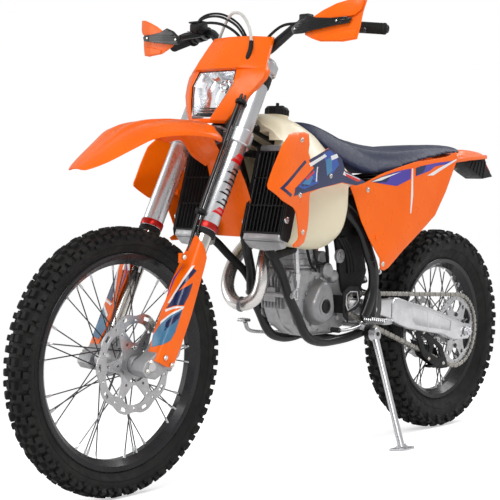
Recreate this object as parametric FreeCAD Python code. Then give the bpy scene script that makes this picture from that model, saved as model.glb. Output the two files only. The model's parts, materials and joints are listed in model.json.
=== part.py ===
# Enduro dirt bike, full size, in millimetres.
# The bike is laid out upright: left, forward and up are measured from the ground below the rear axle.
# It is then leaned to its left onto its side stand and set down with both tyres on the floor.
import FreeCAD, Part
import math
import os
from FreeCAD import Vector

os.makedirs("parts", exist_ok=True)

# Stance and steering geometry
drawn_wheelbase = 1482.0
wheelbase = 1482.0
rake_deg = 26.5
lean_deg = 9.0
clamp_offset = 22.0
axle_offset = 53.6
leg_spread = 102.0
running_gap = 0.06
seat_gap = 0.3
overrun = 4.0
full_turn = 360.0
pivot_forward = 525.0
pivot_up = 445.0
stretch_forward = 940.0

# Steering head: the clamps' heights along the steering axis set the head tube between them
lower_clamp = 671.0
lower_clamp_tall = 44.0
upper_clamp = 890.0
clamp_tall = 30.0
head_gap = 13.0
head_low = lower_clamp + lower_clamp_tall / 2 + head_gap
head_tall = upper_clamp - clamp_tall / 2 - head_gap - head_low

sin_rake = math.sin(math.radians(rake_deg))
cos_rake = math.cos(math.radians(rake_deg))
tan_lean = math.tan(math.radians(lean_deg))

# Tyres: half widths and radii of the section, and the lugs on it
tyre_cells = 64
front_tyre_radius = 348.5
front_tyre_half = 44.0
front_rim_radius = 280.0
front_rim_half = 26.0
rear_tyre_radius = 341.0
rear_tyre_half = 66.0
rear_rim_radius = 242.0
rear_rim_half = 34.0
lug_height = 12.0
shoulder_drop = 13.0
crown_drop = 2.0
wall_share = 0.42
shoulder_share = 0.92
row_gap_share = 0.12
centre_row_share = 0.36

# Brakes and driveline
disc_thick = 4.0
front_disc_radius = 130.0
rear_disc_radius = 110.0
disc_band = 34.0
disc_waves = 10
wave_points = 4
front_disc_arms = 6
rear_disc_arms = 5
arm_root_share = 0.25
arm_tip_share = 0.125
wave_depth = 4.0
front_disc_left = 58.0
rear_disc_left = -62.0
pad_gap = 2.0
chain_pitch = 15.875
rear_teeth = 48
front_teeth = 13
chain_left = 88.0
chain_half = 8.0
link_half = 5.0
chain_tall = 7.5
link_tall = 4.5
tooth_gap = 0.6
sprocket_thick = 6.0
sprocket_left = chain_left - sprocket_thick / 2
tooth_start_share = 0.35
tooth_end_share = 0.65
sprocket_windows = 6
window_inner_share = 0.5
window_outer_share = 0.7
countershaft_forward = 597.0
countershaft_up = 462.0


def at(left, forward, up):
    # Ahead of the swingarm pivot, places move on with the wheelbase, and all of it ahead of the engine.
    share = min(1, max(0, (forward - pivot_forward) / (stretch_forward - pivot_forward)))
    return Vector(left, -forward - (wheelbase - drawn_wheelbase) * share, up)


def sized(shares, low, size):
    # A table of places, each written as shares of a size above a low corner.
    return [tuple(l + s * z for s, l, z in zip(row, low, size)) for row in shares]


def places(points):
    return [at(*point) for point in points]


def solid_from(faces):
    shell = Part.makeShell(faces)
    shell.sewShape()
    solid = Part.makeSolid(shell)
    if solid.Volume < 0:
        solid.reverse()
    return solid


def face_of(*points):
    return Part.Face(Part.makePolygon(list(points) + [points[0]]))


def fused(shapes):
    first = shapes[0]
    if len(shapes) == 1:
        return first
    return first.multiFuse(shapes[1:])


def moved(shape, offset):
    copy = shape.copy()
    copy.translate(offset)
    return copy


def mirrored(shape):
    return shape.mirror(Vector(0, 0, 0), Vector(1, 0, 0))


def both_sides(shape):
    return [shape, mirrored(shape)]


def spread(shares, start_forward, start_up, length, height):
    return [(start_forward + f * length, start_up + u * height) for f, u in shares]


def prism(outline, left, width):
    # A side view outline of (forward, up) points, extruded to the left.
    points = [at(left, f, u) for f, u in outline]
    return face_of(*points).extrude(Vector(width, 0, 0))


def block(left, forward, up, width, length, height):
    # A box by its centre and its width (left), length (forward) and height.
    corner = at(left - width / 2, forward + length / 2, up - height / 2)
    return Part.makeBox(width, length, height, corner)


def rod(start, end, radius):
    return Part.makeCylinder(radius, (end - start).Length, start, end - start)


def cross_rod(left, forward, up, width, radius):
    # A rod along the bike's width, from its right end.
    return rod(at(left, forward, up), at(left + width, forward, up), radius)


def lathe(profile, centre):
    # A profile of (left, radius) points turned about an axle along the width.
    points = [Vector(x, 0, r) for x, r in profile]
    turned = face_of(*points).revolve(Vector(0, 0, 0), Vector(1, 0, 0), full_turn)
    return moved(turned, centre)


def rounded_path(points, bend, chords):
    # The corners of a path of straight runs become short chords of an arc.
    path = [points[0]]
    for before, corner, after in zip(points, points[1:], points[2:]):
        incoming = (corner - before).normalize()
        outgoing = (after - corner).normalize()
        turn = incoming.getAngle(outgoing)
        reach = min((corner - before).Length, (after - corner).Length) * bend
        for step in range(chords + 1):
            share = step / chords
            start = corner - incoming * (reach * (1 - share))
            finish = corner + outgoing * (reach * share)
            path.append(start * (1 - share) + finish * share if turn > 0 else start)
    path.append(points[-1])
    return path


def tube(points, radius, bend=0.4, chords=3, sides=8):
    # A round tube with many flat sides, mitred at each joint of its path.
    path = rounded_path(points, bend, chords) if len(points) > 2 else points
    heading = (path[1] - path[0]).normalize()
    helper = Vector(0, 0, 1) if abs(heading.z) < abs(heading.x) + abs(heading.y) else Vector(1, 0, 0)
    across = heading.cross(helper).normalize()
    over = heading.cross(across).normalize()
    ring = []
    for side in range(sides):
        angle = 2 * math.pi * (side + 1 / 2) / sides
        ring.append(path[0] + across * (radius * math.cos(angle)) + over * (radius * math.sin(angle)))
    rings = [ring]
    for index in range(1, len(path)):
        heading = (path[index] - path[index - 1]).normalize()
        normal = heading
        if index + 1 < len(path):
            normal = heading + (path[index + 1] - path[index]).normalize()
        ring = [
            point + heading * ((path[index] - point).dot(normal) / heading.dot(normal))
            for point in rings[-1]
        ]
        rings.append(ring)
    faces = [face_of(*rings[0]), face_of(*rings[-1])]
    for near, far in zip(rings, rings[1:]):
        for side in range(sides):
            other = (side + 1) % sides
            faces.append(face_of(near[side], near[other], far[other], far[side]))
    return solid_from(faces)


def skinned(sections):
    # A solid skinned over closed sections, each a list of points.
    wires = [Part.makePolygon(section + [section[0]]) for section in sections]
    return Part.makeLoft(wires, True, True)


def polar(centre, left, radius, angle):
    # A point on a wheel: the angle turns from forward up to the top.
    return centre + Vector(left, -radius * math.cos(angle), radius * math.sin(angle))


def faceted_ring(section, cells, centre):
    # A closed section of (left, radius) points carried round an axle in flat cells.
    half = math.pi / cells
    grow = 1 / math.cos(half)
    faces = []
    for cell in range(cells):
        a = 2 * half * cell - half
        b = a + 2 * half
        for (x0, r0), (x1, r1) in zip(section, section[1:] + section[:1]):
            faces.append(face_of(
                polar(centre, x0, r0 * grow, a), polar(centre, x0, r0 * grow, b),
                polar(centre, x1, r1 * grow, b), polar(centre, x1, r1 * grow, a)))
    return solid_from(faces)


def tyre_section(radius, half, rim_radius, rim_half):
    # Half of the section, bead to crown: base points and the lug tips above the last three.
    tall = radius - rim_radius
    base = [
        (rim_half, rim_radius),
        (half, rim_radius + tall * wall_share),
        (half * shoulder_share, radius - lug_height - shoulder_drop),
        (half * (centre_row_share + row_gap_share), radius - lug_height - crown_drop),
        (half * centre_row_share, radius - lug_height),
    ]
    tips = {
        2: (half, radius - shoulder_drop),
        3: (half * (centre_row_share + row_gap_share), radius - crown_drop),
        4: (half * centre_row_share, radius),
    }
    return base, tips


def axle_height(radius, half, rim_radius, rim_half):
    # How high an axle stands, measured in the leaned wheel's own plane.
    tips = tyre_section(radius, half, rim_radius, rim_half)[1]
    return max(r + x * tan_lean for x, r in tips.values())


def tyre(radius, half, rim_radius, rim_half, centre):
    base, tips = tyre_section(radius, half, rim_radius, rim_half)
    count = len(base)
    low = [(-x, r) for x, r in base] + [(x, r) for x, r in reversed(base)]
    high = {i: (-tips[i][0], tips[i][1]) for i in tips}
    high.update({2 * count - 1 - i: tips[i] for i in tips})
    shoulder_rows = (2, 2 * count - 4)
    centre_row = count - 1
    turn = 2 * math.pi / tyre_cells
    grow = 1 / math.cos(turn / 2)
    quarter = tyre_cells // 4

    def corner(index, cell, raised):
        x, r = high[index] if raised else low[index]
        return polar(centre, x, r * grow, turn * (cell - quarter - 1 / 2))

    def is_raised(row, cell):
        if row in shoulder_rows:
            return cell % 2 == 1
        return row == centre_row and cell % 2 == 0

    faces = []
    for cell in range(tyre_cells):
        for row in range(2 * count):
            after = (row + 1) % (2 * count)
            up = is_raised(row, cell)
            faces.append(face_of(
                corner(row, cell, up), corner(row, cell + 1, up),
                corner(after, cell + 1, up), corner(after, cell, up)))
            if up:
                for edge in (cell, cell + 1):
                    faces.append(face_of(
                        corner(row, edge, False), corner(row, edge, True),
                        corner(after, edge, True), corner(after, edge, False)))
                for side in (row, after):
                    faces.append(face_of(
                        corner(side, cell, False), corner(side, cell, True),
                        corner(side, cell + 1, True), corner(side, cell + 1, False)))
    return solid_from(faces)


front_axle_up = axle_height(front_tyre_radius, front_tyre_half, front_rim_radius, front_rim_half)
rear_axle_up = axle_height(rear_tyre_radius, rear_tyre_half, rear_rim_radius, rear_rim_half)
front_axle = Vector(0, -wheelbase, front_axle_up)
rear_axle = at(0, 0, rear_axle_up)
axis_foot_forward = wheelbase - axle_offset * cos_rake
axis_foot_up = front_axle_up - axle_offset * sin_rake


def fork(left, along, ahead):
    # A point on the steered parts: up the steering axis from axle level, and ahead of that axis.
    return Vector(
        left,
        along * sin_rake - ahead * cos_rake - axis_foot_forward,
        axis_foot_up + along * cos_rake + ahead * sin_rake)


# Rims, hubs and spokes
rim_lip = 8.0
rim_deep = 20.0
rim_well_share = 0.45
spoke_pairs = 9
spoke_radius = 2.2
spoke_lean_deg = 40.0
spoke_stagger = 3.0
spoke_sides = 4
spoke_side_share = 0.25
spoke_reach_share = 0.25
hub_flange_radius = 36.0
hub_flange_half = 30.0
hub_flange_thick = 6.0
hub_core_radius = 22.0
axle_radius = 12.5
front_hub_half = 70.0
rear_hub_half = 78.0
disc_seat_radius = 46.0


def rim(radius, half, centre):
    well = half * rim_well_share
    section = [
        (-half, radius - seat_gap), (half, radius - seat_gap), (half, radius - rim_lip),
        (well, radius - rim_deep), (-well, radius - rim_deep), (-half, radius - rim_lip)]
    return faceted_ring(section, tyre_cells, centre)


def hub(rim_radius, half, disc_left, carrier_left, centre):
    # A spool with two spoke flanges, and seats for what is bolted to its sides.
    bore = axle_radius + running_gap
    inner = hub_flange_half - hub_flange_thick
    profile = [
        (-half, bore), (-half, hub_core_radius), (-hub_flange_half, hub_core_radius),
        (-hub_flange_half, hub_flange_radius), (-inner, hub_flange_radius), (-inner, hub_core_radius),
        (inner, hub_core_radius), (inner, hub_flange_radius), (hub_flange_half, hub_flange_radius),
        (hub_flange_half, hub_core_radius), (half, hub_core_radius), (half, bore)]
    pieces = [lathe(profile, centre)]
    for seat_left in (disc_left, carrier_left):
        if seat_left is None:
            continue
        inward = 1 if seat_left > 0 else -1
        start = hub_flange_half * inward
        seat = [(start, hub_core_radius - overrun), (start, disc_seat_radius), (seat_left, disc_seat_radius),
                (seat_left, hub_core_radius - overrun)]
        pieces.append(lathe(seat, centre))
    middle = hub_flange_half - hub_flange_thick / 2
    reach = rim_radius - rim_deep - seat_gap
    for side in (-1, 1):
        for index in range(2 * spoke_pairs):
            turn = math.pi * (index + (side + 1) * spoke_side_share) / spoke_pairs
            sweep = math.radians(spoke_lean_deg) * (1 if index % 2 else -1)
            head = middle * side + spoke_stagger * (1 if index % 2 else -1)
            start = polar(centre, head, hub_flange_radius - overrun, turn - sweep)
            end = polar(centre, front_rim_half * rim_well_share * side / 2, reach,
                        turn + sweep * spoke_reach_share)
            pieces.append(tube([start, end], spoke_radius, sides=spoke_sides))
    return fused(pieces)


def wave_disc(radius, left, centre, arms):
    # A thin disc with a wavy edge, carried by arms on the hub's seat.
    count = disc_waves * wave_points
    outer = []
    inner = []
    for index in range(count):
        angle = 2 * math.pi * index / count
        ripple = wave_depth * (1 - math.cos(disc_waves * angle)) / 2
        outer.append(polar(centre, left, radius - ripple, angle))
        inner.append(polar(centre, left, radius - disc_band + ripple, angle))
    band = face_of(*outer).cut(face_of(*inner)).extrude(Vector(disc_thick, 0, 0))
    seat = Part.makeCylinder(disc_seat_radius, disc_thick, centre + Vector(left, 0, 0), Vector(1, 0, 0))
    spider = [band, seat]
    for index in range(arms):
        angle = 2 * math.pi * index / arms
        late = angle + math.pi / arms / 2
        tip_wide = 2 * math.pi / arms * arm_tip_share
        root_wide = 2 * math.pi / arms * arm_root_share
        reach = radius - disc_band + wave_depth + overrun
        arm = face_of(
            polar(centre, left, disc_seat_radius - overrun, angle - root_wide),
            polar(centre, left, reach, late - tip_wide), polar(centre, left, reach, late + tip_wide),
            polar(centre, left, disc_seat_radius - overrun, angle + root_wide))
        spider.append(arm.extrude(Vector(disc_thick, 0, 0)))
    bore = Part.makeCylinder(
        hub_core_radius + seat_gap, disc_thick + 2 * overrun, centre + Vector(left - overrun, 0, 0),
        Vector(1, 0, 0))
    return fused(spider).cut(bore)


def sprocket(centre):
    pitch_radius = chain_pitch / 2 / math.sin(math.pi / rear_teeth)
    tip = pitch_radius * math.cos(math.pi / rear_teeth) - chain_tall - tooth_gap
    root = tip - link_tall
    left = sprocket_left
    outline = []
    for tooth in range(rear_teeth):
        for share, radius in ((0, root), (tooth_start_share, tip), (tooth_end_share, tip)):
            angle = 2 * math.pi * (tooth + share) / rear_teeth
            outline.append(polar(centre, left, radius, angle))
    plate = face_of(*outline).extrude(Vector(sprocket_thick, 0, 0))
    cuts = []
    inner = disc_seat_radius + chain_pitch
    outer = root - chain_pitch
    wide = math.pi / sprocket_windows
    for index in range(sprocket_windows):
        angle = 2 * math.pi * index / sprocket_windows
        near = wide * window_inner_share
        far = wide * window_outer_share
        start = left - overrun
        window = face_of(
            polar(centre, start, inner, angle - near), polar(centre, start, outer, angle - far),
            polar(centre, start, outer, angle + far), polar(centre, start, inner, angle + near))
        cuts.append(window.extrude(Vector(sprocket_thick + 2 * overrun, 0, 0)))
    bore = Part.makeCylinder(
        hub_core_radius + seat_gap, sprocket_thick + 2 * overrun, centre + Vector(left - overrun, 0, 0),
        Vector(1, 0, 0))
    return plate.cut(fused(cuts + [bore]))


def chain_path():
    # Stations a pitch apart round both sprockets, with the outward direction at each.
    rear_radius = chain_pitch / 2 / math.sin(math.pi / rear_teeth)
    front_radius = chain_pitch / 2 / math.sin(math.pi / front_teeth)
    run_forward = countershaft_forward
    run_up = countershaft_up - rear_axle_up
    span = math.hypot(run_forward, run_up)
    slope = math.atan2(run_up, run_forward)
    flare = math.acos((rear_radius - front_radius) / span)
    straight = math.sqrt(span ** 2 - (rear_radius - front_radius) ** 2)
    front_arc = front_radius * 2 * flare
    rear_arc = rear_radius * (2 * math.pi - 2 * flare)
    length = 2 * straight + front_arc + rear_arc
    count = 2 * round(length / chain_pitch / 2)
    top = slope + flare
    bottom = slope - flare

    def on_run(angle, share):
        # A place on a straight run, a share of the way from the rear sprocket to the front one.
        radius = rear_radius + (front_radius - rear_radius) * share
        return run_forward * share + radius * math.cos(angle), run_up * share + radius * math.sin(angle)

    stations = []
    for index in range(count):
        s = length * index / count
        if s < straight:
            angle = top
            share = s / straight
            f, u = on_run(top, share)
        elif s < straight + front_arc:
            angle = top - (s - straight) / front_radius
            f = run_forward + front_radius * math.cos(angle)
            u = run_up + front_radius * math.sin(angle)
        elif s < 2 * straight + front_arc:
            angle = bottom
            share = (s - straight - front_arc) / straight
            f, u = on_run(bottom, 1 - share)
        else:
            angle = bottom - (s - 2 * straight - front_arc) / rear_radius
            f = rear_radius * math.cos(angle)
            u = rear_radius * math.sin(angle)
        stations.append((f, u + rear_axle_up, angle))
    return stations


def chain():
    # One closed loop of wide and narrow links in turn.
    stations = chain_path()

    def corners(index, half, tall):
        f, u, angle = stations[index % len(stations)]
        out_f = math.cos(angle)
        out_u = math.sin(angle)
        return [
            at(chain_left + side * half, f + reach * tall * out_f, u + reach * tall * out_u)
            for side, reach in ((-1, -1), (1, -1), (1, 1), (-1, 1))]

    faces = []
    for index in range(len(stations)):
        wide = index % 2 == 0
        half, tall = (chain_half, chain_tall) if wide else (link_half, link_tall)
        near = corners(index, half, tall)
        far = corners(index + 1, half, tall)
        for side in range(4):
            other = (side + 1) % 4
            faces.append(face_of(near[side], near[other], far[other], far[side]))
        big = corners(index, chain_half, chain_tall)
        small = corners(index, link_half, link_tall)
        faces.append(Part.Face([Part.makePolygon(big + big[:1]), Part.makePolygon(small + small[:1])]))
    return solid_from(faces)


# Frame and subframe
tube_radius = 14.0
spine_radius = 19.0
bridge_radius = 12.0
head_radius = 29.0
stem_radius = 15.0
plate_left = 103.0
plate_thick = 11.0
pivot_radius = 12.0
pivot_head = 6.0
stay_radius = 10.0
stay_bridge_radius = 8.0
side_tube_bend = 0.3
few_chords = 2
side_tube_low = (16.0, 494.0, 355.0)
side_tube_size = (97.0, 586.0, 648.0)
side_tube_share = (
    (0, 0.8686, 0.6019), (0.268, 0.7679, 0.4244), (0.433, 0.7014, 0.321), (0.5567, 0.6689, 0.2238),
    (0.5773, 0.599, 0.1312), (0.5773, 0.5222, 0.0355), (0.5876, 0.4198, 0.0015), (0.6186, 0.3038, 0),
    (0.7835, 0.1809, 0.017), (1, 0.0614, 0.0571), (1, 0, 0.162), (1, 0.0102, 0.3164),
    (0.866, 0.1229, 0.5015), (0.5773, 0.2662, 0.6559), (0.3918, 0.3942, 0.767), (0.3505, 0.5392, 0.841),
    (0.0825, 1, 1))
side_tube_points = sized(side_tube_share, side_tube_low, side_tube_size)
spine_low = (0.0, 992.0, 725.0)
spine_size = (0.0, 93.0, 250.0)
spine_share = ((0, 1, 1), (0, 0.2151, 0.348), (0, 0, 0))
spine_points = sized(spine_share, spine_low, spine_size)
gusset_low = (478.0, 396.0)
gusset_size = (88.0, 124.0)
gusset_share = (
    (0, 0.3548), (0.25, 0.0323), (0.7614, 0), (1, 0.3548), (0.9318, 0.7581), (0.4773, 1), (0.0909, 0.8387))
gusset_points = sized(gusset_share, gusset_low, gusset_size)
lower_bridge = (80.0, 640.0, 357.0)
upper_bridge = (98.0, 570.0, 683.0)
rail_low = (56.0, -20.0, 784.0)
rail_size = (14.0, 668.0, 118.0)
rail_share = ((1, 1, 0), (0.9286, 0.8683, 0.3559), (1, 0.7335, 0.4915), (0.7143, 0.4491, 0.6949), (0, 0, 1))
rail_points = sized(rail_share, rail_low, rail_size)
stay_low = (68.0, 240.0, 640.0)
stay_size = (36.0, 305.0, 226.0)
stay_share = ((1, 1, 0), (0.4444, 0.623, 0.2655), (0, 0, 1))
stay_points = sized(stay_share, stay_low, stay_size)
rear_bridge = (60.0, -12.0, 901.0)
middle_bridge = (68.0, 240.0, 878.0)


def bridge(place, radius):
    # A rod straight across the bike, as far to the right as to the left.
    half, forward, up = place
    return cross_rod(-half, forward, up, 2 * half, radius)


def frame_tubes(extra):
    side = tube(places(side_tube_points), tube_radius + extra, bend=side_tube_bend, chords=few_chords)
    spine = tube(places(spine_points), spine_radius + extra, chords=few_chords)
    return both_sides(side) + [spine]


def off_frame(shape):
    # Ends a piece where it seats on the frame's tubes.
    return shape.cut(fused(frame_tubes(seat_gap)))


def frame():
    head = rod(fork(0, head_low, 0), fork(0, head_low + head_tall, 0), head_radius)
    gusset = prism(gusset_points, plate_left, plate_thick)
    bridges = [bridge(lower_bridge, bridge_radius), bridge(upper_bridge, bridge_radius)]
    solid = fused(frame_tubes(0) + [head] + bridges + both_sides(gusset))
    bore = rod(fork(0, head_low - overrun, 0), fork(0, head_low + head_tall + overrun, 0),
               stem_radius + running_gap)
    pivot_bore = bridge((plate_left + 2 * plate_thick, pivot_forward, pivot_up), pivot_radius + running_gap)
    return solid.cut(bore).cut(pivot_bore)


def rails(extra):
    return both_sides(tube(places(rail_points), stay_radius + extra, chords=few_chords))


def stays(extra):
    return both_sides(tube(places(stay_points), stay_radius + extra, chords=few_chords))


def subframe():
    bridges = [bridge(rear_bridge, stay_bridge_radius), bridge(middle_bridge, stay_bridge_radius)]
    return off_frame(fused(rails(0) + stays(0) + bridges))


# Engine: cases, cylinder and head, and the covers on both sides
case_half = 56.0
case_share = (
    (1.00, 1.00), (0.99, 0.52), (0.88, 0.18), (0.67, 0.0), (0.26, 0.0), (0.06, 0.13), (0.01, 0.35),
    (0.01, 0.73), (0.13, 0.93), (0.45, 1.00))
case_forward = 560.0
case_up = 372.0
case_long = 312.0
case_tall = 203.0
mount_lug = (0.0, 876.0, 500.0)
mount_lug_size = (44.0, 30.0, 44.0)
mount_bolt = (70.0, 886.0, 500.0)
mount_bolt_radius = 8.0
barrel_forward = 790.0
barrel_half = 48.0
barrel_long = 104.0
barrel_tall = 120.0
flange_grow = 6.0
flange_tall = 9.0
head_half = 54.0
head_long = 124.0
head_block_tall = 64.0
head_chamfer = 16.0
cam_half = 44.0
cam_tall = 34.0
cam_long = 110.0
cam_top_long = 90.0
ignition_share = (0.609, 0.458)
cover_radius = 68.0
cover_deep = 48.0
cover_lobe_share = 0.8
plug_radius = 22.0
plug_rim = 4.0
plug_proud = 6.0
clutch_share = (0.465, 0.483)
clutch_radius = 82.0
clutch_deep = 44.0
clutch_rim = 16.0
clutch_wall = 30.0
cover_flange = 6.0
cover_flange_thick = 8.0
starter_cover = (672.0, 548.0)
starter_radius = 20.0
starter_deep = 26.0
guard_low = (580.0, 410.0)
guard_size = (88.0, 110.0)
guard_share = (
    (0.6818, 0), (0.9659, 0.1818), (1, 0.8182), (0.6818, 1), (0.1136, 0.9636), (0, 0.5455),
    (0.2955, 0.3273), (0.6818, 0.2727))
guard_points = sized(guard_share, guard_low, guard_size)
guard_thick = 5.0
guard_off_chain = 14.0
guard_post = (655.0, 465.0)
guard_post_size = (16.0, 60.0)
guard_post_middle = 83.0


def on_case(share):
    forward, up = share
    return case_forward + forward * case_long, case_up + up * case_tall


def engine():
    case = prism(spread(case_share, case_forward, case_up, case_long, case_tall), -case_half, 2 * case_half)
    lug = block(*mount_lug, *mount_lug_size)
    return off_frame(fused([case, lug, bridge(mount_bolt, mount_bolt_radius)]))


def chamfered(forward, up, half, length, height, chamfer):
    # An upright block with its four upright corners cut off.
    long_half = length / 2
    corners = [
        (half - chamfer, long_half), (half, long_half - chamfer), (half, chamfer - long_half),
        (half - chamfer, -long_half)]
    corners += [(-x, f) for x, f in reversed(corners)]
    base = face_of(*[at(x, forward + f, up) for x, f in corners])
    return base.extrude(at(0, 0, height))


def cylinder():
    top = case_up + case_tall
    head_up = top + barrel_tall
    cam_up = head_up + head_block_tall
    slope = (cam_long - cam_top_long) / 2
    cam_outline = [
        (barrel_forward - cam_long / 2, cam_up), (barrel_forward + cam_long / 2, cam_up),
        (barrel_forward + cam_top_long / 2, cam_up + cam_tall - slope / 2),
        (barrel_forward - cam_long / 2 + slope, cam_up + cam_tall)]
    flange_half = barrel_half + flange_grow
    flange_long = barrel_long + flange_grow
    pieces = [
        chamfered(barrel_forward, top, barrel_half, barrel_long, barrel_tall, head_chamfer),
        chamfered(barrel_forward, top, flange_half, flange_long, flange_tall, head_chamfer),
        chamfered(barrel_forward, head_up - flange_tall, flange_half, flange_long, flange_tall, head_chamfer),
        chamfered(barrel_forward, head_up, head_half, head_long, head_block_tall, head_chamfer),
        prism(cam_outline, -cam_half, 2 * cam_half)]
    return fused(pieces)


def engine_covers():
    lobe = cover_radius * cover_lobe_share
    inner = cover_deep - overrun
    proud = cover_deep + plug_proud
    cover_wall = cover_deep - cover_radius + lobe
    wall = cover_radius - cover_flange
    left = lathe([
        (0, 0), (0, cover_radius), (cover_flange_thick, cover_radius), (cover_flange_thick, wall),
        (cover_wall, wall), (cover_deep, lobe), (cover_deep, 0)],
        at(case_half, *on_case(ignition_share)))
    plug = lathe([(inner, 0), (inner, plug_radius), (proud, plug_radius - plug_rim), (proud, 0)],
                 at(case_half, *on_case(ignition_share)))
    starter = cross_rod(case_half, *starter_cover, starter_deep, starter_radius)
    wall = clutch_radius - cover_flange
    right = lathe([
        (0, 0), (0, clutch_radius), (-cover_flange_thick, clutch_radius), (-cover_flange_thick, wall),
        (-clutch_wall, wall), (-clutch_deep, clutch_radius - clutch_rim), (-clutch_deep, 0)],
        at(-case_half, *on_case(clutch_share)))
    guard = fused([
        prism(guard_points, chain_left + guard_off_chain, guard_thick),
        block(guard_post_middle, *guard_post, 2 * (guard_post_middle - case_half), *guard_post_size)])
    return Part.makeCompound([fused([left, plug]), starter, right, guard])


# Exhaust: a looped header and a silencer with an open end
header_radius = 20.0
header_sides = 10
header_low = (-128.0, 345.3, 472.0)
header_size = (146.0, 632.7, 311.0)
header_share = (
    (0.8767, 0.8013, 0.746), (0.8767, 0.8325, 0.746), (0.8767, 0.8704, 0.6302), (0.9178, 0.9004, 0.492),
    (0.9658, 0.932, 0.3473), (1, 0.9478, 0.2026), (0.9178, 0.9636, 0.0643), (0.7055, 0.9905, 0),
    (0.4521, 1, 0.0322), (0.2055, 0.9747, 0.1543), (0.0822, 0.9162, 0.3312), (0.0548, 0.8293, 0.508),
    (0.0411, 0.7029, 0.6431), (0.0205, 0.5606, 0.7331), (0.0137, 0.4026, 0.8424), (0.0137, 0.2445, 0.8939),
    (0.011, 0.0841, 0.9588), (0, 0, 1))
header_points = sized(header_share, header_low, header_size)
silencer_radius = 46.0
silencer_neck = 50.0
silencer_lip = 4.0
silencer_cap = 12.0
outlet_radius = 17.0
outlet_deep = 60.0
outlet_ring = 18.0
silencer_front = (-128.0, 345.0, 783.0)
silencer_back = (-140.0, -60.0, 880.0)
silencer_start = at(*silencer_front)
silencer_end = at(*silencer_back)


def header_pipe():
    return tube(places(header_points), header_radius, chords=few_chords, sides=header_sides)


def outlet_point():
    # Middle of the outlet's rim, and the way out of it.
    along = (silencer_end - silencer_start).normalize()
    return silencer_end + along * outlet_ring, along


def silencer():
    rim, along = outlet_point()
    body = fused([
        rod(silencer_start + along * silencer_neck, silencer_end, silencer_radius),
        Part.makeCone(header_radius + silencer_lip, silencer_radius, silencer_neck, silencer_start, along),
        rod(silencer_end, rim, silencer_radius - silencer_cap)])
    bore = rod(rim + along * overrun, rim - along * outlet_deep, outlet_radius)
    return body.cut(bore)


# Radiators: a louvred block on each side of the frame
radiator_inner = 62.0
radiator_wide = 138.0
radiator_low = (984.0, 665.0)
radiator_size = (108.0, 265.0)
radiator_share = ((1, 0), (0.3519, 1), (0, 1), (0.6481, 0))
radiator_points = sized(radiator_share, radiator_low, radiator_size)
louvre_low = (1022.0, 690.0)
louvre_size = (88.0, 218.0)
louvre_share = ((0.6591, 0), (0, 1), (0.3409, 1), (1, 0))
louvre_points = sized(louvre_share, louvre_low, louvre_size)
louvre_count = 9
louvre_share = 0.55
radiator_margin = 32.0
radiator_end = 4.0
radiator_foot_low = (0.0, 1014.0, 806.0)
radiator_foot_size = (68.0, 38.0, 8.0)
radiator_foot_share = ((1, 1, 0), (0, 0, 1))
radiator_foot_points = sized(radiator_foot_share, radiator_foot_low, radiator_foot_size)
radiator_foot_radius = 8.0


def radiators():
    core = prism(radiator_points, radiator_inner, radiator_wide)
    cuts = []
    pitch = (radiator_wide - radiator_margin - radiator_end) / louvre_count
    for index in range(louvre_count):
        left = radiator_inner + radiator_margin + pitch * index
        cuts.append(prism(louvre_points, left, pitch * louvre_share))
    foot = off_frame(rod(*places(radiator_foot_points), radiator_foot_radius))
    return Part.makeCompound(both_sides(core.cut(fused(cuts)).fuse(foot)))


# Tank and cap
tank_half = 150.0
tank_tunnel = 80.0
tank_corner_share = 0.12
tank_middle_share = 0.45
tank_shoulder_share = 0.86
tank_crown_share = 0.45
tank_room_gap = 8.0
tank_room_rise = 12.0
tank_room_drop = 40.0
tank_room_side = 10.0
pipe_room_side = 20.0
# Each station: forward, low, top, and the half widths at the underside, the middle and the shoulder.
tank_low = (690.0, 632.0, 934.0, 80.0, 104.0, 46.0)
tank_size = (312.0, 248.0, 86.0, 44.0, 46.0, 50.0)
tank_share = (
    (0, 0.4355, 0, 0.7273, 0.5652, 0.48), (0.1442, 0.0927, 0.3023, 0.9091, 0.913, 0.76),
    (0.3526, 0, 0.6512, 1, 1, 0.92), (0.5769, 0.0161, 0.9302, 1, 1, 1),
    (0.8013, 0.0565, 1, 0.8636, 0.913, 0.76), (0.9455, 0.5161, 0.9535, 0.5455, 0.5652, 0.28),
    (1, 1, 0.8372, 0, 0, 0))
tank_stations = sized(tank_share, tank_low, tank_size)
tunnel_low = (640.0, 600.0)
tunnel_size = (410.0, 392.0)
tunnel_share = ((0, 0), (1, 0), (1, 1), (0.8415, 0.949), (0.3902, 0.7959), (0, 0.6122))
tunnel_points = sized(tunnel_share, tunnel_low, tunnel_size)
pipe_room_low = (640.0, 600.0)
pipe_room_size = (460.0, 160.0)
pipe_room_share = ((0, 0), (1, 0), (1, 0.625), (0.5, 0.45), (0.3261, 0.725), (0.1304, 0.95), (0, 1))
pipe_room_points = sized(pipe_room_share, pipe_room_low, pipe_room_size)
cap_radius = 36.0
cap_low = (0.0, 873.3, 1015.2)
cap_size = (0.0, 2.7, 30.8)
cap_share = ((0, 1, 0), (0, 0, 1))
cap_points = sized(cap_share, cap_low, cap_size)


def tank_ring(forward, low, top, half_low, half_mid, half_top):
    # One upright section of the tank, from its flat underside to its rounded top.
    tall = top - low
    right = [
        (half_low, low), (half_mid, low + tall * tank_corner_share),
        (half_mid, low + tall * tank_middle_share), (half_top, low + tall * tank_shoulder_share),
        (half_top * tank_crown_share, top)]
    return mirrored_ring(right, forward)


def mirrored_ring(right, forward):
    # A closed upright section from the points of its left half.
    points = right + [(-x, u) for x, u in reversed(right)]
    return [at(x, forward, u) for x, u in points]


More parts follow.
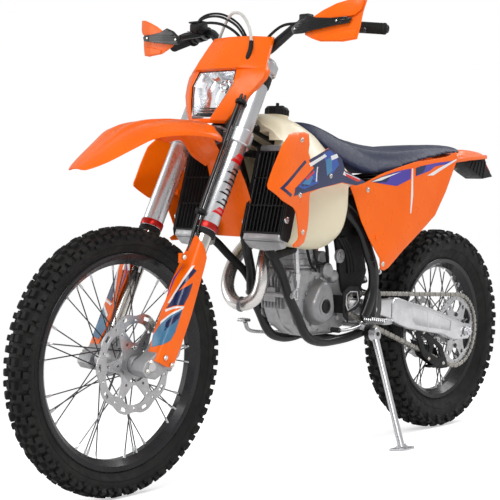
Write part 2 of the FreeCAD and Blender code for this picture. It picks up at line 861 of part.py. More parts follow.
def fuel_tank():
    body = skinned([tank_ring(*station) for station in tank_stations])
    tunnel = prism(tunnel_points, -tank_tunnel, 2 * tank_tunnel)
    pipe_room = prism(pipe_room_points, -tank_half - pipe_room_side, tank_half + pipe_room_side)
    low, high, back_high, back_low = radiator_points
    room_points = (
        (low[0], low[1] - tank_room_drop), (high[0], high[1] + tank_room_rise),
        (back_high[0] - tank_room_gap, back_high[1] + tank_room_rise),
        (back_low[0] - tank_room_gap, back_low[1] - tank_room_drop))
    room = prism(room_points, radiator_inner - tank_room_side, radiator_wide)
    return off_frame(body.cut(fused([tunnel, pipe_room] + both_sides(room))))


def fuel_cap():
    return rod(*places(cap_points), cap_radius)


# Seat
seat_low_share = 0.8
seat_edge_share = 0.15
seat_side_share = 0.8
seat_crown_share = 0.5
# Each station: forward, low, top, and the half widths at the lower edge and below the top.
seat_low = (-42.0, 857.0, 950.0, 50.0, 40.0)
seat_size = (870.0, 131.0, 58.0, 78.0, 66.0)
seat_share = (
    (1, 1, 1, 0, 0), (0.9333, 0.5878, 0.9483, 0.5385, 0.3939), (0.8529, 0.2824, 0.6552, 0.7949, 0.6061),
    (0.7724, 0.084, 0.2931, 0.9487, 0.7879), (0.692, 0, 0.0862, 1, 0.9394), (0.5885, 0.0687, 0, 0.9744, 1),
    (0.3759, 0.3893, 0.1897, 0.8462, 0.9091), (0.1862, 0.6336, 0.3793, 0.5897, 0.6667),
    (0, 0.7099, 0.2414, 0.1282, 0.1212))
seat_stations = sized(seat_share, seat_low, seat_size)


def seat_ring(forward, low, top, half_low, half_top):
    tall = top - low
    right = [
        (half_low * seat_low_share, low), (half_low, low + tall * seat_edge_share),
        (half_top, low + tall * seat_side_share), (half_top * seat_crown_share, top)]
    return mirrored_ring(right, forward)


def seat():
    return skinned([seat_ring(*station) for station in seat_stations]).cut(fuel_tank())


# Bodywork
panel_thick = 4.0
shroud_low = (633.0, 648.0)
shroud_size = (572.0, 314.0)
shroud_share = (
    (0.6923, 1), (0.6451, 0.9841), (0.6626, 0.8248), (0.6364, 0.7516), (0.451, 0.879), (0.3724, 0.8471),
    (0.2657, 0.6943), (0, 0.5924), (0.1311, 0.5541), (0.2955, 0.5732), (0.535, 0.5191), (0.6451, 0.4745),
    (0.6416, 0.3089), (0.6608, 0.0414), (0.7552, 0), (0.7657, 0.0255), (0.7238, 0.086), (0.771, 0.3089),
    (0.7955, 0.3439), (0.8934, 0.3981), (0.9965, 0.4968), (1, 0.5287), (0.9038, 0.8631), (0.8374, 0.9618),
    (0.7867, 0.9841))
shroud_points = sized(shroud_share, shroud_low, shroud_size)
shroud_forward = 593.0
shroud_flare = 0.2
shroud_left = 147.0
shroud_boss_radius = 9.0
front_boss = (1040.0, 800.0)
rear_boss = (870.0, 832.0)
rear_boss_start = 70.0
panel_low = (84.0, 567.0)
panel_size = (602.0, 381.0)
panel_share = (
    (1, 0.6693), (0.8787, 0.6982), (0.7392, 0.7717), (0.5914, 0.832), (0.4435, 0.8871), (0.2591, 0.9213),
    (0.1096, 0.9528), (0.01, 1), (0, 0.9396), (0.0299, 0.8688), (0.1262, 0.6509), (0.2392, 0.4462),
    (0.4003, 0.2992), (0.5581, 0.1601), (0.6993, 0.0184), (0.7375, 0), (0.7674, 0.0105), (0.7774, 0.0446),
    (0.7757, 0.0971), (0.8405, 0.231), (0.912, 0.3911), (0.9701, 0.5853))
panel_points = sized(panel_share, panel_low, panel_size)
right_panel_low = (90.0, 567.0)
right_panel_size = (596.0, 381.0)
right_panel_share = (
    (1, 0.6693), (0.8775, 0.6982), (0.7366, 0.7717), (0.5872, 0.832), (0.4379, 0.8871), (0.2517, 0.9213),
    (0.1007, 0.9528), (0, 1), (0.0134, 0.9213), (0.3473, 0.811), (0.5168, 0.7638), (0.5537, 0.5066),
    (0.6141, 0.2073), (0.6544, 0.0472), (0.6963, 0.0184), (0.7349, 0), (0.7651, 0.0105), (0.7752, 0.0446),
    (0.7735, 0.0971), (0.8389, 0.231), (0.9111, 0.3911), (0.9698, 0.5853))
right_panel_points = sized(right_panel_share, right_panel_low, right_panel_size)
panel_up = 565.0
panel_tall = 385.0
panel_left = 154.0
panel_right = 160.0
panel_lean = 24.0
panel_boss = (560.0, 668.0)
panel_boss_start = 100.0
panel_boss_radius = 8.0


def shroud_at(forward):
    return shroud_left + shroud_flare * (forward - shroud_forward)


def shroud():
    # A flat panel that flares outwards to the front, standing on bosses.
    points = [at(shroud_at(forward), forward, up) for forward, up in shroud_points]
    panel = face_of(*points).extrude(Vector(panel_thick, 0, 0))
    bosses = []
    for start, (forward, up) in ((radiator_inner + radiator_wide, front_boss), (rear_boss_start, rear_boss)):
        end = shroud_at(forward) + panel_thick / 2
        bosses.append(cross_rod(start, forward, up, end - start, shroud_boss_radius))
    return fused([panel, bosses[0], bosses[1].cut(fuel_tank())])


def flat_panel(outline, left):
    # A panel leaning in towards the seat, set on two bosses.
    def left_at(up):
        return left - panel_lean * (up - panel_up) / panel_tall

    points = [at(left_at(up), forward, up) for forward, up in outline]
    panel = face_of(*points).extrude(Vector(panel_thick, 0, 0))
    reach = left_at(panel_boss[1]) - panel_boss_start
    boss = cross_rod(panel_boss_start, *panel_boss, reach, panel_boss_radius)
    return off_frame(panel.fuse(boss))


# Rear fender and lamp holder. Each station: forward, low, top and half width.
tail_low = (-267.0, 926.0, 939.0, 40.0)
tail_size = (307.0, 22.0, 26.0, 38.0)
tail_share = (
    (1, 0, 0, 0.5789), (0.7264, 0.1818, 0.2308, 0.8421), (0.6873, 0.0909, 0.8077, 0.8947),
    (0.5114, 0, 1, 1), (0.2182, 0.6364, 0.9615, 0.6842), (0, 1, 0.7308, 0))
tail_stations = sized(tail_share, tail_low, tail_size)
tail_edge = 5.0
tail_crown_share = 0.6
tail_post_low = (50.0, 2.0, 900.0)
tail_post_size = (7.0, 0.0, 36.0)
tail_post_share = ((1, 0, 0), (0, 0, 1))
tail_post_points = sized(tail_post_share, tail_post_low, tail_post_size)
tail_post_radius = 7.0
lamp_holder_low = (-311.0, 865.0)
lamp_holder_size = (215.0, 80.5)
lamp_holder_share = (
    (1, 0.6957), (0.5953, 0.236), (0.3349, 0), (0, 0.1366), (0.0512, 0.236), (0.2279, 0.6211), (0.2837, 1),
    (0.4, 0.9652), (0.9349, 0.754))
lamp_holder_points = sized(lamp_holder_share, lamp_holder_low, lamp_holder_size)
lamp_holder_half = 38.0
airbox_low = (262.0, 660.0)
airbox_size = (133.0, 201.0)
airbox_share = ((0, 0.199), (0.9774, 0), (1, 0.9254), (0, 1))
airbox_points = sized(airbox_share, airbox_low, airbox_size)
airbox_half = 64.0


def rear_fender():
    sections = []
    for forward, low, top, half in tail_stations:
        right = [(half, low), (half, low + tail_edge), (half * tail_crown_share, top)]
        sections.append(mirrored_ring(right, forward))
    post = rod(*places(tail_post_points), tail_post_radius).cut(fused(rails(seat_gap)))
    return fused([skinned(sections)] + both_sides(post))


def tail_lamp():
    return prism(lamp_holder_points, -lamp_holder_half, 2 * lamp_holder_half)


def airbox():
    box = prism(airbox_points, -airbox_half, 2 * airbox_half)
    return box.cut(fused(rails(seat_gap) + stays(seat_gap)))


# Swingarm: a deep arm on each side, drawn in to the pivot between the engine and the frame
arm_share = (
    (0.81, 1.00), (0.76, 0.99), (0.51, 0.78), (0.18, 0.48), (0.08, 0.35), (0.00, 0.28), (0.00, 0.0),
    (0.11, 0.0), (0.18, 0.02), (0.29, 0.16), (0.44, 0.23), (0.65, 0.36), (0.81, 0.54))
arm_forward = -24.0
arm_nose = 25.0
arm_long = pivot_forward - arm_forward + arm_nose
arm_up = 318.0
arm_tall = 160.0
arm_left = 102.0
arm_wide = 30.0
# Each station of the elbow: forward, inner and outer left, low and top.
elbow_low = (436.0, 56.0, 78.0, 408.0, 466.0)
elbow_size = (112.0, 46.0, 54.0, 16.0, 10.0)
elbow_share = ((0, 1, 1, 0, 1), (0.3036, 0.1304, 0.3704, 1, 0.4), (1, 0, 0, 1, 0))
elbow_stations = sized(elbow_share, elbow_low, elbow_size)
arm_bridge = (0.0, 462.0, 447.0)
arm_bridge_size = (132.0, 44.0, 40.0)
arm_bore_half = 90.0
axle_bore_half = 150.0
spool_radius = 4.0
spool_deep = 16.0
spool_forward = 30.0
spool_drop = 14.0
rear_axle_half = 146.0


def swingarm():
    arm = prism(spread(arm_share, arm_forward, arm_up, arm_long, arm_tall), arm_left, arm_wide)
    elbow = skinned([
        [at(inner, forward, low), at(outer, forward, low), at(outer, forward, top), at(inner, forward, top)]
        for forward, inner, outer, low, top in elbow_stations])
    body = fused(both_sides(arm) + both_sides(elbow) + [block(*arm_bridge, *arm_bridge_size)])
    body = body.cut(bridge((arm_bore_half, pivot_forward, pivot_up), pivot_radius + running_gap))
    slot = bridge((axle_bore_half, 0, rear_axle_up), axle_radius + running_gap)
    spool_start = arm_left + arm_wide - spool_deep
    spool_up = rear_axle_up - spool_drop
    spool = cross_rod(spool_start, spool_forward, spool_up, spool_deep + overrun, spool_radius)
    return body.cut(slot).cut(fused(both_sides(spool)))


def pivot_bolt():
    return bridge((plate_left + plate_thick + pivot_head, pivot_forward, pivot_up), pivot_radius)


def rear_axle_rod():
    return bridge((rear_axle_half, 0, rear_axle_up), axle_radius)


# Shock: a damper in a coil spring
shock_low = (0.0, 452.0, 469.8)
shock_size = (0.0, 48.0, 330.2)
shock_share = ((0, 0, 0), (0, 1, 1))
shock_points = sized(shock_share, shock_low, shock_size)
shock_rod_radius = 9.0
shock_body_radius = 20.0
shock_body_start = 150.0
shock_foot_radius = 18.0
shock_foot_long = 30.0
spring_radius = 30.0
spring_wire = 5.5
spring_turns = 7
spring_steps = 10
spring_sides = 6
spring_start = 52.0
spring_end = 262.0
spring_seat_radius = 36.0
spring_seat_thick = 8.0


def spring(low, along):
    # The wire climbs round the damper and ends in the two seats.
    across = along.cross(at(1, 0, 0)).normalize()
    over = along.cross(across)
    count = spring_turns * spring_steps
    path = []
    for index in range(count + 1):
        angle = 2 * math.pi * index / spring_steps
        rise = spring_start + (spring_end - spring_start) * index / count
        path.append(low + along * rise + across * (spring_radius * math.cos(angle))
                    + over * (spring_radius * math.sin(angle)))
    return wire_along(path, low, along)


def wire_along(path, low, along):
    # A wire round a path that circles the line from low along its axis.
    rings = []
    for point in path:
        foot = low + along * (point - low).dot(along)
        outward = (point - foot).normalize()
        turns = [2 * math.pi * side / spring_sides for side in range(spring_sides)]
        rings.append([
            point + (outward * math.cos(turn) + along * math.sin(turn)) * spring_wire for turn in turns])
    faces = [face_of(*rings[0]), face_of(*rings[-1])]
    for near, far in zip(rings, rings[1:]):
        for side in range(spring_sides):
            other = (side + 1) % spring_sides
            faces.append(face_of(near[side], near[other], far[other]))
            faces.append(face_of(near[side], far[other], far[side]))
    return solid_from(faces)


def shock():
    low, high = places(shock_points)
    along = (high - low).normalize()
    pieces = [
        rod(low, high, shock_rod_radius),
        rod(low + along * shock_body_start, high, shock_body_radius),
        rod(low, low + along * shock_foot_long, shock_foot_radius)]
    for middle in (spring_start, spring_end):
        start = low + along * (middle - spring_seat_thick / 2)
        pieces.append(rod(start, start + along * spring_seat_thick, spring_seat_radius))
    return fused(pieces + [spring(low, along)])


# Chain guide, foot controls and rear brake
guide_low = (60.0, 222.0)
guide_size = (240.0, 158.0)
guide_share = (
    (1, 1), (0.8417, 0.8101), (0.6417, 0.3165), (0.2167, 0), (0, 0), (0.1667, 0.4937), (0.6667, 0.8987))
guide_points = sized(guide_share, guide_low, guide_size)
inner_guide_low = (60.0, 222.0)
inner_guide_size = (195.0, 108.0)
inner_guide_share = ((1, 1), (0.7897, 0.463), (0.2667, 0), (0, 0), (0.2051, 0.6296))
inner_guide_points = sized(inner_guide_share, inner_guide_low, inner_guide_size)
guide_wall = 4.5
guide_outer_off = 9.2
guide_inner_off = 14.0
guide_rail = (-0.2, 150.0, 234.0)
guide_rail_size = (26.0, 40.0, 8.0)
peg_place = (180.0, 590.0, 418.0)
peg_size = (74.0, 46.0, 18.0)
peg_hanger_low = (102.0, 566.0, 379.0)
peg_hanger_size = (48.0, 24.0, 37.0)
peg_hanger_share = ((0, 0, 0), (0.5417, 0.6667, 0.7838), (1, 1, 1))
peg_hanger_points = sized(peg_hanger_share, peg_hanger_low, peg_hanger_size)
peg_hanger_radius = 9.0
rod_sides = 6
shift_shaft = (598.0, 400.0)
shift_shaft_end = 128.0
shift_shaft_radius = 8.0
shift_arm_low = (124.0, 598.0, 392.0)
shift_arm_size = (6.0, 162.0, 8.0)
shift_arm_share = ((0, 0, 1), (0.6667, 0.5062, 0), (1, 1, 0.75))
shift_arm_points = sized(shift_arm_share, shift_arm_low, shift_arm_size)
shift_arm_radius = 6.0
shift_toe = (130.0, 760.0, 398.0)
shift_toe_long = 34.0
pedal_low = (-142.0, 590.0, 360.0)
pedal_size = (47.0, 240.0, 40.0)
pedal_share = ((1, 0, 0.2), (0.2979, 0.0917, 0), (0.0426, 0.2917, 0.05), (0, 0.875, 0.3), (0.0426, 1, 1))
pedal_points = sized(pedal_share, pedal_low, pedal_size)
pedal_radius = 7.0
pedal_tip = (-140.0, 838.0, 408.0)
pedal_tip_size = (34.0, 30.0, 12.0)
rear_caliper_forward = 78.0
rear_caliper_rise = 66.0
rear_caliper_size = (40.0, 64.0, 44.0)
rear_hanger_left = -91.0
rear_hanger_forward = 66.0
rear_hanger_size = (21.4, 30.0, 36.0)


def chain_guide():
    outer = prism(guide_points, chain_left + guide_outer_off, guide_wall)
    inner = prism(inner_guide_points, chain_left - guide_inner_off, guide_wall)
    left, forward, up = guide_rail
    return fused([outer, inner, block(chain_left + left, forward, up, *guide_rail_size)])


def footpegs():
    hanger = off_frame(tube(places(peg_hanger_points), peg_hanger_radius, sides=rod_sides))
    return Part.makeCompound(both_sides(fused([block(*peg_place, *peg_size), hanger])))


def foot_controls():
    lever = fused([
        cross_rod(case_half, *shift_shaft, shift_shaft_end - case_half, shift_shaft_radius),
        tube(places(shift_arm_points), shift_arm_radius, sides=rod_sides),
        cross_rod(*shift_toe, shift_toe_long, shift_shaft_radius)])
    arm = off_frame(tube(places(pedal_points), pedal_radius, sides=rod_sides))
    return Part.makeCompound([lever, fused([arm, block(*pedal_tip, *pedal_tip_size)])])


def rear_caliper():
    up = rear_axle_up + rear_caliper_rise
    body = block(rear_disc_left + disc_thick / 2, rear_caliper_forward, up, *rear_caliper_size)
    hanger = block(rear_hanger_left, rear_hanger_forward, up, *rear_hanger_size)
    slot = Part.makeCylinder(rear_disc_radius + overrun, disc_thick + 2 * pad_gap,
                             rear_axle + Vector(rear_disc_left - pad_gap, 0, 0), Vector(1, 0, 0))
    return fused([body, hanger]).cut(slot)


# Side stand: the leg runs from its pivot to the floor, and folds up and back
stand_pivot_left = 145.0
stand_pivot_forward = 556.0
stand_pivot_up = 372.0
stand_splay_deg = 15.0
stand_ahead_deg = 8.0
stand_leg_radius = 11.0
stand_foot_wide = 62.0
stand_foot_thick = 8.0
fold_left = 12.0
fold_back = 318.0
fold_rise = 228.0
stand_eye_half = 12.0
stand_eye_radius = 20.0
stand_bolt_half = 30.0
stand_bolt_radius = 6.0
stand_boss_radius = 16.0
stand_boss_long = 16.0
stand_bolt_proud = 3.0


def stand_pivot():
    return at(stand_pivot_left, stand_pivot_forward, stand_pivot_up)


def stand_reach():
    # Direction and length of the leg, from its pivot down to the foot's underside.
    ground_splay = math.radians(stand_splay_deg)
    ahead = math.radians(stand_ahead_deg)
    lean = math.radians(lean_deg)
    # Measured on the floor's own axes first, then turned back into the upright bike.
    side = math.sin(ground_splay)
    down = math.cos(ground_splay) * math.cos(ahead)
    forward = math.cos(ground_splay) * math.sin(ahead)
    pivot_height = stand_pivot_up * math.cos(lean) - stand_pivot_left * math.sin(lean)
    direction = at(side * math.cos(lean) + down * math.sin(lean), forward,
                   side * math.sin(lean) - down * math.cos(lean))
    return direction.normalize(), pivot_height / down


def fold_direction():
    return at(fold_left, -fold_back, fold_rise).normalize()


def stand_axis():
    # The pin is tilted so that the leg, splayed on the floor, ends up close along the bike's side.
    change = stand_reach()[0] - fold_direction()
    sideways = at(1, 0, 0)
    axis = sideways - change * (sideways.dot(change) / change.dot(change))
    return axis.normalize()


def stand_sweep_deg():
    axis = stand_axis()
    down = stand_reach()[0]
    folded = fold_direction()
    down_flat = down - axis * down.dot(axis)
    folded_flat = folded - axis * folded.dot(axis)
    return math.degrees(math.atan2(axis.dot(down_flat.cross(folded_flat)), down_flat.dot(folded_flat)))


def side_stand():
    direction, length = stand_reach()
    axis = stand_axis()
    lean = math.radians(lean_deg)
    pivot = stand_pivot()
    end = pivot + direction * length
    floor_up = Vector(-math.sin(lean), 0, math.cos(lean))
    floor_out = Vector(math.cos(lean), 0, math.sin(lean))
    foot_corner = end - floor_out * (stand_foot_wide / 2) + Vector(0, stand_foot_wide / 2, 0)
    sole = face_of(
        foot_corner, foot_corner + floor_out * stand_foot_wide,
        foot_corner + floor_out * stand_foot_wide - Vector(0, stand_foot_wide, 0),
        foot_corner - Vector(0, stand_foot_wide, 0))
    foot = sole.extrude(floor_up * stand_foot_thick)
    leg = tube([pivot, end + floor_up * (stand_foot_thick / 2)], stand_leg_radius)
    eye = rod(pivot - axis * stand_eye_half, pivot + axis * stand_eye_half, stand_eye_radius)
    reach = axis * stand_bolt_half
    bore = rod(pivot - reach, pivot + reach, stand_bolt_radius + running_gap)
    return fused([foot, leg, eye]).cut(bore)


def stand_bracket():
    pivot = stand_pivot()
    axis = stand_axis()
    seat_face = pivot - axis * (stand_eye_half + seat_gap)
    bolt = rod(seat_face, pivot + axis * (stand_eye_half + stand_bolt_proud), stand_bolt_radius)
    boss = rod(seat_face - axis * stand_boss_long, seat_face, stand_boss_radius)
    return fused([bolt, off_frame(boss)])


# Fork, clamps and axle
outer_radius = 29.0
inner_radius = 24.0
outer_low = 381.0
outer_tall = 535.0
wiper_tall = 30.0
wiper_proud = 2.0
tube_cap = 14.0
tube_play = 2.0
lug_half = 17.0
lug_start = 40.0
lug_low = (-30.0, -2.0)
lug_size = (108.0, 80.0)
lug_share = ((1, 0.1), (0.8333, 0.625), (0.0556, 1), (0, 0.8), (0.0556, 0.4), (0.5556, 0), (1, 0))
lug_points = sized(lug_share, lug_low, lug_size)
front_axle_proud = 22.0
lower_band = 9.0
upper_band = 8.0
clamp_inset = 4.0
clamp_half_deep = 24.0
web_half = 34.0
web_deep = 26.0
clamp_bore_over = 60.0


def fork_rod(left, low, high, radius):
    return rod(fork(left, low, clamp_offset), fork(left, high, clamp_offset), radius)


def fork_clamps():
    pieces = []
    bands = ((lower_clamp, lower_clamp_tall, lower_band), (upper_clamp, clamp_tall, upper_band))
    for along, tall, band in bands:
        low = along - tall / 2
        pieces += both_sides(fork_rod(leg_spread, low, low + tall, outer_radius + band))
        near = clamp_offset - clamp_half_deep
        far = clamp_offset + clamp_half_deep
        right = [
            (web_half, -clamp_half_deep), (leg_spread, near), (leg_spread, far), (web_half, web_deep)]
        corners = right + [(-x, y) for x, y in reversed(right)]
        plate = face_of(*[fork(x, low + clamp_inset, y) for x, y in corners])
        pieces.append(plate.extrude(fork(0, low + tall - clamp_inset, 0) - fork(0, low + clamp_inset, 0)))
    stem = rod(fork(0, lower_clamp, 0), fork(0, upper_clamp + clamp_tall, 0), stem_radius)
    bore = fork_rod(leg_spread, lower_clamp - clamp_bore_over, upper_clamp + clamp_bore_over,
                    outer_radius + running_gap)
    return fused(pieces + [stem]).cut(fused(both_sides(bore)))


def fork_outers():
    high = outer_low + outer_tall
    leg = fused([
        fork_rod(leg_spread, outer_low + wiper_tall, high, outer_radius),
        fork_rod(leg_spread, outer_low, outer_low + wiper_tall, outer_radius + wiper_proud)])
    bore = fork_rod(leg_spread, outer_low - overrun, high - tube_cap, inner_radius + running_gap)
    return Part.makeCompound(both_sides(leg.cut(bore)))


def fork_inners():
    leg = fork_rod(leg_spread, lug_start, outer_low + outer_tall - tube_cap - tube_play, inner_radius)
    lug = face_of(*[fork(leg_spread - lug_half, a, b) for a, b in lug_points])
    lug = lug.extrude(Vector(2 * lug_half, 0, 0))
    reach = 2 * lug_half
    bore = rod(
        fork(leg_spread - reach, 0, axle_offset), fork(leg_spread + reach, 0, axle_offset),
        axle_radius + running_gap)
    return Part.makeCompound(both_sides(fused([leg, lug]).cut(bore)))


def front_axle_rod():
    half = leg_spread + front_axle_proud
    return rod(front_axle - Vector(half, 0, 0), front_axle + Vector(half, 0, 0), axle_radius)


# Handlebar and its controls
bar_radius = 14.0
bar_bend_radius = 13.2
bar_end_radius = 11.0
bar_sides = 10
bar_forward = 1012.0
bar_up = 1185.0
bar_middle_half = 70.0
bar_rise_low = (76.0, 985.0, 1185.0)
bar_rise_size = (89.0, 27.0, 77.0)
bar_rise_share = ((0, 1, 0), (1, 0, 1))
bar_rise_points = sized(bar_rise_share, bar_rise_low, bar_rise_size)
bar_end = (402.0, 903.0, 1240.0)
bar_bend_share = 0.25
bar_bend_end_share = 0.12
bar_end_share = 0.08
bar_clamp_left = 42.0
bar_clamp_half = 15.0
bar_clamp_radius = 22.0
bar_post_radius = 13.0
bar_post_ahead = 5.0
bar_post_sunk = 3.0
grip_radius = 16.0
grip_rim = 6.0
grip_shares = (0.44, 0.98)
grip_bore_shares = (0.4, 1.05)
clamp_shares = (0.22, 0.30)
clamp_wall = 7.0
clamp_bore_shares = (0.15, 0.4)
perch_share = 0.26
# The perch and the lever: share of the bar, then ahead of it and above it.
perch_stations = ((0.26, 0, 0), (0.26, 34, 4), (0.34, 56, 0))
perch_radius = 9.0
lever_stations = ((0.33, 52, 0), (0.5, 66, -4), (0.86, 62, -8))
lever_radius = 6.0
fluid_tank = (-196.0, 1010.0, 1290.0)
fluid_tank_size = (44.0, 34.0, 26.0)
fluid_neck = (-200.0, 1004.0, 1284.0)
fluid_neck_radius = 10.0
# Each station of a handguard: left, forward, low and top.
shield_low = (168.0, 984.0, 1196.0, 1262.0)
shield_size = (252.0, 84.0, 32.0, 50.0)
shield_share = (
    (0, 0.9286, 1, 0), (0.1865, 1, 0.3125, 0.4), (0.4444, 0.9524, 0, 0.76), (0.7222, 0.6905, 0, 1),
    (0.9206, 0.3095, 0.25, 1), (1, 0, 0.8125, 0.92))
shield_stations = sized(shield_share, shield_low, shield_size)
shield_edge = 4.0
shield_belly = 10.0
shield_wall = 4.0
shield_arm_start = 14.0
shield_arm_low = (404.0, 960.0, 1250.0)
shield_arm_size = (20.0, 52.0, 8.0)
shield_arm_share = ((1, 0, 0), (0, 1, 1))
shield_arm_points = sized(shield_arm_share, shield_arm_low, shield_arm_size)
shield_arm_radius = 7.0


def bar_point(share):
    inner = at(*bar_rise_points[1])
    return inner * (1 - share) + at(*bar_end) * share


def bar_rod(shares, radius):
    low, high = shares
    return rod(bar_point(low), bar_point(high), radius)


def off_bar(stations):
    return [bar_point(share) + at(0, ahead, above) for share, ahead, above in stations]


def handlebar():
    half = places(bar_rise_points) + [bar_point(bar_bend_end_share)]
    path = [Vector(-point.x, point.y, point.z) for point in reversed(half)] + half
    bend = tube(path, bar_bend_radius, bend=bar_bend_share, sides=bar_sides)
    middle = bridge((bar_middle_half, bar_forward, bar_up), bar_radius)
    clamps = []
    for side in (-1, 1):
        left = side * bar_clamp_left
        foot = fork(left, upper_clamp + clamp_tall / 2 - bar_post_sunk, bar_post_ahead)
        clamps.append(rod(foot, at(left, bar_forward, bar_up), bar_post_radius))
        clamps.append(
            cross_rod(left - bar_clamp_half, bar_forward, bar_up, 2 * bar_clamp_half, bar_clamp_radius))
    return fused([bend, middle] + both_sides(bar_rod((bar_end_share, 1), bar_end_radius)) + clamps)


def grips():
    start = bar_point(grip_shares[0])
    along = (bar_point(1) - bar_point(0)).normalize()
    flange = rod(start, start + along * grip_rim, grip_radius + grip_rim)
    grip = bar_rod(grip_shares, grip_radius).fuse(flange)
    return Part.makeCompound(both_sides(grip.cut(bar_rod(grip_bore_shares, bar_end_radius + running_gap))))


def hand_controls():
    # Clamp, perch and lever on each side, with the fluid tank on the right.
    clamp = bar_rod(clamp_shares, bar_end_radius + clamp_wall)
    perch = tube(off_bar(perch_stations), perch_radius, sides=rod_sides)
    lever = tube(off_bar(lever_stations), lever_radius, sides=rod_sides)
    bore = bar_rod(clamp_bore_shares, bar_end_radius + running_gap)
    side = fused([clamp, perch, lever]).cut(bore)
    tank = block(*fluid_tank, *fluid_tank_size)
    hold = bar_point(perch_share)
    neck = rod(Vector(-hold.x, hold.y, hold.z), at(*fluid_neck), fluid_neck_radius)
    return Part.makeCompound([side, fused([mirrored(side), tank, neck]).cut(mirrored(bore))])


def shield_ring(left, forward, low, top):
    middle = (low + top) / 2
    edge = forward + shield_edge
    return [
        at(left, forward, low), at(left, edge, low), at(left, forward + shield_belly, middle),
        at(left, edge, top), at(left, forward, top), at(left, forward + shield_belly - shield_wall, middle)]


def handguards():
    # A curved shield ahead of each grip, on an arm that ends in the bar's end.
    shield = skinned([shield_ring(*station) for station in shield_stations])
    outward = (bar_point(1) - bar_point(0)).normalize()
    start = bar_point(1) + outward * seat_gap
    arm = tube([start, start + outward * shield_arm_start] + places(shield_arm_points), shield_arm_radius,
               sides=rod_sides)
    return Part.makeCompound(both_sides(shield.fuse(arm)))


# Headlight mask and lamp. Each level: up, forward at the rear edge and at the nose, and half width.
mask_low = (985.0, 1090.0, 1136.0, 65.0)
mask_size = (237.0, 90.0, 110.0, 77.0)
mask_share = (
    (0, 1, 0.9727, 0), (0.1477, 0.9111, 1, 0.1429), (0.3249, 0.6667, 0.9455, 0.4545),
    (0.5359, 0.4, 0.7818, 1), (0.654, 0.3333, 0.6182, 0.9221), (1, 0, 0, 0.0649))
mask_levels = sized(mask_share, mask_low, mask_size)
mask_thick = 5.0
mask_back_play = 8.0
mask_cheek_share = 0.86
mask_cheek_back_share = 0.45
mask_nose_share = 0.4
mask_nose_back_share = 0.1
lamp_low = (-84.0, 1034.0)
lamp_size = (168.0, 78.0)
lamp_share = ((0.0714, 1), (0, 0.5897), (0.2381, 0), (0.7619, 0), (1, 0.5897), (0.9286, 1))
lamp_points = sized(lamp_share, lamp_low, lamp_size)
lamp_cut_forward = 1120.0
lamp_cut_long = 200.0
lamp_middle_up = 1073.0
lamp_fit_share = 0.994
lamp_back = 1135.0
lamp_long = 98.0
lamp_arm_low = (84.0, 800.0)
lamp_arm_end = (62.0, 1140.0, 1090.0)
lamp_arm_radius = 5.0
lamp_arm_sunk = 3.0
leg_room = (600.0, 900.0)


def mask_ring(up, rear, nose, half, inset):
    deep = nose - rear
    right = [
        (half - inset, rear - inset),
        (half * mask_cheek_share - inset, rear + deep * mask_cheek_back_share - inset),
        (half * mask_nose_share - inset, nose - deep * mask_nose_back_share - inset)]
    points = right + [(-x, f) for x, f in reversed(right)]
    return [at(x, f, up) for x, f in points]


def headlight_mask():
    outer = skinned([mask_ring(*level, 0) for level in mask_levels])
    inner_levels = []
    for level, (up, rear, nose, half) in enumerate(mask_levels):
        if level == 0:
            up = up - overrun
        if level == len(mask_levels) - 1:
            up = up - mask_thick
        inner_levels.append((up, rear - mask_back_play, nose, half))
    inner = skinned([mask_ring(*level, mask_thick) for level in inner_levels])
    opening = face_of(*[at(x, lamp_cut_forward, u) for x, u in lamp_points]).extrude(at(0, lamp_cut_long, 0))
    return outer.cut(inner).cut(opening)


def headlamp():
    slim = [
        (x * lamp_fit_share, lamp_middle_up + (u - lamp_middle_up) * lamp_fit_share) for x, u in lamp_points]
    body = face_of(*[at(x, lamp_back, u) for x, u in slim]).extrude(at(0, lamp_long, 0))
    foot = fork(*lamp_arm_low, clamp_offset + outer_radius - lamp_arm_sunk)
    arm = rod(foot, at(*lamp_arm_end), lamp_arm_radius)
    room = fork_rod(leg_spread, *leg_room, outer_radius + seat_gap)
    return fused([body] + both_sides(arm.cut(room)))


# Front fender. Each station: forward, top, half width, droop of the edge and depth of the two channels.
fender_low = (1118.0, 842.0, 40.0, 8.0, 1.0)
fender_size = (546.0, 142.0, 84.0, 28.0, 12.0)
fender_share = (
    (1, 0, 0, 0, 0), (0.9194, 0.2324, 0.2619, 0.2143, 0.0833), (0.7399, 0.662, 0.5714, 0.5714, 0.25),
    (0.6264, 0.8451, 0.7619, 0.75, 0.6667), (0.5385, 0.9366, 0.8571, 0.8571, 0.8333), (0.3333, 1, 1, 1, 1),
    (0.1978, 1, 0.8571, 0.7857, 0.6667), (0.1648, 0.8592, 0.2619, 0.2857, 0.25),
    (0.1392, 0.5775, 0.2381, 0.0714, 0.0833), (0, 0.3099, 0.1667, 0, 0))
fender_stations = sized(fender_share, fender_low, fender_size)
# Each point of the half section: share of the half width, of the droop and of the channel.
fender_half_share = (
    (1, 1, 0), (0.8, 0.42, 0), (0.47, 0.12, 0), (0.38, 0.08, 0.9), (0.18, 0.03, 1), (0.11, 0, 0))
fender_thick = 4.0
fender_under_share = 0.98


def front_fender():
    sections = []
    for forward, top, half, droop, channel in fender_stations:
        right = [(half * x, top - droop * d - channel * c) for x, d, c in fender_half_share]
        under = [(x * fender_under_share, u - fender_thick) for x, u in right]
        points = ([(-x, u) for x, u in right] + list(reversed(right)) + under
                  + [(-x, u) for x, u in reversed(under)])
        sections.append([at(x, forward, u) for x, u in points])
    return skinned(sections)


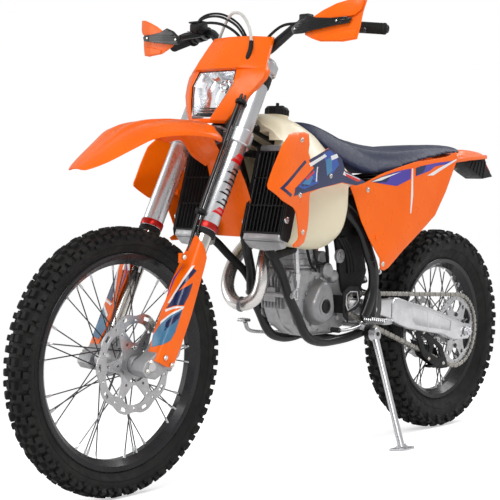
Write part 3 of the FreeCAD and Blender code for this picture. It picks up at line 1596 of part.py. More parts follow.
# Fork guards: points along the leg and ahead of the steering axis
guard_front_low = (-24.0, 70.0)
guard_front_size = (398.0, 28.0)
guard_front_share = ((1, 0.0714), (0.7688, 0.1071), (0.4749, 0), (0.299, 0.5), (0.1709, 1), (0, 0.9286))
guard_front = sized(guard_front_share, guard_front_low, guard_front_size)
guard_rear_low = (-30.0, -25.0)
guard_rear_size = (393.0, 85.0)
guard_rear_share = ((0, 1), (0.1425, 0.1529), (0.4173, 0), (0.8321, 0.1882), (1, 0.1412))
guard_rear = sized(guard_rear_share, guard_rear_low, guard_rear_size)
guard_top = (420, 66)
guard_back_low = (-90.0, -90.0)
guard_back_size = (510.0, 180.0)
guard_back_share = ((0, 1), (0, 0), (1, 0))
guard_back = sized(guard_back_share, guard_back_low, guard_back_size)
guard_wall = 4.0
guard_side_gap = 6.0
guard_boss = (24.0, 26.0)
guard_boss_radius = 7.0
guard_boss_sunk = 1.0


def fork_guards():
    # A side plate with a front wall that wraps round the leg.
    left = leg_spread + inner_radius + guard_side_gap
    near = leg_spread - inner_radius
    outline = [fork(near, a, b) for a, b in guard_front + guard_rear]
    full = face_of(*outline).extrude(Vector(left + guard_wall - near, 0, 0))
    far = near - inner_radius
    inside = [(a, b - guard_wall) for a, b in guard_front[1:]]
    hollow = face_of(*[fork(far, a, b) for a, b in (guard_top, *inside, *guard_back)])
    hollow = hollow.extrude(Vector(left - far, 0, 0))
    boss = rod(fork(leg_spread + lug_half + seat_gap, *guard_boss), fork(left + guard_boss_sunk, *guard_boss),
               guard_boss_radius)
    return Part.makeCompound(both_sides(full.cut(hollow).fuse(boss)))


# Front brake
front_caliper_size = (36.0, 50.0, 74.0)
front_caliper_along = 60.0
front_caliper_behind = 96.0
caliper_hanger_low = (10.0, 84.0, -30.4)
caliper_hanger_size = (32.0, 18.0, 52.4)
caliper_hanger_share = ((0, 0, 0), (1, 1, 1))
caliper_hanger_points = sized(caliper_hanger_share, caliper_hanger_low, caliper_hanger_size)
caliper_hanger_radius = 9.0
caliper_room = (-60.0, 200.0)
hose_radius = 4.0
hose_high_points = (
    (-196, 1031, 1290), (-168, 1066, 1304), (-112, 1092, 1310), (-40, 1106, 1300), (26, 1108, 1276))
# The rest of the hose goes down the left leg: left, along the leg and ahead of the steering axis.
hose_low_points = (
    (78, 958, 70), (98, 890, 67), (100, 800, 66), (98, 700, 67), (101, 600, 66), (100, 500, 64), (99, 410, 60),
    (100, 320, 56), (99, 240, 56), (88, 185, 54), (72, 156, 38), (69, 138, 4), (69, 122, -30), (69, 97.8, -36))


def front_caliper():
    left = front_disc_left + disc_thick / 2
    body = block(left, 0, 0, *front_caliper_size)
    body.rotate(Vector(left, 0, 0), Vector(1, 0, 0), -rake_deg)
    centre = fork(0, front_caliper_along, axle_offset - front_caliper_behind)
    body.translate(Vector(0, centre.y, centre.z))
    slot_ring = Part.makeCylinder(front_disc_radius + overrun, disc_thick + 2 * pad_gap,
                                  front_axle + Vector(front_disc_left - pad_gap, 0, 0), Vector(1, 0, 0))
    route = [fork(left + x, a, b) for x, a, b in caliper_hanger_points]
    hanger = tube(route, caliper_hanger_radius, sides=rod_sides)
    room = fork_rod(leg_spread, *caliper_room, inner_radius + seat_gap)
    return fused([body, hanger]).cut(fused([slot_ring, room]))


def brake_hose():
    # From the master cylinder over the mask, down the front of the left leg and in to the caliper.
    route = places(hose_high_points) + [fork(*point) for point in hose_low_points]
    return tube(route, hose_radius, sides=rod_sides, chords=few_chords)


# The bike is leaned on its stand and set on the floor
parts = {
    "frame": frame(),
    "subframe": subframe(),
    "engine_cases": engine(),
    "cylinder": cylinder(),
    "engine_covers": engine_covers(),
    "header_pipe": header_pipe(),
    "silencer": silencer(),
    "radiators": radiators(),
    "fuel_tank": fuel_tank(),
    "fuel_cap": fuel_cap(),
    "seat": seat(),
    "shroud_left": shroud(),
    "shroud_right": mirrored(shroud()),
    "side_panel_left": flat_panel(panel_points, panel_left),
    "side_panel_right": mirrored(flat_panel(right_panel_points, panel_right)),
    "rear_fender": rear_fender(),
    "tail_lamp": tail_lamp(),
    "airbox": airbox(),
    "swingarm": swingarm(),
    "pivot_bolt": pivot_bolt(),
    "shock": shock(),
    "rear_axle": rear_axle_rod(),
    "chain": chain(),
    "chain_guide": chain_guide(),
    "footpegs": footpegs(),
    "foot_controls": foot_controls(),
    "rear_caliper": rear_caliper(),
    "stand_bracket": stand_bracket(),
    "fork_clamps": fork_clamps(),
    "fork_outers": fork_outers(),
    "fork_inners": fork_inners(),
    "front_axle": front_axle_rod(),
    "handlebar": handlebar(),
    "grips": grips(),
    "hand_controls": hand_controls(),
    "handguards": handguards(),
    "headlight_mask": headlight_mask(),
    "headlamp": headlamp(),
    "front_fender": front_fender(),
    "fork_guards": fork_guards(),
    "front_caliper": front_caliper(),
    "brake_hose": brake_hose(),
    "front_tyre": tyre(front_tyre_radius, front_tyre_half, front_rim_radius, front_rim_half, front_axle),
    "front_rim": rim(front_rim_radius, front_rim_half, front_axle),
    "front_hub": hub(front_rim_radius, front_hub_half, front_disc_left, None, front_axle),
    "front_disc": wave_disc(front_disc_radius, front_disc_left, front_axle, front_disc_arms),
    "rear_tyre": tyre(rear_tyre_radius, rear_tyre_half, rear_rim_radius, rear_rim_half, rear_axle),
    "rear_rim": rim(rear_rim_radius, rear_rim_half, rear_axle),
    "rear_hub": hub(
        rear_rim_radius, rear_hub_half, rear_disc_left + disc_thick, sprocket_left, rear_axle),
    "rear_disc": wave_disc(rear_disc_radius, rear_disc_left, rear_axle, rear_disc_arms),
    "rear_sprocket": sprocket(rear_axle),
    "side_stand": side_stand(),
}


def leaned(shape):
    copy = shape.copy()
    copy.rotate(Vector(0, 0, 0), Vector(0, 1, 0), lean_deg)
    return copy


placed = {name: leaned(shape) for name, shape in parts.items()}
whole = Part.makeCompound(list(placed.values())).optimalBoundingBox(False, False)
to_origin = Vector(-(whole.XMin + whole.XMax) / 2, -(whole.YMin + whole.YMax) / 2, -whole.ZMin)
for name, shape in placed.items():
    shape.translate(to_origin)
    shape.exportStep(os.path.join("parts", name + ".step"))
print("nodes", len(placed), "size", round(whole.XLength), round(whole.YLength), round(whole.ZLength))
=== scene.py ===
import json
import math

import bmesh
import bpy
from mathutils import Matrix, Vector
from mathutils.geometry import delaunay_2d_cdt
from mathutils.bvhtree import BVHTree


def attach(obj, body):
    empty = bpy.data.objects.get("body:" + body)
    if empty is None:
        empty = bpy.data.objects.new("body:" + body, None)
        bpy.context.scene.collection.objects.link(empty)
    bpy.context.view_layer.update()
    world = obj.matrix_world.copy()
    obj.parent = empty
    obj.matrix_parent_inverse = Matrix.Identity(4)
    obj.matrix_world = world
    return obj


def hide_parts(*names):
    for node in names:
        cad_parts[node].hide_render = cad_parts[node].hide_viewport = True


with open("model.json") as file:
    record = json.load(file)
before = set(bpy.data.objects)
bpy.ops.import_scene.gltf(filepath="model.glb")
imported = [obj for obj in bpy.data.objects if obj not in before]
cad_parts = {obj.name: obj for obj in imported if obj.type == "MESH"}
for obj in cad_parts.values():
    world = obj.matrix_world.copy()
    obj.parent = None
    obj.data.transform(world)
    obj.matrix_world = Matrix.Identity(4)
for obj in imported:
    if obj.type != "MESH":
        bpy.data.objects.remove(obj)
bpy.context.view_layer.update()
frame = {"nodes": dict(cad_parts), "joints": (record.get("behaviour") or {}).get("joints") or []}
nodes = frame["nodes"]
print("stage: frame loaded", len(nodes), "nodes")

# The bike's own upright frame in mm: x to its left, y to the back, z up. It leans on its stand.
bikeSizes = {
    "leanDeg": 9.0,
    "wheelbase": 1482.0,
    "rakeDeg": 26.5,
    "axleOffset": 53.6,
    "rearAxleUp": 344.7632,
    "frontAxleUp": 351.0088,
}
sinRake = math.sin(math.radians(bikeSizes["rakeDeg"]))
cosRake = math.cos(math.radians(bikeSizes["rakeDeg"]))
leanTurn = Matrix.Rotation(math.radians(bikeSizes["leanDeg"]), 4, "Y")
jointPlaces = {j["name"]: Vector(j["pos_m"]) for j in frame["joints"]}
rearAxle = Vector((0, 0, bikeSizes["rearAxleUp"]))
frontAxle = Vector((0, -bikeSizes["wheelbase"], bikeSizes["frontAxleUp"]))
bikeOrigin = jointPlaces["rear_wheel_spin"] - leanTurn @ (rearAxle / 1000)
toRow = Matrix.Translation(bikeOrigin) @ leanTurn @ Matrix.Scale(0.001, 4)


def at(left, forward, up):
    return Vector((left, -forward, up))


def steer(left, along, ahead):
    # A point on the steered side: along the steering axis, and ahead of it.
    foot = at(0, bikeSizes["wheelbase"] - bikeSizes["axleOffset"] * cosRake,
              bikeSizes["frontAxleUp"] - bikeSizes["axleOffset"] * sinRake)
    return foot + Vector((left, along * sinRake - ahead * cosRake, along * cosRake + ahead * sinRake))


# Camera, as it stood to the upright bike
cameraSizes = {
    "place": (2320.7, -3647.6, 782.8),
    "target": (0.0, -978.5, 629.8),
    "rollDeg": 1.46,
    "lens": 88.98,
}


def axesMatrix(x, y, z):
    # Turns the local axes into x, y and z.
    return Matrix((Vector(x), Vector(y), Vector(z))).transposed().to_4x4()


def makeCamera():
    data = bpy.data.cameras.new("photoCamera")
    camera = bpy.data.objects.new("photoCamera", data)
    bpy.context.scene.collection.objects.link(camera)
    place = Vector(cameraSizes["place"])
    back = (place - Vector(cameraSizes["target"])).normalized()
    right = Vector((0, 0, 1)).cross(back).normalized()
    up = back.cross(right)
    roll = math.radians(cameraSizes["rollDeg"])
    rolledRight = right * math.cos(roll) + up * math.sin(roll)
    rolledUp = up * math.cos(roll) - right * math.sin(roll)
    turn = axesMatrix(rolledRight, rolledUp, back)
    camera.matrix_world = Matrix.Translation(toRow @ place) @ leanTurn @ turn
    data.sensor_width = 36
    data.lens = cameraSizes["lens"]
    data.clip_start = 0.05
    data.clip_end = 60
    bpy.context.scene.camera = camera


makeCamera()

# Light and floor
lightSizes = {
    "worldStrength": 0.55,
    # name, place, target, size, power
    "lamps": (("keyLight", (2.4, -3.2, 3.4), (0, -0.2, 0.6), (2.6, 2.0), 105.0),
              ("fillLight", (-3.4, -2.6, 2.0), (0, -0.2, 0.6), (2.4, 2.4), 40.0),
              ("rimLight", (1.2, 3.2, 3.0), (0, 0.2, 0.7), (2.6, 1.6), 70.0)),
    "floorSize": 60.0,
    "floorColour": (0.9, 0.9, 0.9),
    "floorGlow": 0.5,
}


def areaLight(name, place, target, size, power):
    data = bpy.data.lights.new(name, "AREA")
    data.shape = "RECTANGLE"
    data.size, data.size_y = size
    data.energy = power
    lamp = bpy.data.objects.new(name, data)
    bpy.context.scene.collection.objects.link(lamp)
    lamp.location = place
    lamp.rotation_mode = "QUATERNION"
    lamp.rotation_quaternion = (Vector(target) - Vector(place)).to_track_quat("-Z", "Y")
    return lamp


def setInputs(tree, node, inputs):
    # Each input gets a constant, or a link from another node's output.
    for socket, value in inputs.items():
        if isinstance(value, bpy.types.NodeSocket):
            tree.links.new(value, node.inputs[socket])
        else:
            node.inputs[socket].default_value = value
    return node


def addNode(tree, kind, inputs={}, **settings):
    node = tree.nodes.new(kind)
    for name, value in settings.items():
        setattr(node, name, value)
    return setInputs(tree, node, inputs)


def makeStage():
    s = lightSizes
    scene = bpy.context.scene
    scene.view_settings.view_transform = "Standard"
    world = bpy.data.worlds.new("studio")
    scene.world = world
    world.use_nodes = True
    tree = world.node_tree
    tree.nodes.clear()
    # The camera and the lens see white; everything else is lit by a weaker sky.
    path = addNode(tree, "ShaderNodeLightPath").outputs
    seen = addNode(tree, "ShaderNodeMath", {0: path["Is Camera Ray"], 1: path["Is Transmission Ray"]},
                   operation="MAXIMUM")
    level = addNode(tree, "ShaderNodeMapRange",
                    {"To Min": s["worldStrength"], "To Max": 1.0, "Value": seen.outputs[0]})
    background = addNode(tree, "ShaderNodeBackground", {"Color": (1, 1, 1, 1), "Strength": level.outputs["Result"]})
    addNode(tree, "ShaderNodeOutputWorld", {"Surface": background.outputs[0]})

    half = s["floorSize"] / 2
    mesh = bpy.data.meshes.new("floor")
    mesh.from_pydata([(-half, -half, 0), (half, -half, 0), (half, half, 0), (-half, half, 0)], [], [(0, 1, 2, 3)])
    floor = bpy.data.objects.new("floor", mesh)
    scene.collection.objects.link(floor)
    material = bpy.data.materials.new("paleFloor")
    material.use_nodes = True
    tree = material.node_tree
    path = addNode(tree, "ShaderNodeLightPath").outputs
    glow = addNode(tree, "ShaderNodeMath", {0: path["Is Camera Ray"], 1: s["floorGlow"]}, operation="MULTIPLY")
    setInputs(tree, tree.nodes["Principled BSDF"], {
        "Base Color": (*s["floorColour"], 1), "Roughness": 0.9, "Specular IOR Level": 0.1,
        "Emission Color": (1, 1, 1, 1), "Emission Strength": glow.outputs[0]})
    mesh.materials.append(material)
    for name, place, target, size, power in s["lamps"]:
        areaLight(name, place, target, size, power)


makeStage()
print("stage: camera and lights")

# Materials: every finish gets its grain, wear and gloss from nodes that read Object coordinates
finishes = {
    # name: colour, second colour, metallic, roughness low and high, mottle scale, bump scale, bump height, coat
    "orangePlastic": ((0.98, 0.150, 0.0), (0.93, 0.132, 0.0), 0, 0.24, 0.36, 9, 900, 0.00004, 0.05),
    "blackPlastic": ((0.008, 0.008, 0.009), (0.014, 0.014, 0.015), 0, 0.42, 0.6, 20, 1400, 0.00009, 0),
    "glossBlack": ((0.006, 0.006, 0.007), (0.010, 0.010, 0.011), 0, 0.16, 0.26, 14, 600, 0.00003, 0.4),
    "blackFrame": ((0.006, 0.006, 0.007), (0.011, 0.011, 0.012), 0.0, 0.28, 0.42, 16, 500, 0.00007, 0.3),
    "blackRubber": ((0.007, 0.007, 0.007), (0.013, 0.013, 0.013), 0, 0.55, 0.75, 25, 1200, 0.0001, 0),
    "tyreRubber": ((0.006, 0.006, 0.006), (0.014, 0.014, 0.013), 0, 0.5, 0.72, 14, 700, 0.00018, 0),
    "creamTank": ((0.84, 0.77, 0.58), (0.78, 0.70, 0.50), 0, 0.28, 0.42, 5, 500, 0.00005, 0.1),
    "castSilver": ((0.50, 0.50, 0.51), (0.40, 0.40, 0.41), 0.85, 0.38, 0.55, 18, 900, 0.00022, 0),
    "castGrey": ((0.25, 0.25, 0.26), (0.19, 0.19, 0.2), 0.8, 0.4, 0.58, 18, 900, 0.0002, 0),
    "machinedSilver": ((0.72, 0.72, 0.74), (0.62, 0.62, 0.64), 0.9, 0.24, 0.36, 10, 260, 0.00003, 0),
    "forkSilver": ((0.66, 0.67, 0.69), (0.6, 0.61, 0.63), 0.85, 0.22, 0.34, 8, 420, 0.00002, 0),
    "polishedSteel": ((0.74, 0.72, 0.69), (0.62, 0.59, 0.54), 1, 0.12, 0.26, 9, 300, 0.00002, 0),
    "discSteel": ((0.50, 0.50, 0.51), (0.42, 0.42, 0.43), 0.95, 0.22, 0.36, 30, 900, 0.00003, 0),
    "chainSteel": ((0.42, 0.40, 0.36), (0.30, 0.29, 0.27), 0.9, 0.3, 0.45, 40, 800, 0.00004, 0),
    "spokeSteel": ((0.13, 0.13, 0.14), (0.09, 0.09, 0.1), 0.8, 0.2, 0.34, 60, 600, 0.00002, 0),
    "blackRim": ((0.013, 0.013, 0.015), (0.02, 0.02, 0.023), 0.3, 0.22, 0.36, 12, 500, 0.00003, 0.3),
    "navySeat": ((0.013, 0.019, 0.058), (0.0115, 0.017, 0.053), 0, 0.48, 0.54, 30, 1500, 0.00006, 0),
    # The next entry is a lighter copy of the seat's navy for its top, a painted highlight for light from above; no
    # piece uses it.
    "litSeatTop": ((0.020, 0.027, 0.070), (0.018, 0.0245, 0.065), 0, 0.50, 0.54, 30, 1500, 0.00005, 0),
    "navyGraphic": ((0.010, 0.020, 0.095), (0.008, 0.016, 0.075), 0, 0.18, 0.28, 8, 400, 0.00002, 0.4),
    "blueGraphic": ((0.015, 0.085, 0.42), (0.012, 0.065, 0.34), 0, 0.18, 0.28, 8, 400, 0.00002, 0.4),
    "violetGraphic": ((0.085, 0.055, 0.40), (0.065, 0.045, 0.33), 0, 0.18, 0.28, 8, 400, 0.00002, 0.4),
    "whiteGraphic": ((0.84, 0.84, 0.84), (0.78, 0.78, 0.79), 0, 0.2, 0.3, 8, 400, 0.00002, 0.4),
    "redGraphic": ((0.70, 0.012, 0.012), (0.6, 0.01, 0.01), 0, 0.2, 0.3, 8, 400, 0.00002, 0.4),
    "redAnodised": ((0.55, 0.02, 0.015), (0.45, 0.016, 0.012), 0.7, 0.25, 0.35, 14, 600, 0.00002, 0),
    "tailRed": ((0.55, 0.01, 0.008), (0.42, 0.008, 0.006), 0, 0.1, 0.18, 14, 600, 0.00002, 0.5),
    "radiatorFins": ((0.03, 0.03, 0.033), (0.045, 0.045, 0.048), 0.5, 0.4, 0.55, 30, 900, 0.00006, 0),
    "paleHose": ((0.62, 0.62, 0.6), (0.52, 0.52, 0.5), 0, 0.35, 0.5, 20, 700, 0.00003, 0),
    "springWhite": ((0.62, 0.62, 0.63), (0.54, 0.54, 0.55), 0.2, 0.26, 0.38, 12, 500, 0.00004, 0.2),
    "tealPale": ((0.10, 0.27, 0.42), (0.045, 0.15, 0.28), 0, 0.2, 0.3, 8, 400, 0.00002, 0.2),
    "chromeBright": ((0.86, 0.87, 0.88), (0.74, 0.75, 0.77), 1, 0.05, 0.14, 20, 200, 0.00001, 0),
    "seatThread": ((0.05, 0.055, 0.085), (0.04, 0.045, 0.07), 0, 0.5, 0.7, 30, 900, 0.0001, 0),
    "tealGraphic": ((0.05, 0.22, 0.42), (0.04, 0.18, 0.36), 0, 0.2, 0.3, 8, 400, 0.00002, 0.3),
    "castPale": ((0.36, 0.36, 0.37), (0.30, 0.30, 0.31), 0.75, 0.34, 0.48, 16, 800, 0.00012, 0),
    "heatSteel": ((0.84, 0.83, 0.82), (0.74, 0.70, 0.66), 0.95, 0.2, 0.32, 5, 300, 0.00002, 0),
}
wearing = {"orangePlastic": 0.05, "blackFrame": 0.05, "tyreRubber": 0.10, "castSilver": 0.12, "blackPlastic": 0.06,
           "navySeat": 0.06, "litSeatTop": 0.08}
madeMaterials = {}


grainSizes = {
    "patchLow": 0.35, "patchHigh": 0.65, "scuffLow": 0.3, "scuffHigh": 0.7, "scuffScale": 4, "bump": 0.6,
    "metalGloss": 0.5, "plainGloss": 0.26, "coatRoughness": 0.12,
}


def newMaterial(name):
    # A material with its tree, its shader, and a noise that reads Object coordinates.
    material = bpy.data.materials.new(name)
    material.use_nodes = True
    tree = material.node_tree
    place = addNode(tree, "ShaderNodeTexCoord").outputs["Object"]

    def noise(inputs):
        return addNode(tree, "ShaderNodeTexNoise", {"Vector": place, **inputs}).outputs["Fac"]
    madeMaterials[name] = material
    return tree, tree.nodes["Principled BSDF"], noise


def finishMaterial(name):
    if name in madeMaterials:
        return madeMaterials[name]
    colour, second, metallic, roughLow, roughHigh, mottle, grain, height, coat = finishes[name]
    g = grainSizes
    tree, shader, noise = newMaterial(name)
    share = addNode(tree, "ShaderNodeMapRange", {
        "From Min": g["patchLow"], "From Max": g["patchHigh"],
        "Value": noise({"Scale": mottle, "Detail": 6, "Roughness": 0.6})})
    blend = addNode(tree, "ShaderNodeMix", {"A": (*colour, 1), "B": (*second, 1), "Factor": share.outputs["Result"]},
                    data_type="RGBA")
    rough = addNode(tree, "ShaderNodeMapRange", {
        "From Min": g["scuffLow"], "From Max": g["scuffHigh"],
        "To Min": roughLow, "To Max": roughHigh + wearing.get(name, 0),
        "Value": noise({"Scale": mottle * g["scuffScale"], "Detail": 8})})
    bump = addNode(tree, "ShaderNodeBump", {
        "Strength": g["bump"], "Distance": height, "Height": noise({"Scale": grain, "Detail": 4})})
    setInputs(tree, shader, {
        "Base Color": blend.outputs["Result"], "Roughness": rough.outputs["Result"], "Normal": bump.outputs["Normal"],
        "Metallic": metallic, "Specular IOR Level": g["metalGloss"] if metallic > 0.5 else g["plainGloss"],
        "Coat Weight": coat, "Coat Roughness": g["coatRoughness"]})
    return madeMaterials[name]


def lensMaterial():
    tree, shader, noise = newMaterial("clearLens")
    rough = addNode(tree, "ShaderNodeMapRange", {"To Min": 0.0, "To Max": 0.06, "Value": noise({"Scale": 60})})
    setInputs(tree, shader, {
        "Base Color": (0.97, 0.98, 0.99, 1), "Transmission Weight": 1, "IOR": 1.3,
                             "Roughness": rough.outputs["Result"]})


lensMaterial()


def meshFrom(name, verts, faces):
    mesh = bpy.data.meshes.new(name)
    mesh.from_pydata([tuple(v) for v in verts], [], faces)
    return mesh


def evaluated(holder):
    # The finished mesh of a helper object, which is taken away again.
    bpy.context.view_layer.update()
    graph = bpy.context.evaluated_depsgraph_get()
    result = bpy.data.meshes.new_from_object(holder.evaluated_get(graph), depsgraph=graph)
    bpy.data.objects.remove(holder)
    return result


def helperObject(name, data):
    holder = bpy.data.objects.new(name, data)
    bpy.context.scene.collection.objects.link(holder)
    return holder


def bakedMesh(mesh, modifiers):
    # Runs Blender modifiers on a mesh and returns the plain result.
    holder = helperObject("holder", mesh)
    for kind, settings in modifiers:
        modifier = holder.modifiers.new(kind.lower(), kind)
        for key, value in settings.items():
            setattr(modifier, key, value)
    return evaluated(holder)


def smoothed(mesh, levels=2):
    return bakedMesh(mesh, [("SUBSURF", {"levels": levels, "render_levels": levels})])


def thickened(mesh, thickness, offset=-1.0):
    return bakedMesh(mesh, [("SOLIDIFY", {"thickness": thickness, "offset": offset, "use_even_offset": True})])


def bevelled(mesh, width, segments=2, angleDeg=35):
    return bakedMesh(mesh, [("BEVEL", {"width": width, "segments": segments, "limit_method": "ANGLE",
                                       "angle_limit": math.radians(angleDeg)})])


def tidied(mesh, merge=0.01):
    work = bmesh.new()
    work.from_mesh(mesh)
    bmesh.ops.remove_doubles(work, verts=work.verts, dist=merge)
    bmesh.ops.recalc_face_normals(work, faces=work.faces)
    work.to_mesh(mesh)
    work.free()
    return mesh


def joined(name, meshes):
    work = bmesh.new()
    for mesh in meshes:
        work.from_mesh(mesh)
    result = bpy.data.meshes.new(name)
    work.to_mesh(result)
    work.free()
    return result


def movedMesh(mesh, matrix):
    result = mesh.copy()
    result.transform(matrix)
    if matrix.to_3x3().determinant() < 0:
        result.flip_normals()
    return result


mirrorSide = Matrix.Scale(-1, 4, (1, 0, 0))


def finishPiece(name, meshes, finish, body, replaced=(), sharpDeg=40):
    meshes = meshes if isinstance(meshes, list) else [meshes]
    mesh = joined(name, meshes) if len(meshes) > 1 else meshes[0].copy()
    mesh.name = name
    tidied(mesh)
    mesh.transform(toRow)
    mesh.materials.clear()
    mesh.materials.append(finishMaterial(finish))
    for polygon in mesh.polygons:
        polygon.use_smooth = True
        polygon.material_index = 0
    mesh.set_sharp_from_angle(angle=math.radians(sharpDeg))
    piece = helperObject(name, mesh)
    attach(piece, body)
    if replaced:
        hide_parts(*replaced)
    return piece


def aimed(origin, axis, lookUp=Vector((0, 0, 1))):
    # Turns local z into axis and local y as near to lookUp as it can.
    z = Vector(axis).normalized()
    x = Vector(lookUp).cross(z)
    if x.length < 1e-4:
        x = Vector((1, 0, 0)).cross(z)
    x.normalize()
    y = z.cross(x)
    return Matrix.Translation(origin) @ axesMatrix(x, y, z)


def loft(rings, capped=True, closedRing=True, closedRun=False):
    verts = [v for ring in rings for v in ring]
    count = len(rings[0])
    faces = []
    runs = len(rings) if closedRun else len(rings) - 1
    for r in range(runs):
        a = r * count
        b = ((r + 1) % len(rings)) * count
        for i in range(count if closedRing else count - 1):
            j = (i + 1) % count
            faces.append((a + i, a + j, b + j, b + i))
    if capped and closedRing and not closedRun:
        faces.append(tuple(reversed(range(count))))
        faces.append(tuple((len(rings) - 1) * count + i for i in range(count)))
    return meshFrom("loft", verts, faces)


def lathe(profile, origin, axis, segments=48, closed=False):
    # profile holds (radius, along) pairs; the shape turns round axis through origin.
    turn = aimed(origin, axis)
    rings = []
    for radius, along in profile:
        rings.append([turn @ Vector((*polar(radius, math.tau * i / segments), along)) for i in range(segments)])
    return tidied(loft(rings, capped=not closed, closedRun=closed))


def discRod(start, end, radius, segments=24, chamfer=0.0):
    start, end = Vector(start), Vector(end)
    length = (end - start).length
    profile = [(radius, 0), (radius, length)]
    if chamfer:
        profile = [(radius - chamfer, 0), (radius, chamfer), (radius, length - chamfer), (radius - chamfer, length)]
    return lathe(profile, start, end - start, segments)


def rounded(points, bend, steps=6):
    # A path of straight runs with a round arc at each corner.
    points = [Vector(p) for p in points]
    path = [points[0]]
    for before, corner, after in zip(points, points[1:], points[2:]):
        inward, outward = (before - corner), (after - corner)
        turn = math.pi - inward.angle(outward)
        if turn < 0.02:
            path.append(corner)
            continue
        reach = min(bend * math.tan(turn / 2), 0.48 * inward.length, 0.48 * outward.length)
        a = corner + inward.normalized() * reach
        b = corner + outward.normalized() * reach
        for i in range(steps + 1):
            t = i / steps
            path.append(a * (1 - t) ** 2 + corner * 2 * t * (1 - t) + b * t ** 2)
    path.append(points[-1])
    return path


def flowing(points, steps=8):
    # A smooth line through all the points.
    points = [Vector(p) for p in points]
    padded = [points[0] * 2 - points[1]] + points + [points[-1] * 2 - points[-2]]
    path = []
    for p0, p1, p2, p3 in zip(padded, padded[1:], padded[2:], padded[3:]):
        for i in range(steps):
            t = i / steps
            path.append(0.5 * ((2 * p1) + (p2 - p0) * t + (2 * p0 - 5 * p1 + 4 * p2 - p3) * t ** 2
                               + (3 * p1 - p0 - 3 * p2 + p3) * t ** 3))
    path.append(points[-1])
    return path


def route(points, steps):
    # A smooth line through places given as (left, forward, up).
    return flowing([at(*p) for p in points], steps)


def sweep(path, radius, sides=16, flat=1.0, up=None, capped=True):
    # A round tube along a path; radius may be one number or one for each point, flat squashes it along up.
    path = [Vector(p) for p in path]
    count = len(path)
    radii = radius if isinstance(radius, (list, tuple)) else [radius] * count
    rings = []
    normal = None
    for i, point in enumerate(path):
        tangent = (path[min(i + 1, count - 1)] - path[max(i - 1, 0)]).normalized()
        if normal is None:
            guess = Vector(up) if up is not None else Vector((0, 0, 1))
            if abs(guess.normalized().dot(tangent)) > 0.95:
                guess = Vector((1, 0, 0))
            normal = (guess - tangent * guess.dot(tangent)).normalized()
        else:
            normal = (normal - tangent * normal.dot(tangent)).normalized()
        side = tangent.cross(normal)
        rings.append([point + (normal * math.sin(math.tau * k / sides) * flat
                               + side * math.cos(math.tau * k / sides)) * radii[i] for k in range(sides)])
    return tidied(loft(rings, capped=capped))


def plate(loops, thickness, matrix, bevel=0.0, steps=1):
    # A flat plate from an outer loop and its holes, filled by a 2D curve; local z is its thickness.
    curve = bpy.data.curves.new("plate", "CURVE")
    curve.dimensions = "2D"
    curve.fill_mode = "BOTH"
    curve.extrude = thickness / 2 - bevel
    curve.bevel_depth = bevel
    curve.bevel_resolution = steps - 1
    curve.offset = -bevel
    for loop in loops:
        spline = curve.splines.new("POLY")
        spline.points.add(len(loop) - 1)
        for point, (u, v) in zip(spline.points, loop):
            point.co = (u, v, 0, 1)
        spline.use_cyclic_u = True
    mesh = evaluated(helperObject("plate", curve))
    bpy.data.curves.remove(curve)
    mesh.transform(matrix)
    return tidied(mesh, 0.002)


def polar(radius, turn):
    return radius * math.cos(turn), radius * math.sin(turn)


def circleLoop(u, v, radius, count=20, phase=0.0):
    return [(u + radius * math.cos(phase + math.tau * i / count), v + radius * math.sin(phase + math.tau * i / count))
            for i in range(count)]


def boxMesh(centre, size, matrix=Matrix.Identity(4), bevel=0.0, segments=2):
    work = bmesh.new()
    bmesh.ops.create_cube(work, size=1)
    mesh = bpy.data.meshes.new("box")
    work.to_mesh(mesh)
    work.free()
    mesh.transform(matrix @ Matrix.Translation(centre) @ Matrix.Diagonal((*size, 1)))
    return bevelled(mesh, bevel, segments) if bevel else mesh


# Geometry Nodes that repeat one element: round an axis, or along a path
def repeatTree(name, labels, spread):
    # A tree that sets copies of one element on the points that spread gives, and paints them.
    tree = bpy.data.node_groups.new(name, "GeometryNodeTree")
    tree.interface.new_socket("Geometry", in_out="OUTPUT", socket_type="NodeSocketGeometry")
    for label, kind in [("Geometry", "Geometry")] + labels + [("Finish", "Material")]:
        tree.interface.new_socket(label, in_out="INPUT", socket_type="NodeSocket" + kind)
    start = tree.nodes.new("NodeGroupInput").outputs
    place = addNode(tree, "GeometryNodeInstanceOnPoints", spread(tree, start))
    real = addNode(tree, "GeometryNodeRealizeInstances", {"Geometry": place.outputs["Instances"]})
    paint = addNode(tree, "GeometryNodeSetMaterial",
                    {"Geometry": real.outputs["Geometry"], "Material": start["Finish"]})
    addNode(tree, "NodeGroupOutput", {"Geometry": paint.outputs["Geometry"]})
    return tree


def roundAxis(tree, start):
    line = addNode(tree, "GeometryNodeMeshLine", {
        "Offset": (0, 0, 0), "Count": start["Count"], "Start Location": start["Centre"]})
    index = addNode(tree, "GeometryNodeInputIndex").outputs[0]
    part = addNode(tree, "ShaderNodeMath", {0: index, 1: start["Count"]}, operation="DIVIDE")
    turn = addNode(tree, "ShaderNodeMath", {0: part.outputs[0], 1: start["Whole Turn"], 2: start["First Turn"]},
                   operation="MULTIPLY_ADD")
    rotation = addNode(tree, "FunctionNodeAxisAngleToRotation", {"Axis": start["Axis"], "Angle": turn.outputs[0]})
    return {"Points": line.outputs["Mesh"], "Instance": start["Geometry"], "Rotation": rotation.outputs["Rotation"]}


def inRow(tree, start):
    line = addNode(tree, "GeometryNodeMeshLine", {"Count": start["Count"], "Offset": start["Step"]})
    return {"Points": line.outputs["Mesh"], "Instance": start["Geometry"]}


ringGroup = repeatTree("repeatRoundAxis", [("Count", "Int"), ("Axis", "Vector"), ("Centre", "Vector"),
                                           ("First Turn", "Float"), ("Whole Turn", "Float")], roundAxis)
rowGroup = repeatTree("repeatInRow", [("Count", "Int"), ("Step", "Vector")], inRow)


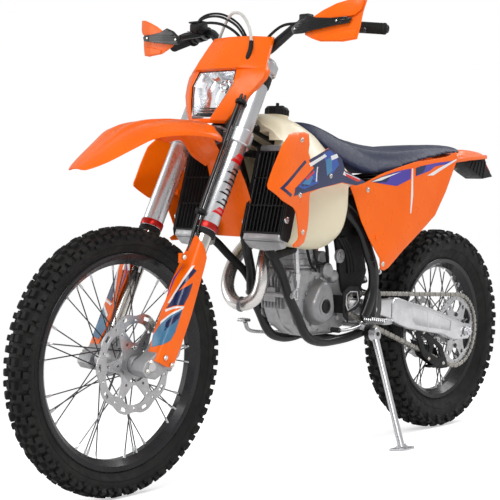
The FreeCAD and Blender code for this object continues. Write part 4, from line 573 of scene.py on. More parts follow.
def grown(mesh, tree, settings):
    # Runs a tree on a mesh, with the inputs set by their sockets' identifiers, and returns a plain mesh.
    holder = helperObject("holder", mesh)
    modifier = holder.modifiers.new("repeat", "NODES")
    modifier.node_group = tree
    sockets = {item.name: item.identifier for item in tree.interface.items_tree
               if item.item_type == "SOCKET" and item.in_out == "INPUT"}
    for label, value in settings.items():
        modifier[sockets[label]] = value
    return evaluated(holder)


def ringOf(mesh, count, centre, axis=(1, 0, 0), first=0.0, whole=math.tau, finish="castSilver"):
    # The element is given about the origin; the copies stand round the axis through centre.
    return grown(mesh, ringGroup, {"Count": count, "Axis": tuple(float(a) for a in axis), "Centre": tuple(centre),
                                   "First Turn": float(first), "Whole Turn": float(whole),
                                   "Finish": finishMaterial(finish)})


def rowOf(mesh, count, step, finish="castSilver"):
    return grown(mesh, rowGroup, {"Count": count, "Step": tuple(float(s) for s in step),
                                  "Finish": finishMaterial(finish)})


def boltMesh(place, axis, radius=5.0, head=5.0, washer=True):
    # A hexagon head with a washer under it.
    turn = aimed(place, axis)
    meshes = []
    low = 0.0
    if washer:
        meshes.append(lathe([(radius * 1.35, -1), (radius * 1.35, 1.2), (radius * 1.2, 1.6)], place, axis, 16))
        low = 1.6
    rings = []
    for r, z in ((radius, -1), (radius, low + head * 0.8), (radius * 0.86, low + head)):
        rings.append([turn @ Vector((*polar(r, math.tau * i / 6), z)) for i in range(6)])
    meshes.append(loft(rings))
    return joined("bolt", meshes)


def screwPiece(name, meshes, body):
    return finishPiece(name, meshes, "polishedSteel", body, sharpDeg=30)


def bolts(name, places, axis, radius, finish, body, head=4.0):
    return finishPiece(name, [boltMesh(p, axis, radius, head) for p in places], finish, body, sharpDeg=30)


def nearOn(spot, start, end):
    share = (spot - start).dot(end - start) / max(1e-9, (end - start).length_squared)
    return start.lerp(end, min(1, max(0, share)))


def skinPanel(outline, surface, thickness, cell=16.0, lift=0.0, bevel=0.0):
    # A panel cut to an outline: the outline lies in (u, v), surface(u, v) gives the place and inward way.
    corners = [Vector(p) for p in outline]
    sides = list(zip(corners, corners[1:] + corners[:1]))
    spots = []
    for start, end in sides:
        parts = max(1, math.ceil((end - start).length / cell))
        spots += [start.lerp(end, k / parts) for k in range(parts)]
    rimCount = len(spots)
    clear = cell * 0.45  # how far the inner points keep from the outline
    lowU, lowV = min(p.x for p in corners), min(p.y for p in corners)
    highU, highV = max(p.x for p in corners), max(p.y for p in corners)
    for row in range(int((highV - lowV) / cell) + 1):
        for column in range(int((highU - lowU) / cell) + 1):
            spot = Vector((lowU + (column + 0.5 * (row % 2)) * cell, lowV + (row + 0.5) * cell))
            inside = False
            for start, end in sides:
                if (start.y > spot.y) != (end.y > spot.y):
                    if spot.x < start.x + (end.x - start.x) * (spot.y - start.y) / (end.y - start.y):
                        inside = not inside
            if inside and all((spot - nearOn(spot, start, end)).length > clear for start, end in sides):
                spots.append(spot)
    rimLoop = [(k, (k + 1) % rimCount) for k in range(rimCount)]
    places, _, faces = delaunay_2d_cdt(spots, rimLoop, [], 1, 1e-4)[:3]
    # The front side and the back side are placed apart, so the sheet keeps its thickness along the inward way.
    count = len(places)
    front, back = [], []
    for spot in places:
        place, inward = surface(spot.x, spot.y)
        front.append(place - inward * lift)
        back.append(place + inward * (thickness - lift))
    faces = [tuple(f) for f in faces]
    edgeUse = {}
    for loop in faces:
        for a, b in zip(loop, loop[1:] + loop[:1]):
            edgeUse[(a, b)] = edgeUse.get((a, b), 0) + 1
    rim = [(a, b) for a, b in edgeUse if (b, a) not in edgeUse]
    sheet = [tuple(loop) for loop in faces] + [tuple(i + count for i in reversed(loop)) for loop in faces]
    sheet += [(b, a, a + count, b + count) for a, b in rim]
    result = meshFrom("panel", front + back, sheet)
    edges = {frozenset((a + side, b + side)) for a, b in rim for side in (0, count)}
    weight = result.attributes.new("bevel_weight_edge", "FLOAT", "EDGE")
    for edge in result.edges:
        weight.data[edge.index].value = 1.0 if frozenset(edge.vertices) in edges else 0.0
    result = tidied(result, 0.001)
    edging = {"width": bevel, "segments": 2, "limit_method": "WEIGHT"}
    return bakedMesh(result, [("BEVEL", edging)]) if bevel else result


def movedAll(meshes, matrix):
    return [movedMesh(mesh, matrix) for mesh in meshes]


def withMirror(meshes):
    return meshes + movedAll(meshes, mirrorSide)


def bothSides(*meshes):
    return [m for mesh in meshes for m in (mesh, movedMesh(mesh, mirrorSide))]


def softRing(points, steps=4):
    # A closed ring rounded by Catmull-Rom through its points.
    points = [Vector(p) for p in points]
    count = len(points)
    ring = []
    for i in range(count):
        p0, p1, p2, p3 = (points[(i + k) % count] for k in (-1, 0, 1, 2))
        for s in range(steps):
            t = s / steps
            ring.append(0.5 * ((2 * p1) + (p2 - p0) * t + (2 * p0 - 5 * p1 + 4 * p2 - p3) * t ** 2
                               + (3 * p1 - p0 - 3 * p2 + p3) * t ** 3))
    return ring


def between(rings, steps=4):
    # More rings in between, on smooth lines through the given ones.
    lines = [flowing([ring[i] for ring in rings], steps) for i in range(len(rings[0]))]
    return [[line[k] for line in lines] for k in range(len(lines[0]))]


def lerpTable(table, value):
    # Straight lines between (key, values...) rows.
    if value <= table[0][0]:
        return table[0][1:]
    for low, high in zip(table, table[1:]):
        if value <= high[0]:
            t = (value - low[0]) / (high[0] - low[0])
            return tuple(a + (b - a) * t for a, b in zip(low[1:], high[1:]))
    return table[-1][1:]

# The CAD nodes that stay as they are, and the finish of each
keptNodes = {"blackFrame": ["stand_bracket"], "machinedSilver": ["front_axle"]}
for finish, names in keptNodes.items():
    for name in names:
        mesh = nodes[name].data
        material = finishMaterial(finish)
        mesh.materials.clear()
        mesh.materials.append(material)
print("stage: finishes on the CAD nodes")

# Wheels
wheelSizes = {
    "front": {"centre": frontAxle, "bead": 280.0, "half": 26.0, "well": 255.0, "units": 38,
              "section": [(24, 281), (27, 290), (35, 299), (38.5, 310), (38.5, 318), (36, 325), (30, 331),
                          (20, 335.5), (10, 337.6), (0, 338.4)],
              "knobs": [(8.5, 0.0, 13, 19, 10, 1), (22, 0.5, 13, 18, 10.5, 1), (33.5, 0.02, 13, 15, 10.5, 1),
                        (34.5, 0.52, 14, 17, 10, 1), (38, 0.26, 10, 12, 6, 1), (0, 0.52, 9, 12, 9.4, 0)],
              "flange": 36.0, "flangeAt": 30.0, "hubHalf": 70.0, "spoke": 1.7},
    "rear": {"centre": rearAxle, "bead": 242.0, "half": 34.0, "well": 216.0, "units": 32,
             "section": [(31, 243), (35, 254), (50, 270), (57, 287), (57, 302), (52, 314), (42, 322), (28, 326.5),
                         (14, 328.6), (0, 329.4)],
             "knobs": [(13, 0.0, 20, 22, 12, 1), (0, 0.5, 17, 22, 12, 0), (31, 0.5, 17, 23, 12, 1),
                       (44, 0.0, 17, 22, 12.5, 1), (50, 0.5, 15, 20, 12, 1), (57, 0.24, 10, 14, 5, 1)],
             "flange": 44.0, "flangeAt": 32.0, "hubHalf": 78.0, "spoke": 2.0},
}


def sectionPoint(section, x):
    # Radius and outward tilt of the tyre's carcass at that distance from its middle.
    for (x1, r1), (x0, r0) in zip(section, section[1:]):
        if x0 <= x <= x1 and r1 >= section[0][1] and x1 <= max(s[0] for s in section):
            share = (x - x0) / max(x1 - x0, 1e-6)
            last = r0 + (r1 - r0) * share
            tilt = math.atan2(r0 - r1, max(x1 - x0, 1e-6))
            if r1 > section[4][1] - 1:
                return last, tilt
    return section[4][1], math.radians(78)


def knobMesh(x, radius, tilt, wide, long, tall):
    # A tapered rubber block with a worn edge, at the top of the wheel.
    turn = Matrix.Translation((x, 0, radius)) @ Matrix.Rotation(tilt, 4, "Y")
    rings = []
    for share, height in ((1.18, -3.0), (1.0, tall * 0.35), (0.94, tall * 0.9), (0.82, tall)):
        half, run = wide / 2 * share, long / 2 * share
        corner = min(half, run) * 0.22
        ring = []
        for sx, sy in ((1, 1), (-1, 1), (-1, -1), (1, -1)):
            first, second = (half * sx, (run - corner) * sy), ((half - corner) * sx, run * sy)
            ring += [first, second] if sx * sy > 0 else [second, first]
        rings.append([turn @ Vector((u, v, height)) for u, v in ring])
    return tidied(loft(rings))


def makeTyre(name, spec, body, node):
    section = spec["section"]
    profile = [(r, x) for x, r in section] + [(r, -x) for x, r in reversed(section[:-1])]
    inner = [(spec["bead"] - 1, -section[0][0] + 4), (spec["bead"] + 8, -8), (spec["bead"] + 8, 8),
             (spec["bead"] - 1, section[0][0] - 4)]
    meshes = [smoothed(lathe(profile + inner, (0, 0, 0), (1, 0, 0), 96, closed=True), 1)]
    # Two thin ribs run round each wall.
    for side in (-1, 1):
        for radius, x in ((section[1][1] + 4, section[1][0] + 2.5), (section[2][1] + 3, section[2][0] + 1.2)):
            rib = [(radius - 1.4, side * (x - 1.5)), (radius, side * (x + 0.9)), (radius + 1.4, side * (x - 0.5))]
            meshes.append(lathe(rib, (0, 0, 0), (1, 0, 0), 96, closed=True))
    for x, phase, wide, long, tall, both in spec["knobs"]:
        radius, tilt = sectionPoint(section, x)
        for side in ((-1, 1) if both else (1,)):
            element = knobMesh(side * x, radius, side * tilt, wide, long, tall)
            step = math.tau / spec["units"]
            meshes.append(ringOf(element, spec["units"], (0, 0, 0), first=step * phase, finish="tyreRubber"))
    place = Matrix.Translation(spec["centre"])
    finishPiece(name, movedAll(meshes, place), "tyreRubber", body, [node], sharpDeg=32)


def makeRim(name, spec, body, node):
    half, bead, well = spec["half"], spec["bead"], spec["well"]
    outer = [(bead, half), (bead + 1.5, half - 1.5), (bead - 3, half - 4), (bead - 10, half - 6),
             (well + 8, half * 0.5), (well, half * 0.28), (well, 0)]
    inner = [(well - 4, 0), (well - 4, half * 0.3), (well + 3, half * 0.58), (bead - 14, half - 2.5),
             (bead - 6, half), (bead - 2, half + 1)]
    profile = [(r, x) for r, x in inner] + outer[:-1]
    loop = profile + [(r, -x) for r, x in reversed(outer[:-1])] + [(r, -x) for r, x in reversed(inner[1:])]
    rim = lathe(loop, (0, 0, 0), (1, 0, 0), 112, closed=True)
    place = Matrix.Translation(spec["centre"])
    finishPiece(name, movedMesh(rim, place), "blackRim", body, [node], sharpDeg=28)


# Spokes: two leads on each side of the hub, crossed, with a nipple at the rim
spokeSizes = {
    "count": 9, "hubTurnDeg": 52, "rimTurnDeg": 5, "hubApart": 2.2, "rimApart": 5.5, "elbow": 5, "reach": 0.03,
    "sideTurnDeg": 10, "leadTurnDeg": 20, "nipple": [(2.2, -19), (3.1, -18), (3.3, -4), (3.9, -3), (3.9, 2)],
}


def spokeMeshes(spec):
    s = spokeSizes
    spokes, nipples = [], []
    for side in (-1, 1):
        for lead in (-1, 1):
            hubTurn = math.radians(lead * s["hubTurnDeg"])
            rimTurn = math.radians(lead * s["rimTurnDeg"])
            hub = Vector((side * (spec["flangeAt"] + lead * s["hubApart"]), spec["flange"] * math.sin(hubTurn),
                          spec["flange"] * math.cos(hubTurn)))
            rimRadius = spec["well"] - 1
            rim = Vector((side * s["rimApart"], rimRadius * math.sin(rimTurn), rimRadius * math.cos(rimTurn)))
            elbow = hub - Vector((side * lead * s["elbow"], 0, 0))
            reach = hub + (rim - hub) * s["reach"]
            spoke = sweep([elbow, hub, reach, rim], spec["spoke"], 6)
            nipple = lathe(s["nipple"], rim, (rim - hub).normalized(), 8)
            first = (math.radians(0 if side > 0 else s["sideTurnDeg"])
                     + math.radians(0 if lead > 0 else s["leadTurnDeg"]))
            spokes.append(ringOf(spoke, s["count"], (0, 0, 0), first=first, finish="spokeSteel"))
            nipples.append(ringOf(nipple, s["count"], (0, 0, 0), first=first, finish="spokeSteel"))
    return spokes, nipples


def makeHub(name, spec, body, node):
    half, flange, where = spec["hubHalf"], spec["flange"], spec["flangeAt"]
    profile = [(13.2, -half), (19, -half), (22, -half + 2), (24, -where - 6), (flange - 6, -where - 4.5),
               (flange + 4, -where - 2.5), (flange + 5, -where), (flange + 3, -where + 2.5), (flange - 8, -where + 6),
               (21, -where + 16), (18.5, 0), (21, where - 16), (flange - 8, where - 6), (flange + 3, where - 2.5),
               (flange + 5, where), (flange + 4, where + 2.5), (flange - 6, where + 4.5), (24, where + 6),
               (22, half - 2), (19, half), (13.2, half)]
    hub = lathe(profile, (0, 0, 0), (1, 0, 0), 48, closed=True)
    spokes, nipples = spokeMeshes(spec)
    rivet = lathe([(2.8, -0.5), (2.8, 1.0), (1.2, 1.8)], (where + 2.6, 0, flange - 1), (1, 0, 0), 8)
    rivets = ringOf(rivet, 18, (0, 0, 0), finish="castSilver")
    place = Matrix.Translation(spec["centre"])
    finishPiece(name, movedAll([hub, rivets], place), "castSilver", body, [node], sharpDeg=30)
    finishPiece(name + "Spokes", movedAll(spokes, place), "spokeSteel", body, sharpDeg=40)
    finishPiece(name + "Nipples", movedAll(nipples, place), "machinedSilver", body, sharpDeg=30)


def waveLoop(radius, depth, lobes, count):
    loop = []
    for i in range(count):
        turn = math.tau * i / count
        wave = 0.5 + 0.5 * math.cos(lobes * turn)
        loop.append(polar(radius - depth * (1 - wave) ** 1.4, turn))
    return loop


def arcWindow(low, high, middle, halfTurn, count=8, pull=0.0):
    # A window between two radii, its corners cut.
    loop = []
    for i in range(count + 1):
        turn = middle - halfTurn + 2 * halfTurn * i / count
        edge = abs(2 * i / count - 1)
        radius = high - pull * edge ** 3
        loop.append(polar(radius, turn))
    for i in range(count + 1):
        turn = middle + (halfTurn - 2 * halfTurn * i / count) * low / high * 1.1
        edge = abs(2 * i / count - 1)
        radius = low + pull * edge ** 3
        loop.append(polar(radius, turn))
    return loop


def makeDisc(name, centre, left, radius, lobes, arms, thick, body, node, bore, finish="discSteel"):
    loops = [waveLoop(radius, radius * 0.055, lobes, lobes * 14)]
    ringIn = radius * 0.80
    for arm in range(arms):
        middle = math.tau * (arm + 0.5) / arms
        loops.append(arcWindow(bore + 8, ringIn, middle, math.pi / arms * 0.80, 12, 9))
    for lobe in range(lobes):
        middle = math.tau * lobe / lobes
        loops.append(arcWindow(radius * 0.87, radius * 0.945, middle, 0.075, 3))
        middle += math.pi / lobes
        loops.append(circleLoop(*polar(radius * 0.862, middle), 3.6, 12))
    for arm in range(arms):
        middle = math.tau * arm / arms
        loops.append(circleLoop(*polar(radius * 0.70, middle), 4.2, 12))
    loops.append(circleLoop(0, 0, bore, 40))
    turn = aimed(Vector(centre) + Vector((left, 0, 0)), (1, 0, 0))
    disc = plate(loops, thick, turn, 0.35)
    finishPiece(name, disc, finish, body, [node], sharpDeg=30)


def makeCarrier(name, centre, left, arms, reach, bore, thick, body, outwards):
    # The star that carries the disc, with a bolt at the tip of each arm.
    loop = []
    count = arms * 12
    for i in range(count):
        turn = math.tau * i / count
        star = (0.5 + 0.5 * math.cos(arms * turn)) ** 2
        radius = bore + 12 + (reach - bore - 12) * star
        loop.append(polar(radius, turn))
    where = Vector(centre) + Vector((left, 0, 0))
    star = plate([loop, circleLoop(0, 0, bore, 36)], thick, aimed(where, (1, 0, 0)), 0.8)
    turn = aimed((0, 0, 0), (1, 0, 0))
    tip = turn @ Vector((reach - 7, 0, 0))
    face = Vector((outwards * thick / 2, 0, 0))
    bolt = boltMesh(tip + face, (outwards, 0, 0), 4.6, 3.2)
    ringBolts = movedMesh(ringOf(bolt, arms, (0, 0, 0), finish="spokeSteel"), Matrix.Translation(where))
    finishPiece(name, star, "castSilver", body, sharpDeg=30)
    finishPiece(name + "Bolts", ringBolts, "spokeSteel", body, sharpDeg=30)


for end in ("front", "rear"):
    spec = wheelSizes[end]
    makeTyre(end + "Tyre", spec, end + "_wheel", end + "_tyre")
    makeRim(end + "Rim", spec, end + "_wheel", end + "_rim")
    makeHub(end + "Hub", spec, end + "_wheel", end + "_hub")
print("stage: tyres, rims, hubs and spokes")

makeDisc("frontDisc", frontAxle, 60, 130, 10, 6, 4, "front_wheel", "front_disc", 46)
makeCarrier("frontDiscCarrier", frontAxle, 54.5, 6, 66, 24, 6, "front_wheel", 1)
makeDisc("rearDisc", rearAxle, -60, 110, 8, 4, 4, "rear_wheel", "rear_disc", 44)
makeCarrier("rearDiscCarrier", rearAxle, -54.5, 4, 62, 24, 6, "rear_wheel", -1)

# Final drive
driveSizes = {"pitch": 15.875, "rearTeeth": 48, "frontTeeth": 13, "left": 88.0, "shaft": (597.0, 462.0),
              "innerHalf": 5.2, "outerHalf": 7.6, "plate": 1.9, "plateTall": 6.9}


def pitchRadius(teeth):
    return driveSizes["pitch"] / 2 / math.sin(math.pi / teeth)


def chainStations():
    # Points one pitch apart round both sprockets, as (forward, up).
    rear, front = Vector((0, bikeSizes["rearAxleUp"])), Vector(driveSizes["shaft"])
    big, small = pitchRadius(driveSizes["rearTeeth"]), pitchRadius(driveSizes["frontTeeth"])
    line = front - rear
    slope = math.atan2(line.y, line.x)
    lift = math.acos((big - small) / line.length)
    path = []
    for centre, radius, start, end in ((rear, big, slope + lift, slope + math.tau - lift),
                                       (front, small, slope - lift, slope + lift)):
        for i in range(241):
            turn = start + (end - start) * i / 240
            path.append(centre + Vector((math.cos(turn), math.sin(turn))) * radius)
    path.append(path[0].copy())
    total = sum((b - a).length for a, b in zip(path, path[1:]))
    count = 2 * round(total / driveSizes["pitch"] / 2)
    stations, walked, target = [], 0.0, 0.0
    for a, b in zip(path, path[1:]):
        length = (b - a).length
        while length > 0 and target <= walked + length and len(stations) < count:
            stations.append(a + (b - a) * ((target - walked) / length))
            target += total / count
        walked += length
    return stations


def linkMesh(half, waist):
    # A pair of link plates, one pitch long.
    pitch, tall = driveSizes["pitch"], driveSizes["plateTall"]
    loop = []
    for centre, start in ((pitch / 2, -math.pi / 2), (-pitch / 2, math.pi / 2)):
        for i in range(9):
            turn = start + math.pi * i / 8
            loop.append((centre + tall * math.cos(turn), tall * math.sin(turn)))
        loop.append((0, waist if centre > 0 else -waist))
    meshes = []
    for side in (-1, 1):
        turn = Matrix.Translation((side * half, 0, 0)) @ axesMatrix((0, 1, 0), (0, 0, 1), (1, 0, 0))
        meshes.append(plate([loop], driveSizes["plate"], turn, 0.3))
    return meshes


def onTurnedPoints(tree, start):
    element = addNode(tree, "GeometryNodeObjectInfo", {"Object": start["Element"]})
    turn = addNode(tree, "GeometryNodeInputNamedAttribute", {"Name": "turn"}, data_type="FLOAT")
    rotation = addNode(tree, "FunctionNodeAxisAngleToRotation",
                       {"Axis": (1, 0, 0), "Angle": turn.outputs["Attribute"]})
    return {"Points": start["Geometry"], "Instance": element.outputs["Geometry"],
            "Rotation": rotation.outputs["Rotation"]}


chainGroup = repeatTree("linksOnPoints", [("Element", "Object")], onTurnedPoints)


def onPoints(places, turns, element, finish):
    points = meshFrom("points", places, [])
    turned = points.attributes.new("turn", "FLOAT", "POINT")
    for item, value in zip(turned.data, turns):
        item.value = value
    holder = bpy.data.objects.new("element", element)
    result = grown(points, chainGroup, {"Element": holder, "Finish": finishMaterial(finish)})
    bpy.data.objects.remove(holder)
    return result


def makeChain():
    stations = chainStations()
    count = len(stations)
    left = driveSizes["left"]
    outer, inner, rollers = [], [], []
    for i in range(count):
        a, b = stations[i], stations[(i + 1) % count]
        middle, run = (a + b) / 2, b - a
        # The element's long side is local y, which points to the back.
        turn = math.atan2(run.y, -run.x)
        (outer if i % 2 else inner).append((at(left, middle.x, middle.y), turn))
        rollers.append((at(left, a.x, a.y), turn))
    outerMesh = joined("outer", linkMesh(driveSizes["outerHalf"], 4.6))
    innerMesh = joined("inner", linkMesh(driveSizes["innerHalf"], 4.6))
    pin = lathe([(2.2, -9.6), (2.9, -9.0), (2.9, 9.0), (2.2, 9.6)], (0, 0, 0), (1, 0, 0), 8)
    roller = lathe([(4.6, -4.2), (5.0, -3.8), (5.0, 3.8), (4.6, 4.2)], (0, 0, 0), (1, 0, 0), 10)
    meshes = []
    for group, element in ((outer, outerMesh), (inner, innerMesh), (rollers, joined("pins", [pin, roller]))):
        meshes.append(onPoints([p for p, _ in group], [t for _, t in group], element, "chainSteel"))
    finishPiece("driveChain", meshes, "chainSteel", "chassis", ["chain"], sharpDeg=30)


def toothLoop(teeth, phase=0.0):
    radius = pitchRadius(teeth)
    loop = []
    for i in range(teeth):
        for share, out in ((-0.30, -4.6), (-0.22, -3.2), (-0.13, 1.6), (-0.05, 4.2), (0.05, 4.2), (0.13, 1.6),
                           (0.22, -3.2), (0.30, -4.6)):
            turn = math.tau * (i + 0.5 + share) / teeth + phase
            loop.append(polar(radius + out, turn))
    return loop


def makeSprocket():
    radius = pitchRadius(driveSizes["rearTeeth"])
    # The first chain pin stands at the start of the rear arc, so the teeth are turned to suit it.
    first = chainStations()[0] - Vector((0, bikeSizes["rearAxleUp"]))
    centre = rearAxle + Vector((driveSizes["left"], 0, 0))
    turn = Matrix.Translation(centre) @ axesMatrix((0, -1, 0), (0, 0, 1), (1, 0, 0))
    phase = math.atan2(first.y, first.x)
    loops = [toothLoop(driveSizes["rearTeeth"], phase)]
    for arm in range(6):
        middle = math.tau * (arm + 0.5) / 6
        loops.append(arcWindow(60, radius - 19, middle, 0.36, 10, 8))
        loops.append(circleLoop(*polar(radius - 34, middle + math.pi / 6), 7.5, 16))
    for hole in range(24):
        middle = math.tau * hole / 24
        loops.append(circleLoop(*polar(radius - 12.5, middle), 2.6, 8))
    loops.append(circleLoop(0, 0, 38, 40))
    sprocket = plate(loops, 5.4, turn, 0.4)
    finishPiece("rearSprocket", sprocket, "discSteel", "rear_wheel", ["rear_sprocket"], sharpDeg=30)
    carrier = lathe([(23, 36), (44, 36), (46, 40), (46, 60), (50, 66), (60, 80), (62, 84.5), (24, 84.5)], rearAxle,
                    (1, 0, 0), 48, closed=True)
    bolt = boltMesh(Vector((91, 0, 53)), (1, 0, 0), 5.5, 4)
    ring = movedMesh(ringOf(bolt, 6, (0, 0, 0), finish="spokeSteel"), Matrix.Translation(rearAxle))
    finishPiece("sprocketCarrier", carrier, "castSilver", "rear_wheel", sharpDeg=30)
    finishPiece("sprocketBolts", ring, "spokeSteel", "rear_wheel", sharpDeg=30)


makeChain()
makeSprocket()
print("stage: discs, chain and sprocket")


# Fork: outer tubes with generic stripes, wiper seals, clamps
forkSizes = {
    "spread": 102.0, "ahead": 22.0, "outerRadius": 28.8, "innerRadius": 23.8, "outerLow": 381.0, "outerHigh": 916.0,
    "lowerClamp": 671.0, "upperClamp": 890.0, "bandGrow": 8.5, "lowerTall": 44.0, "upperTall": 30.0,
}
steerAxis = (steer(0, 1, 0) - steer(0, 0, 0)).normalized()


def forkPatch(low, high, slant, middleDeg, wideDeg):
    # A thin closed stripe that wraps part of the way round the left tube and climbs as it goes.
    radius = forkSizes["outerRadius"]
    turn = aimed(steer(forkSizes["spread"], 0, forkSizes["ahead"]), steerAxis)
    rows = []
    for lift in (0.3, 0.85):
        for along, shift in ((low, 0), (high, slant)):
            angles = [math.radians(middleDeg + shift + wideDeg * (i / 12 - 0.5)) for i in range(13)]
            rows.append([turn @ Vector((*polar(radius + lift, angle), along)) for angle in angles])
    mesh = tidied(loft([rows[0], rows[1], rows[3], rows[2]], capped=False, closedRing=False, closedRun=True))
    work = bmesh.new()
    work.from_mesh(mesh)
    bmesh.ops.holes_fill(work, edges=work.edges[:], sides=0)
    bmesh.ops.recalc_face_normals(work, faces=work.faces)
    work.to_mesh(mesh)
    work.free()
    return mesh


def makeForkLegs():
    s = forkSizes
    base = steer(s["spread"], 0, s["ahead"])
    r = s["outerRadius"]
    low, high = s["outerLow"], s["outerHigh"]
    tube = lathe([(24.2, low + 8), (r - 1, low + 8), (r, low + 10), (r, high - 12), (r - 1, high - 11),
                  (r - 1, high - 7), (r, high - 6), (r, high - 3), (r - 3, high - 0.5), (19, high - 0.5),
                  (18, high - 3), (24.2, high - 6)],
                 base, steerAxis, 56, closed=True)
    finishPiece("forkOuterTubes", bothSides(tube), "forkSilver", "steering", ("fork_outers",))
    wiper = lathe([(24.1, low), (r + 1.5, low), (r + 2, low + 2), (r + 2, low + 8), (r + 1, low + 12),
                   (r + 0.05, low + 14), (24.1, low + 9)], base, steerAxis, 48, closed=True)
    finishPiece("forkWipers", bothSides(wiper), "blackRubber", "steering")
    ring = lathe([(r + 0.1, low + 15), (r + 2.2, low + 15), (r + 2.6, low + 17), (r + 2.6, low + 30),
                  (r + 1.8, low + 32), (r + 0.1, low + 32)], base, steerAxis, 48, closed=True)
    finishPiece("forkLowerRings", bothSides(ring), "redAnodised", "steering")
    cap = lathe([(0, high - 5), (17.5, high - 5), (17.8, high - 1), (13, high), (6, high), (5, high - 2),
                 (0, high - 2)],
                base, steerAxis, 6)
    finishPiece("forkTopCaps", bothSides(cap), "redAnodised", "steering")
    stanchion = lathe([(0, 60), (s["innerRadius"], 60), (s["innerRadius"], low + 10), (0, low + 10)], base, steerAxis,
                      48)
    finishPiece("forkSlidingTubes", bothSides(stanchion), "polishedSteel", "steering", ("fork_inners",))
    # The axle lug: a cast foot under each tube, with two pinch bolts.
    foot = [(86, 0), (92, 40), (60, 50), (30, 58), (0, 79), (-24, 79), (-32, 60), (-25, 28), (0, 8), (30, -6),
            (60, -24), (90, -20)]
    matrix = axesMatrix((0, 1, 0), (0, 0, 1), (1, 0, 0))
    loop = [steer(0, a, b) for a, b in foot]
    lug = plate([[(p.y, p.z) for p in loop], circleLoop(frontAxle.y, frontAxle.z, 12.9, 28)], 46,
                Matrix.Translation((s["spread"], 0, 0)) @ matrix, 3.0, 3)
    collar = lathe([(0, 52), (27, 52), (28.5, 55), (28.5, 92), (26, 98), (0, 98)], base, steerAxis, 40)
    finishPiece("forkFeet", bothSides(lug, collar), "castSilver", "steering")
    places = [steer(126, a, 66) for a in (-16, 8)] + [steer(-126, a, 66) for a in (-16, 8)]
    screwPiece("forkFootBolts", [boltMesh(p, (1 if p.x > 0 else -1, 0, 0), 5, 4) for p in places], "steering")
    # Generic slanted bars on the left tube, and a red accent above them.
    bars = [forkPatch(470 + 30 * k, 488 + 30 * k, 34, 172, 74) for k in range(4)]
    finishPiece("forkStripes", withMirror(bars), "glossBlack", "steering", sharpDeg=60)
    accents = [forkPatch(594, 622, 30, 172, 74), forkPatch(442, 462, 30, 172, 74)]
    finishPiece("forkAccents", withMirror(accents), "redGraphic", "steering", sharpDeg=60)
    # Triple clamps: two bands and a web at each height, and the stem.
    bands, webs = [], []
    for along, tall in ((s["lowerClamp"], s["lowerTall"]), (s["upperClamp"], s["upperTall"])):
        half = tall / 2
        outer = r + s["bandGrow"]
        bands.append(lathe([(r + 0.4, -half), (outer - 3, -half), (outer, 3 - half), (outer, half - 3),
                            (outer - 3, half), (r + 0.4, half)], base + steerAxis * along, steerAxis, 56,
                           closed=True))
        centre = steer(0, along, 0)
        matrix = aimed(centre, steerAxis, steer(0, 0, 1) - steer(0, 0, 0))
        web = [(-74, s["ahead"] - 26), (-40, -30), (40, -30), (74, s["ahead"] - 26), (78, s["ahead"] + 14), (46, 30),
               (30, 22), (-30, 22), (-46, 30), (-78, s["ahead"] + 14)]
        webs.append(plate([web], tall - 10, matrix, 3.0, 3))
        for side in (-1, 1):
            webs.append(boxMesh((side * 66, s["ahead"] - 31, 0), (16, 12, tall - 4), matrix, 2.5))
    stem = lathe([(0, s["lowerClamp"]), (17, s["lowerClamp"]), (17, s["upperClamp"] + 18), (0, s["upperClamp"] + 18)],
                 steer(0, 0, 0), steerAxis, 32)
    finishPiece("forkClampBands", bothSides(bands[0], bands[1]), "machinedSilver", "steering", ("fork_clamps",))
    finishPiece("forkClampWebs", webs + [stem], "castGrey", "steering")
    pinch = []
    for along, count in ((s["lowerClamp"], 2), (s["upperClamp"], 1)):
        for k in range(count):
            for side in (-1, 1):
                place = steer(side * 75, along + (k - (count - 1) / 2) * 20, s["ahead"] - 31)
                pinch.append(boltMesh(place, (side, 0, 0), 4, 4))
    nut = lathe([(0, 0), (17, 0), (17, 9), (14, 11), (8, 11), (8, 8), (0, 8)], steer(0, s["upperClamp"] + 15, 0),
                steerAxis, 6)
    screwPiece("forkClampBolts", pinch + [nut], "steering")
    # The strap that holds the mask to each tube
    strap = lathe([(r + 0.3, -13), (r + 2.6, -14), (r + 3, 0), (r + 2.6, 14), (r + 0.3, 13)], base + steerAxis * 850,
                  steerAxis, 40, closed=True)
    finishPiece("maskStraps", bothSides(strap), "blackRubber", "steering")


makeForkLegs()

# Fork guards: a side wall that turns round the leg's front, with coloured panels on it
guardSizes = {
    "wall": 3.4, "side": 135.0, "front": 56.0, "corner": 14.0, "skew": 1.15,
    # along the leg, and ahead of it as measured round the corner
    "outline": [(366, 84), (350, 52), (338, 30), (321, 15), (294, 11), (255, 8), (217, 4), (159, -2), (84, -5),
                (32, -5), (20, -2), (15, 20), (15, 107), (53, 104), (90, 112), (130, 113), (186, 112), (225, 116),
                (263, 112), (299, 108), (335, 102), (354, 95)],
}


def guardPlace(along, round):
    s = guardSizes
    start, end = s["front"] - s["corner"], s["front"] + s["skew"] * s["corner"]
    bulge = 3 * math.sin(math.pi * min(1, max(0, (along - 15) / 350)))
    if round <= start:
        return steer(s["side"] + bulge, along, round), Vector((-1, 0, 0))
    ahead = (steer(0, 0, 1) - steer(0, 0, 0)).normalized()
    if round <= end:
        turn = math.pi / 2 * (round - start) / (end - start)
        x = s["side"] + bulge * math.cos(turn) - s["corner"] * (1 - math.cos(turn))
        return (steer(x, along, start + s["corner"] * math.sin(turn)),
                (Vector((-math.cos(turn), 0, 0)) - ahead * math.sin(turn)).normalized())
    return steer(s["side"] - (round - s["front"]) / s["skew"], along, s["front"]), -ahead


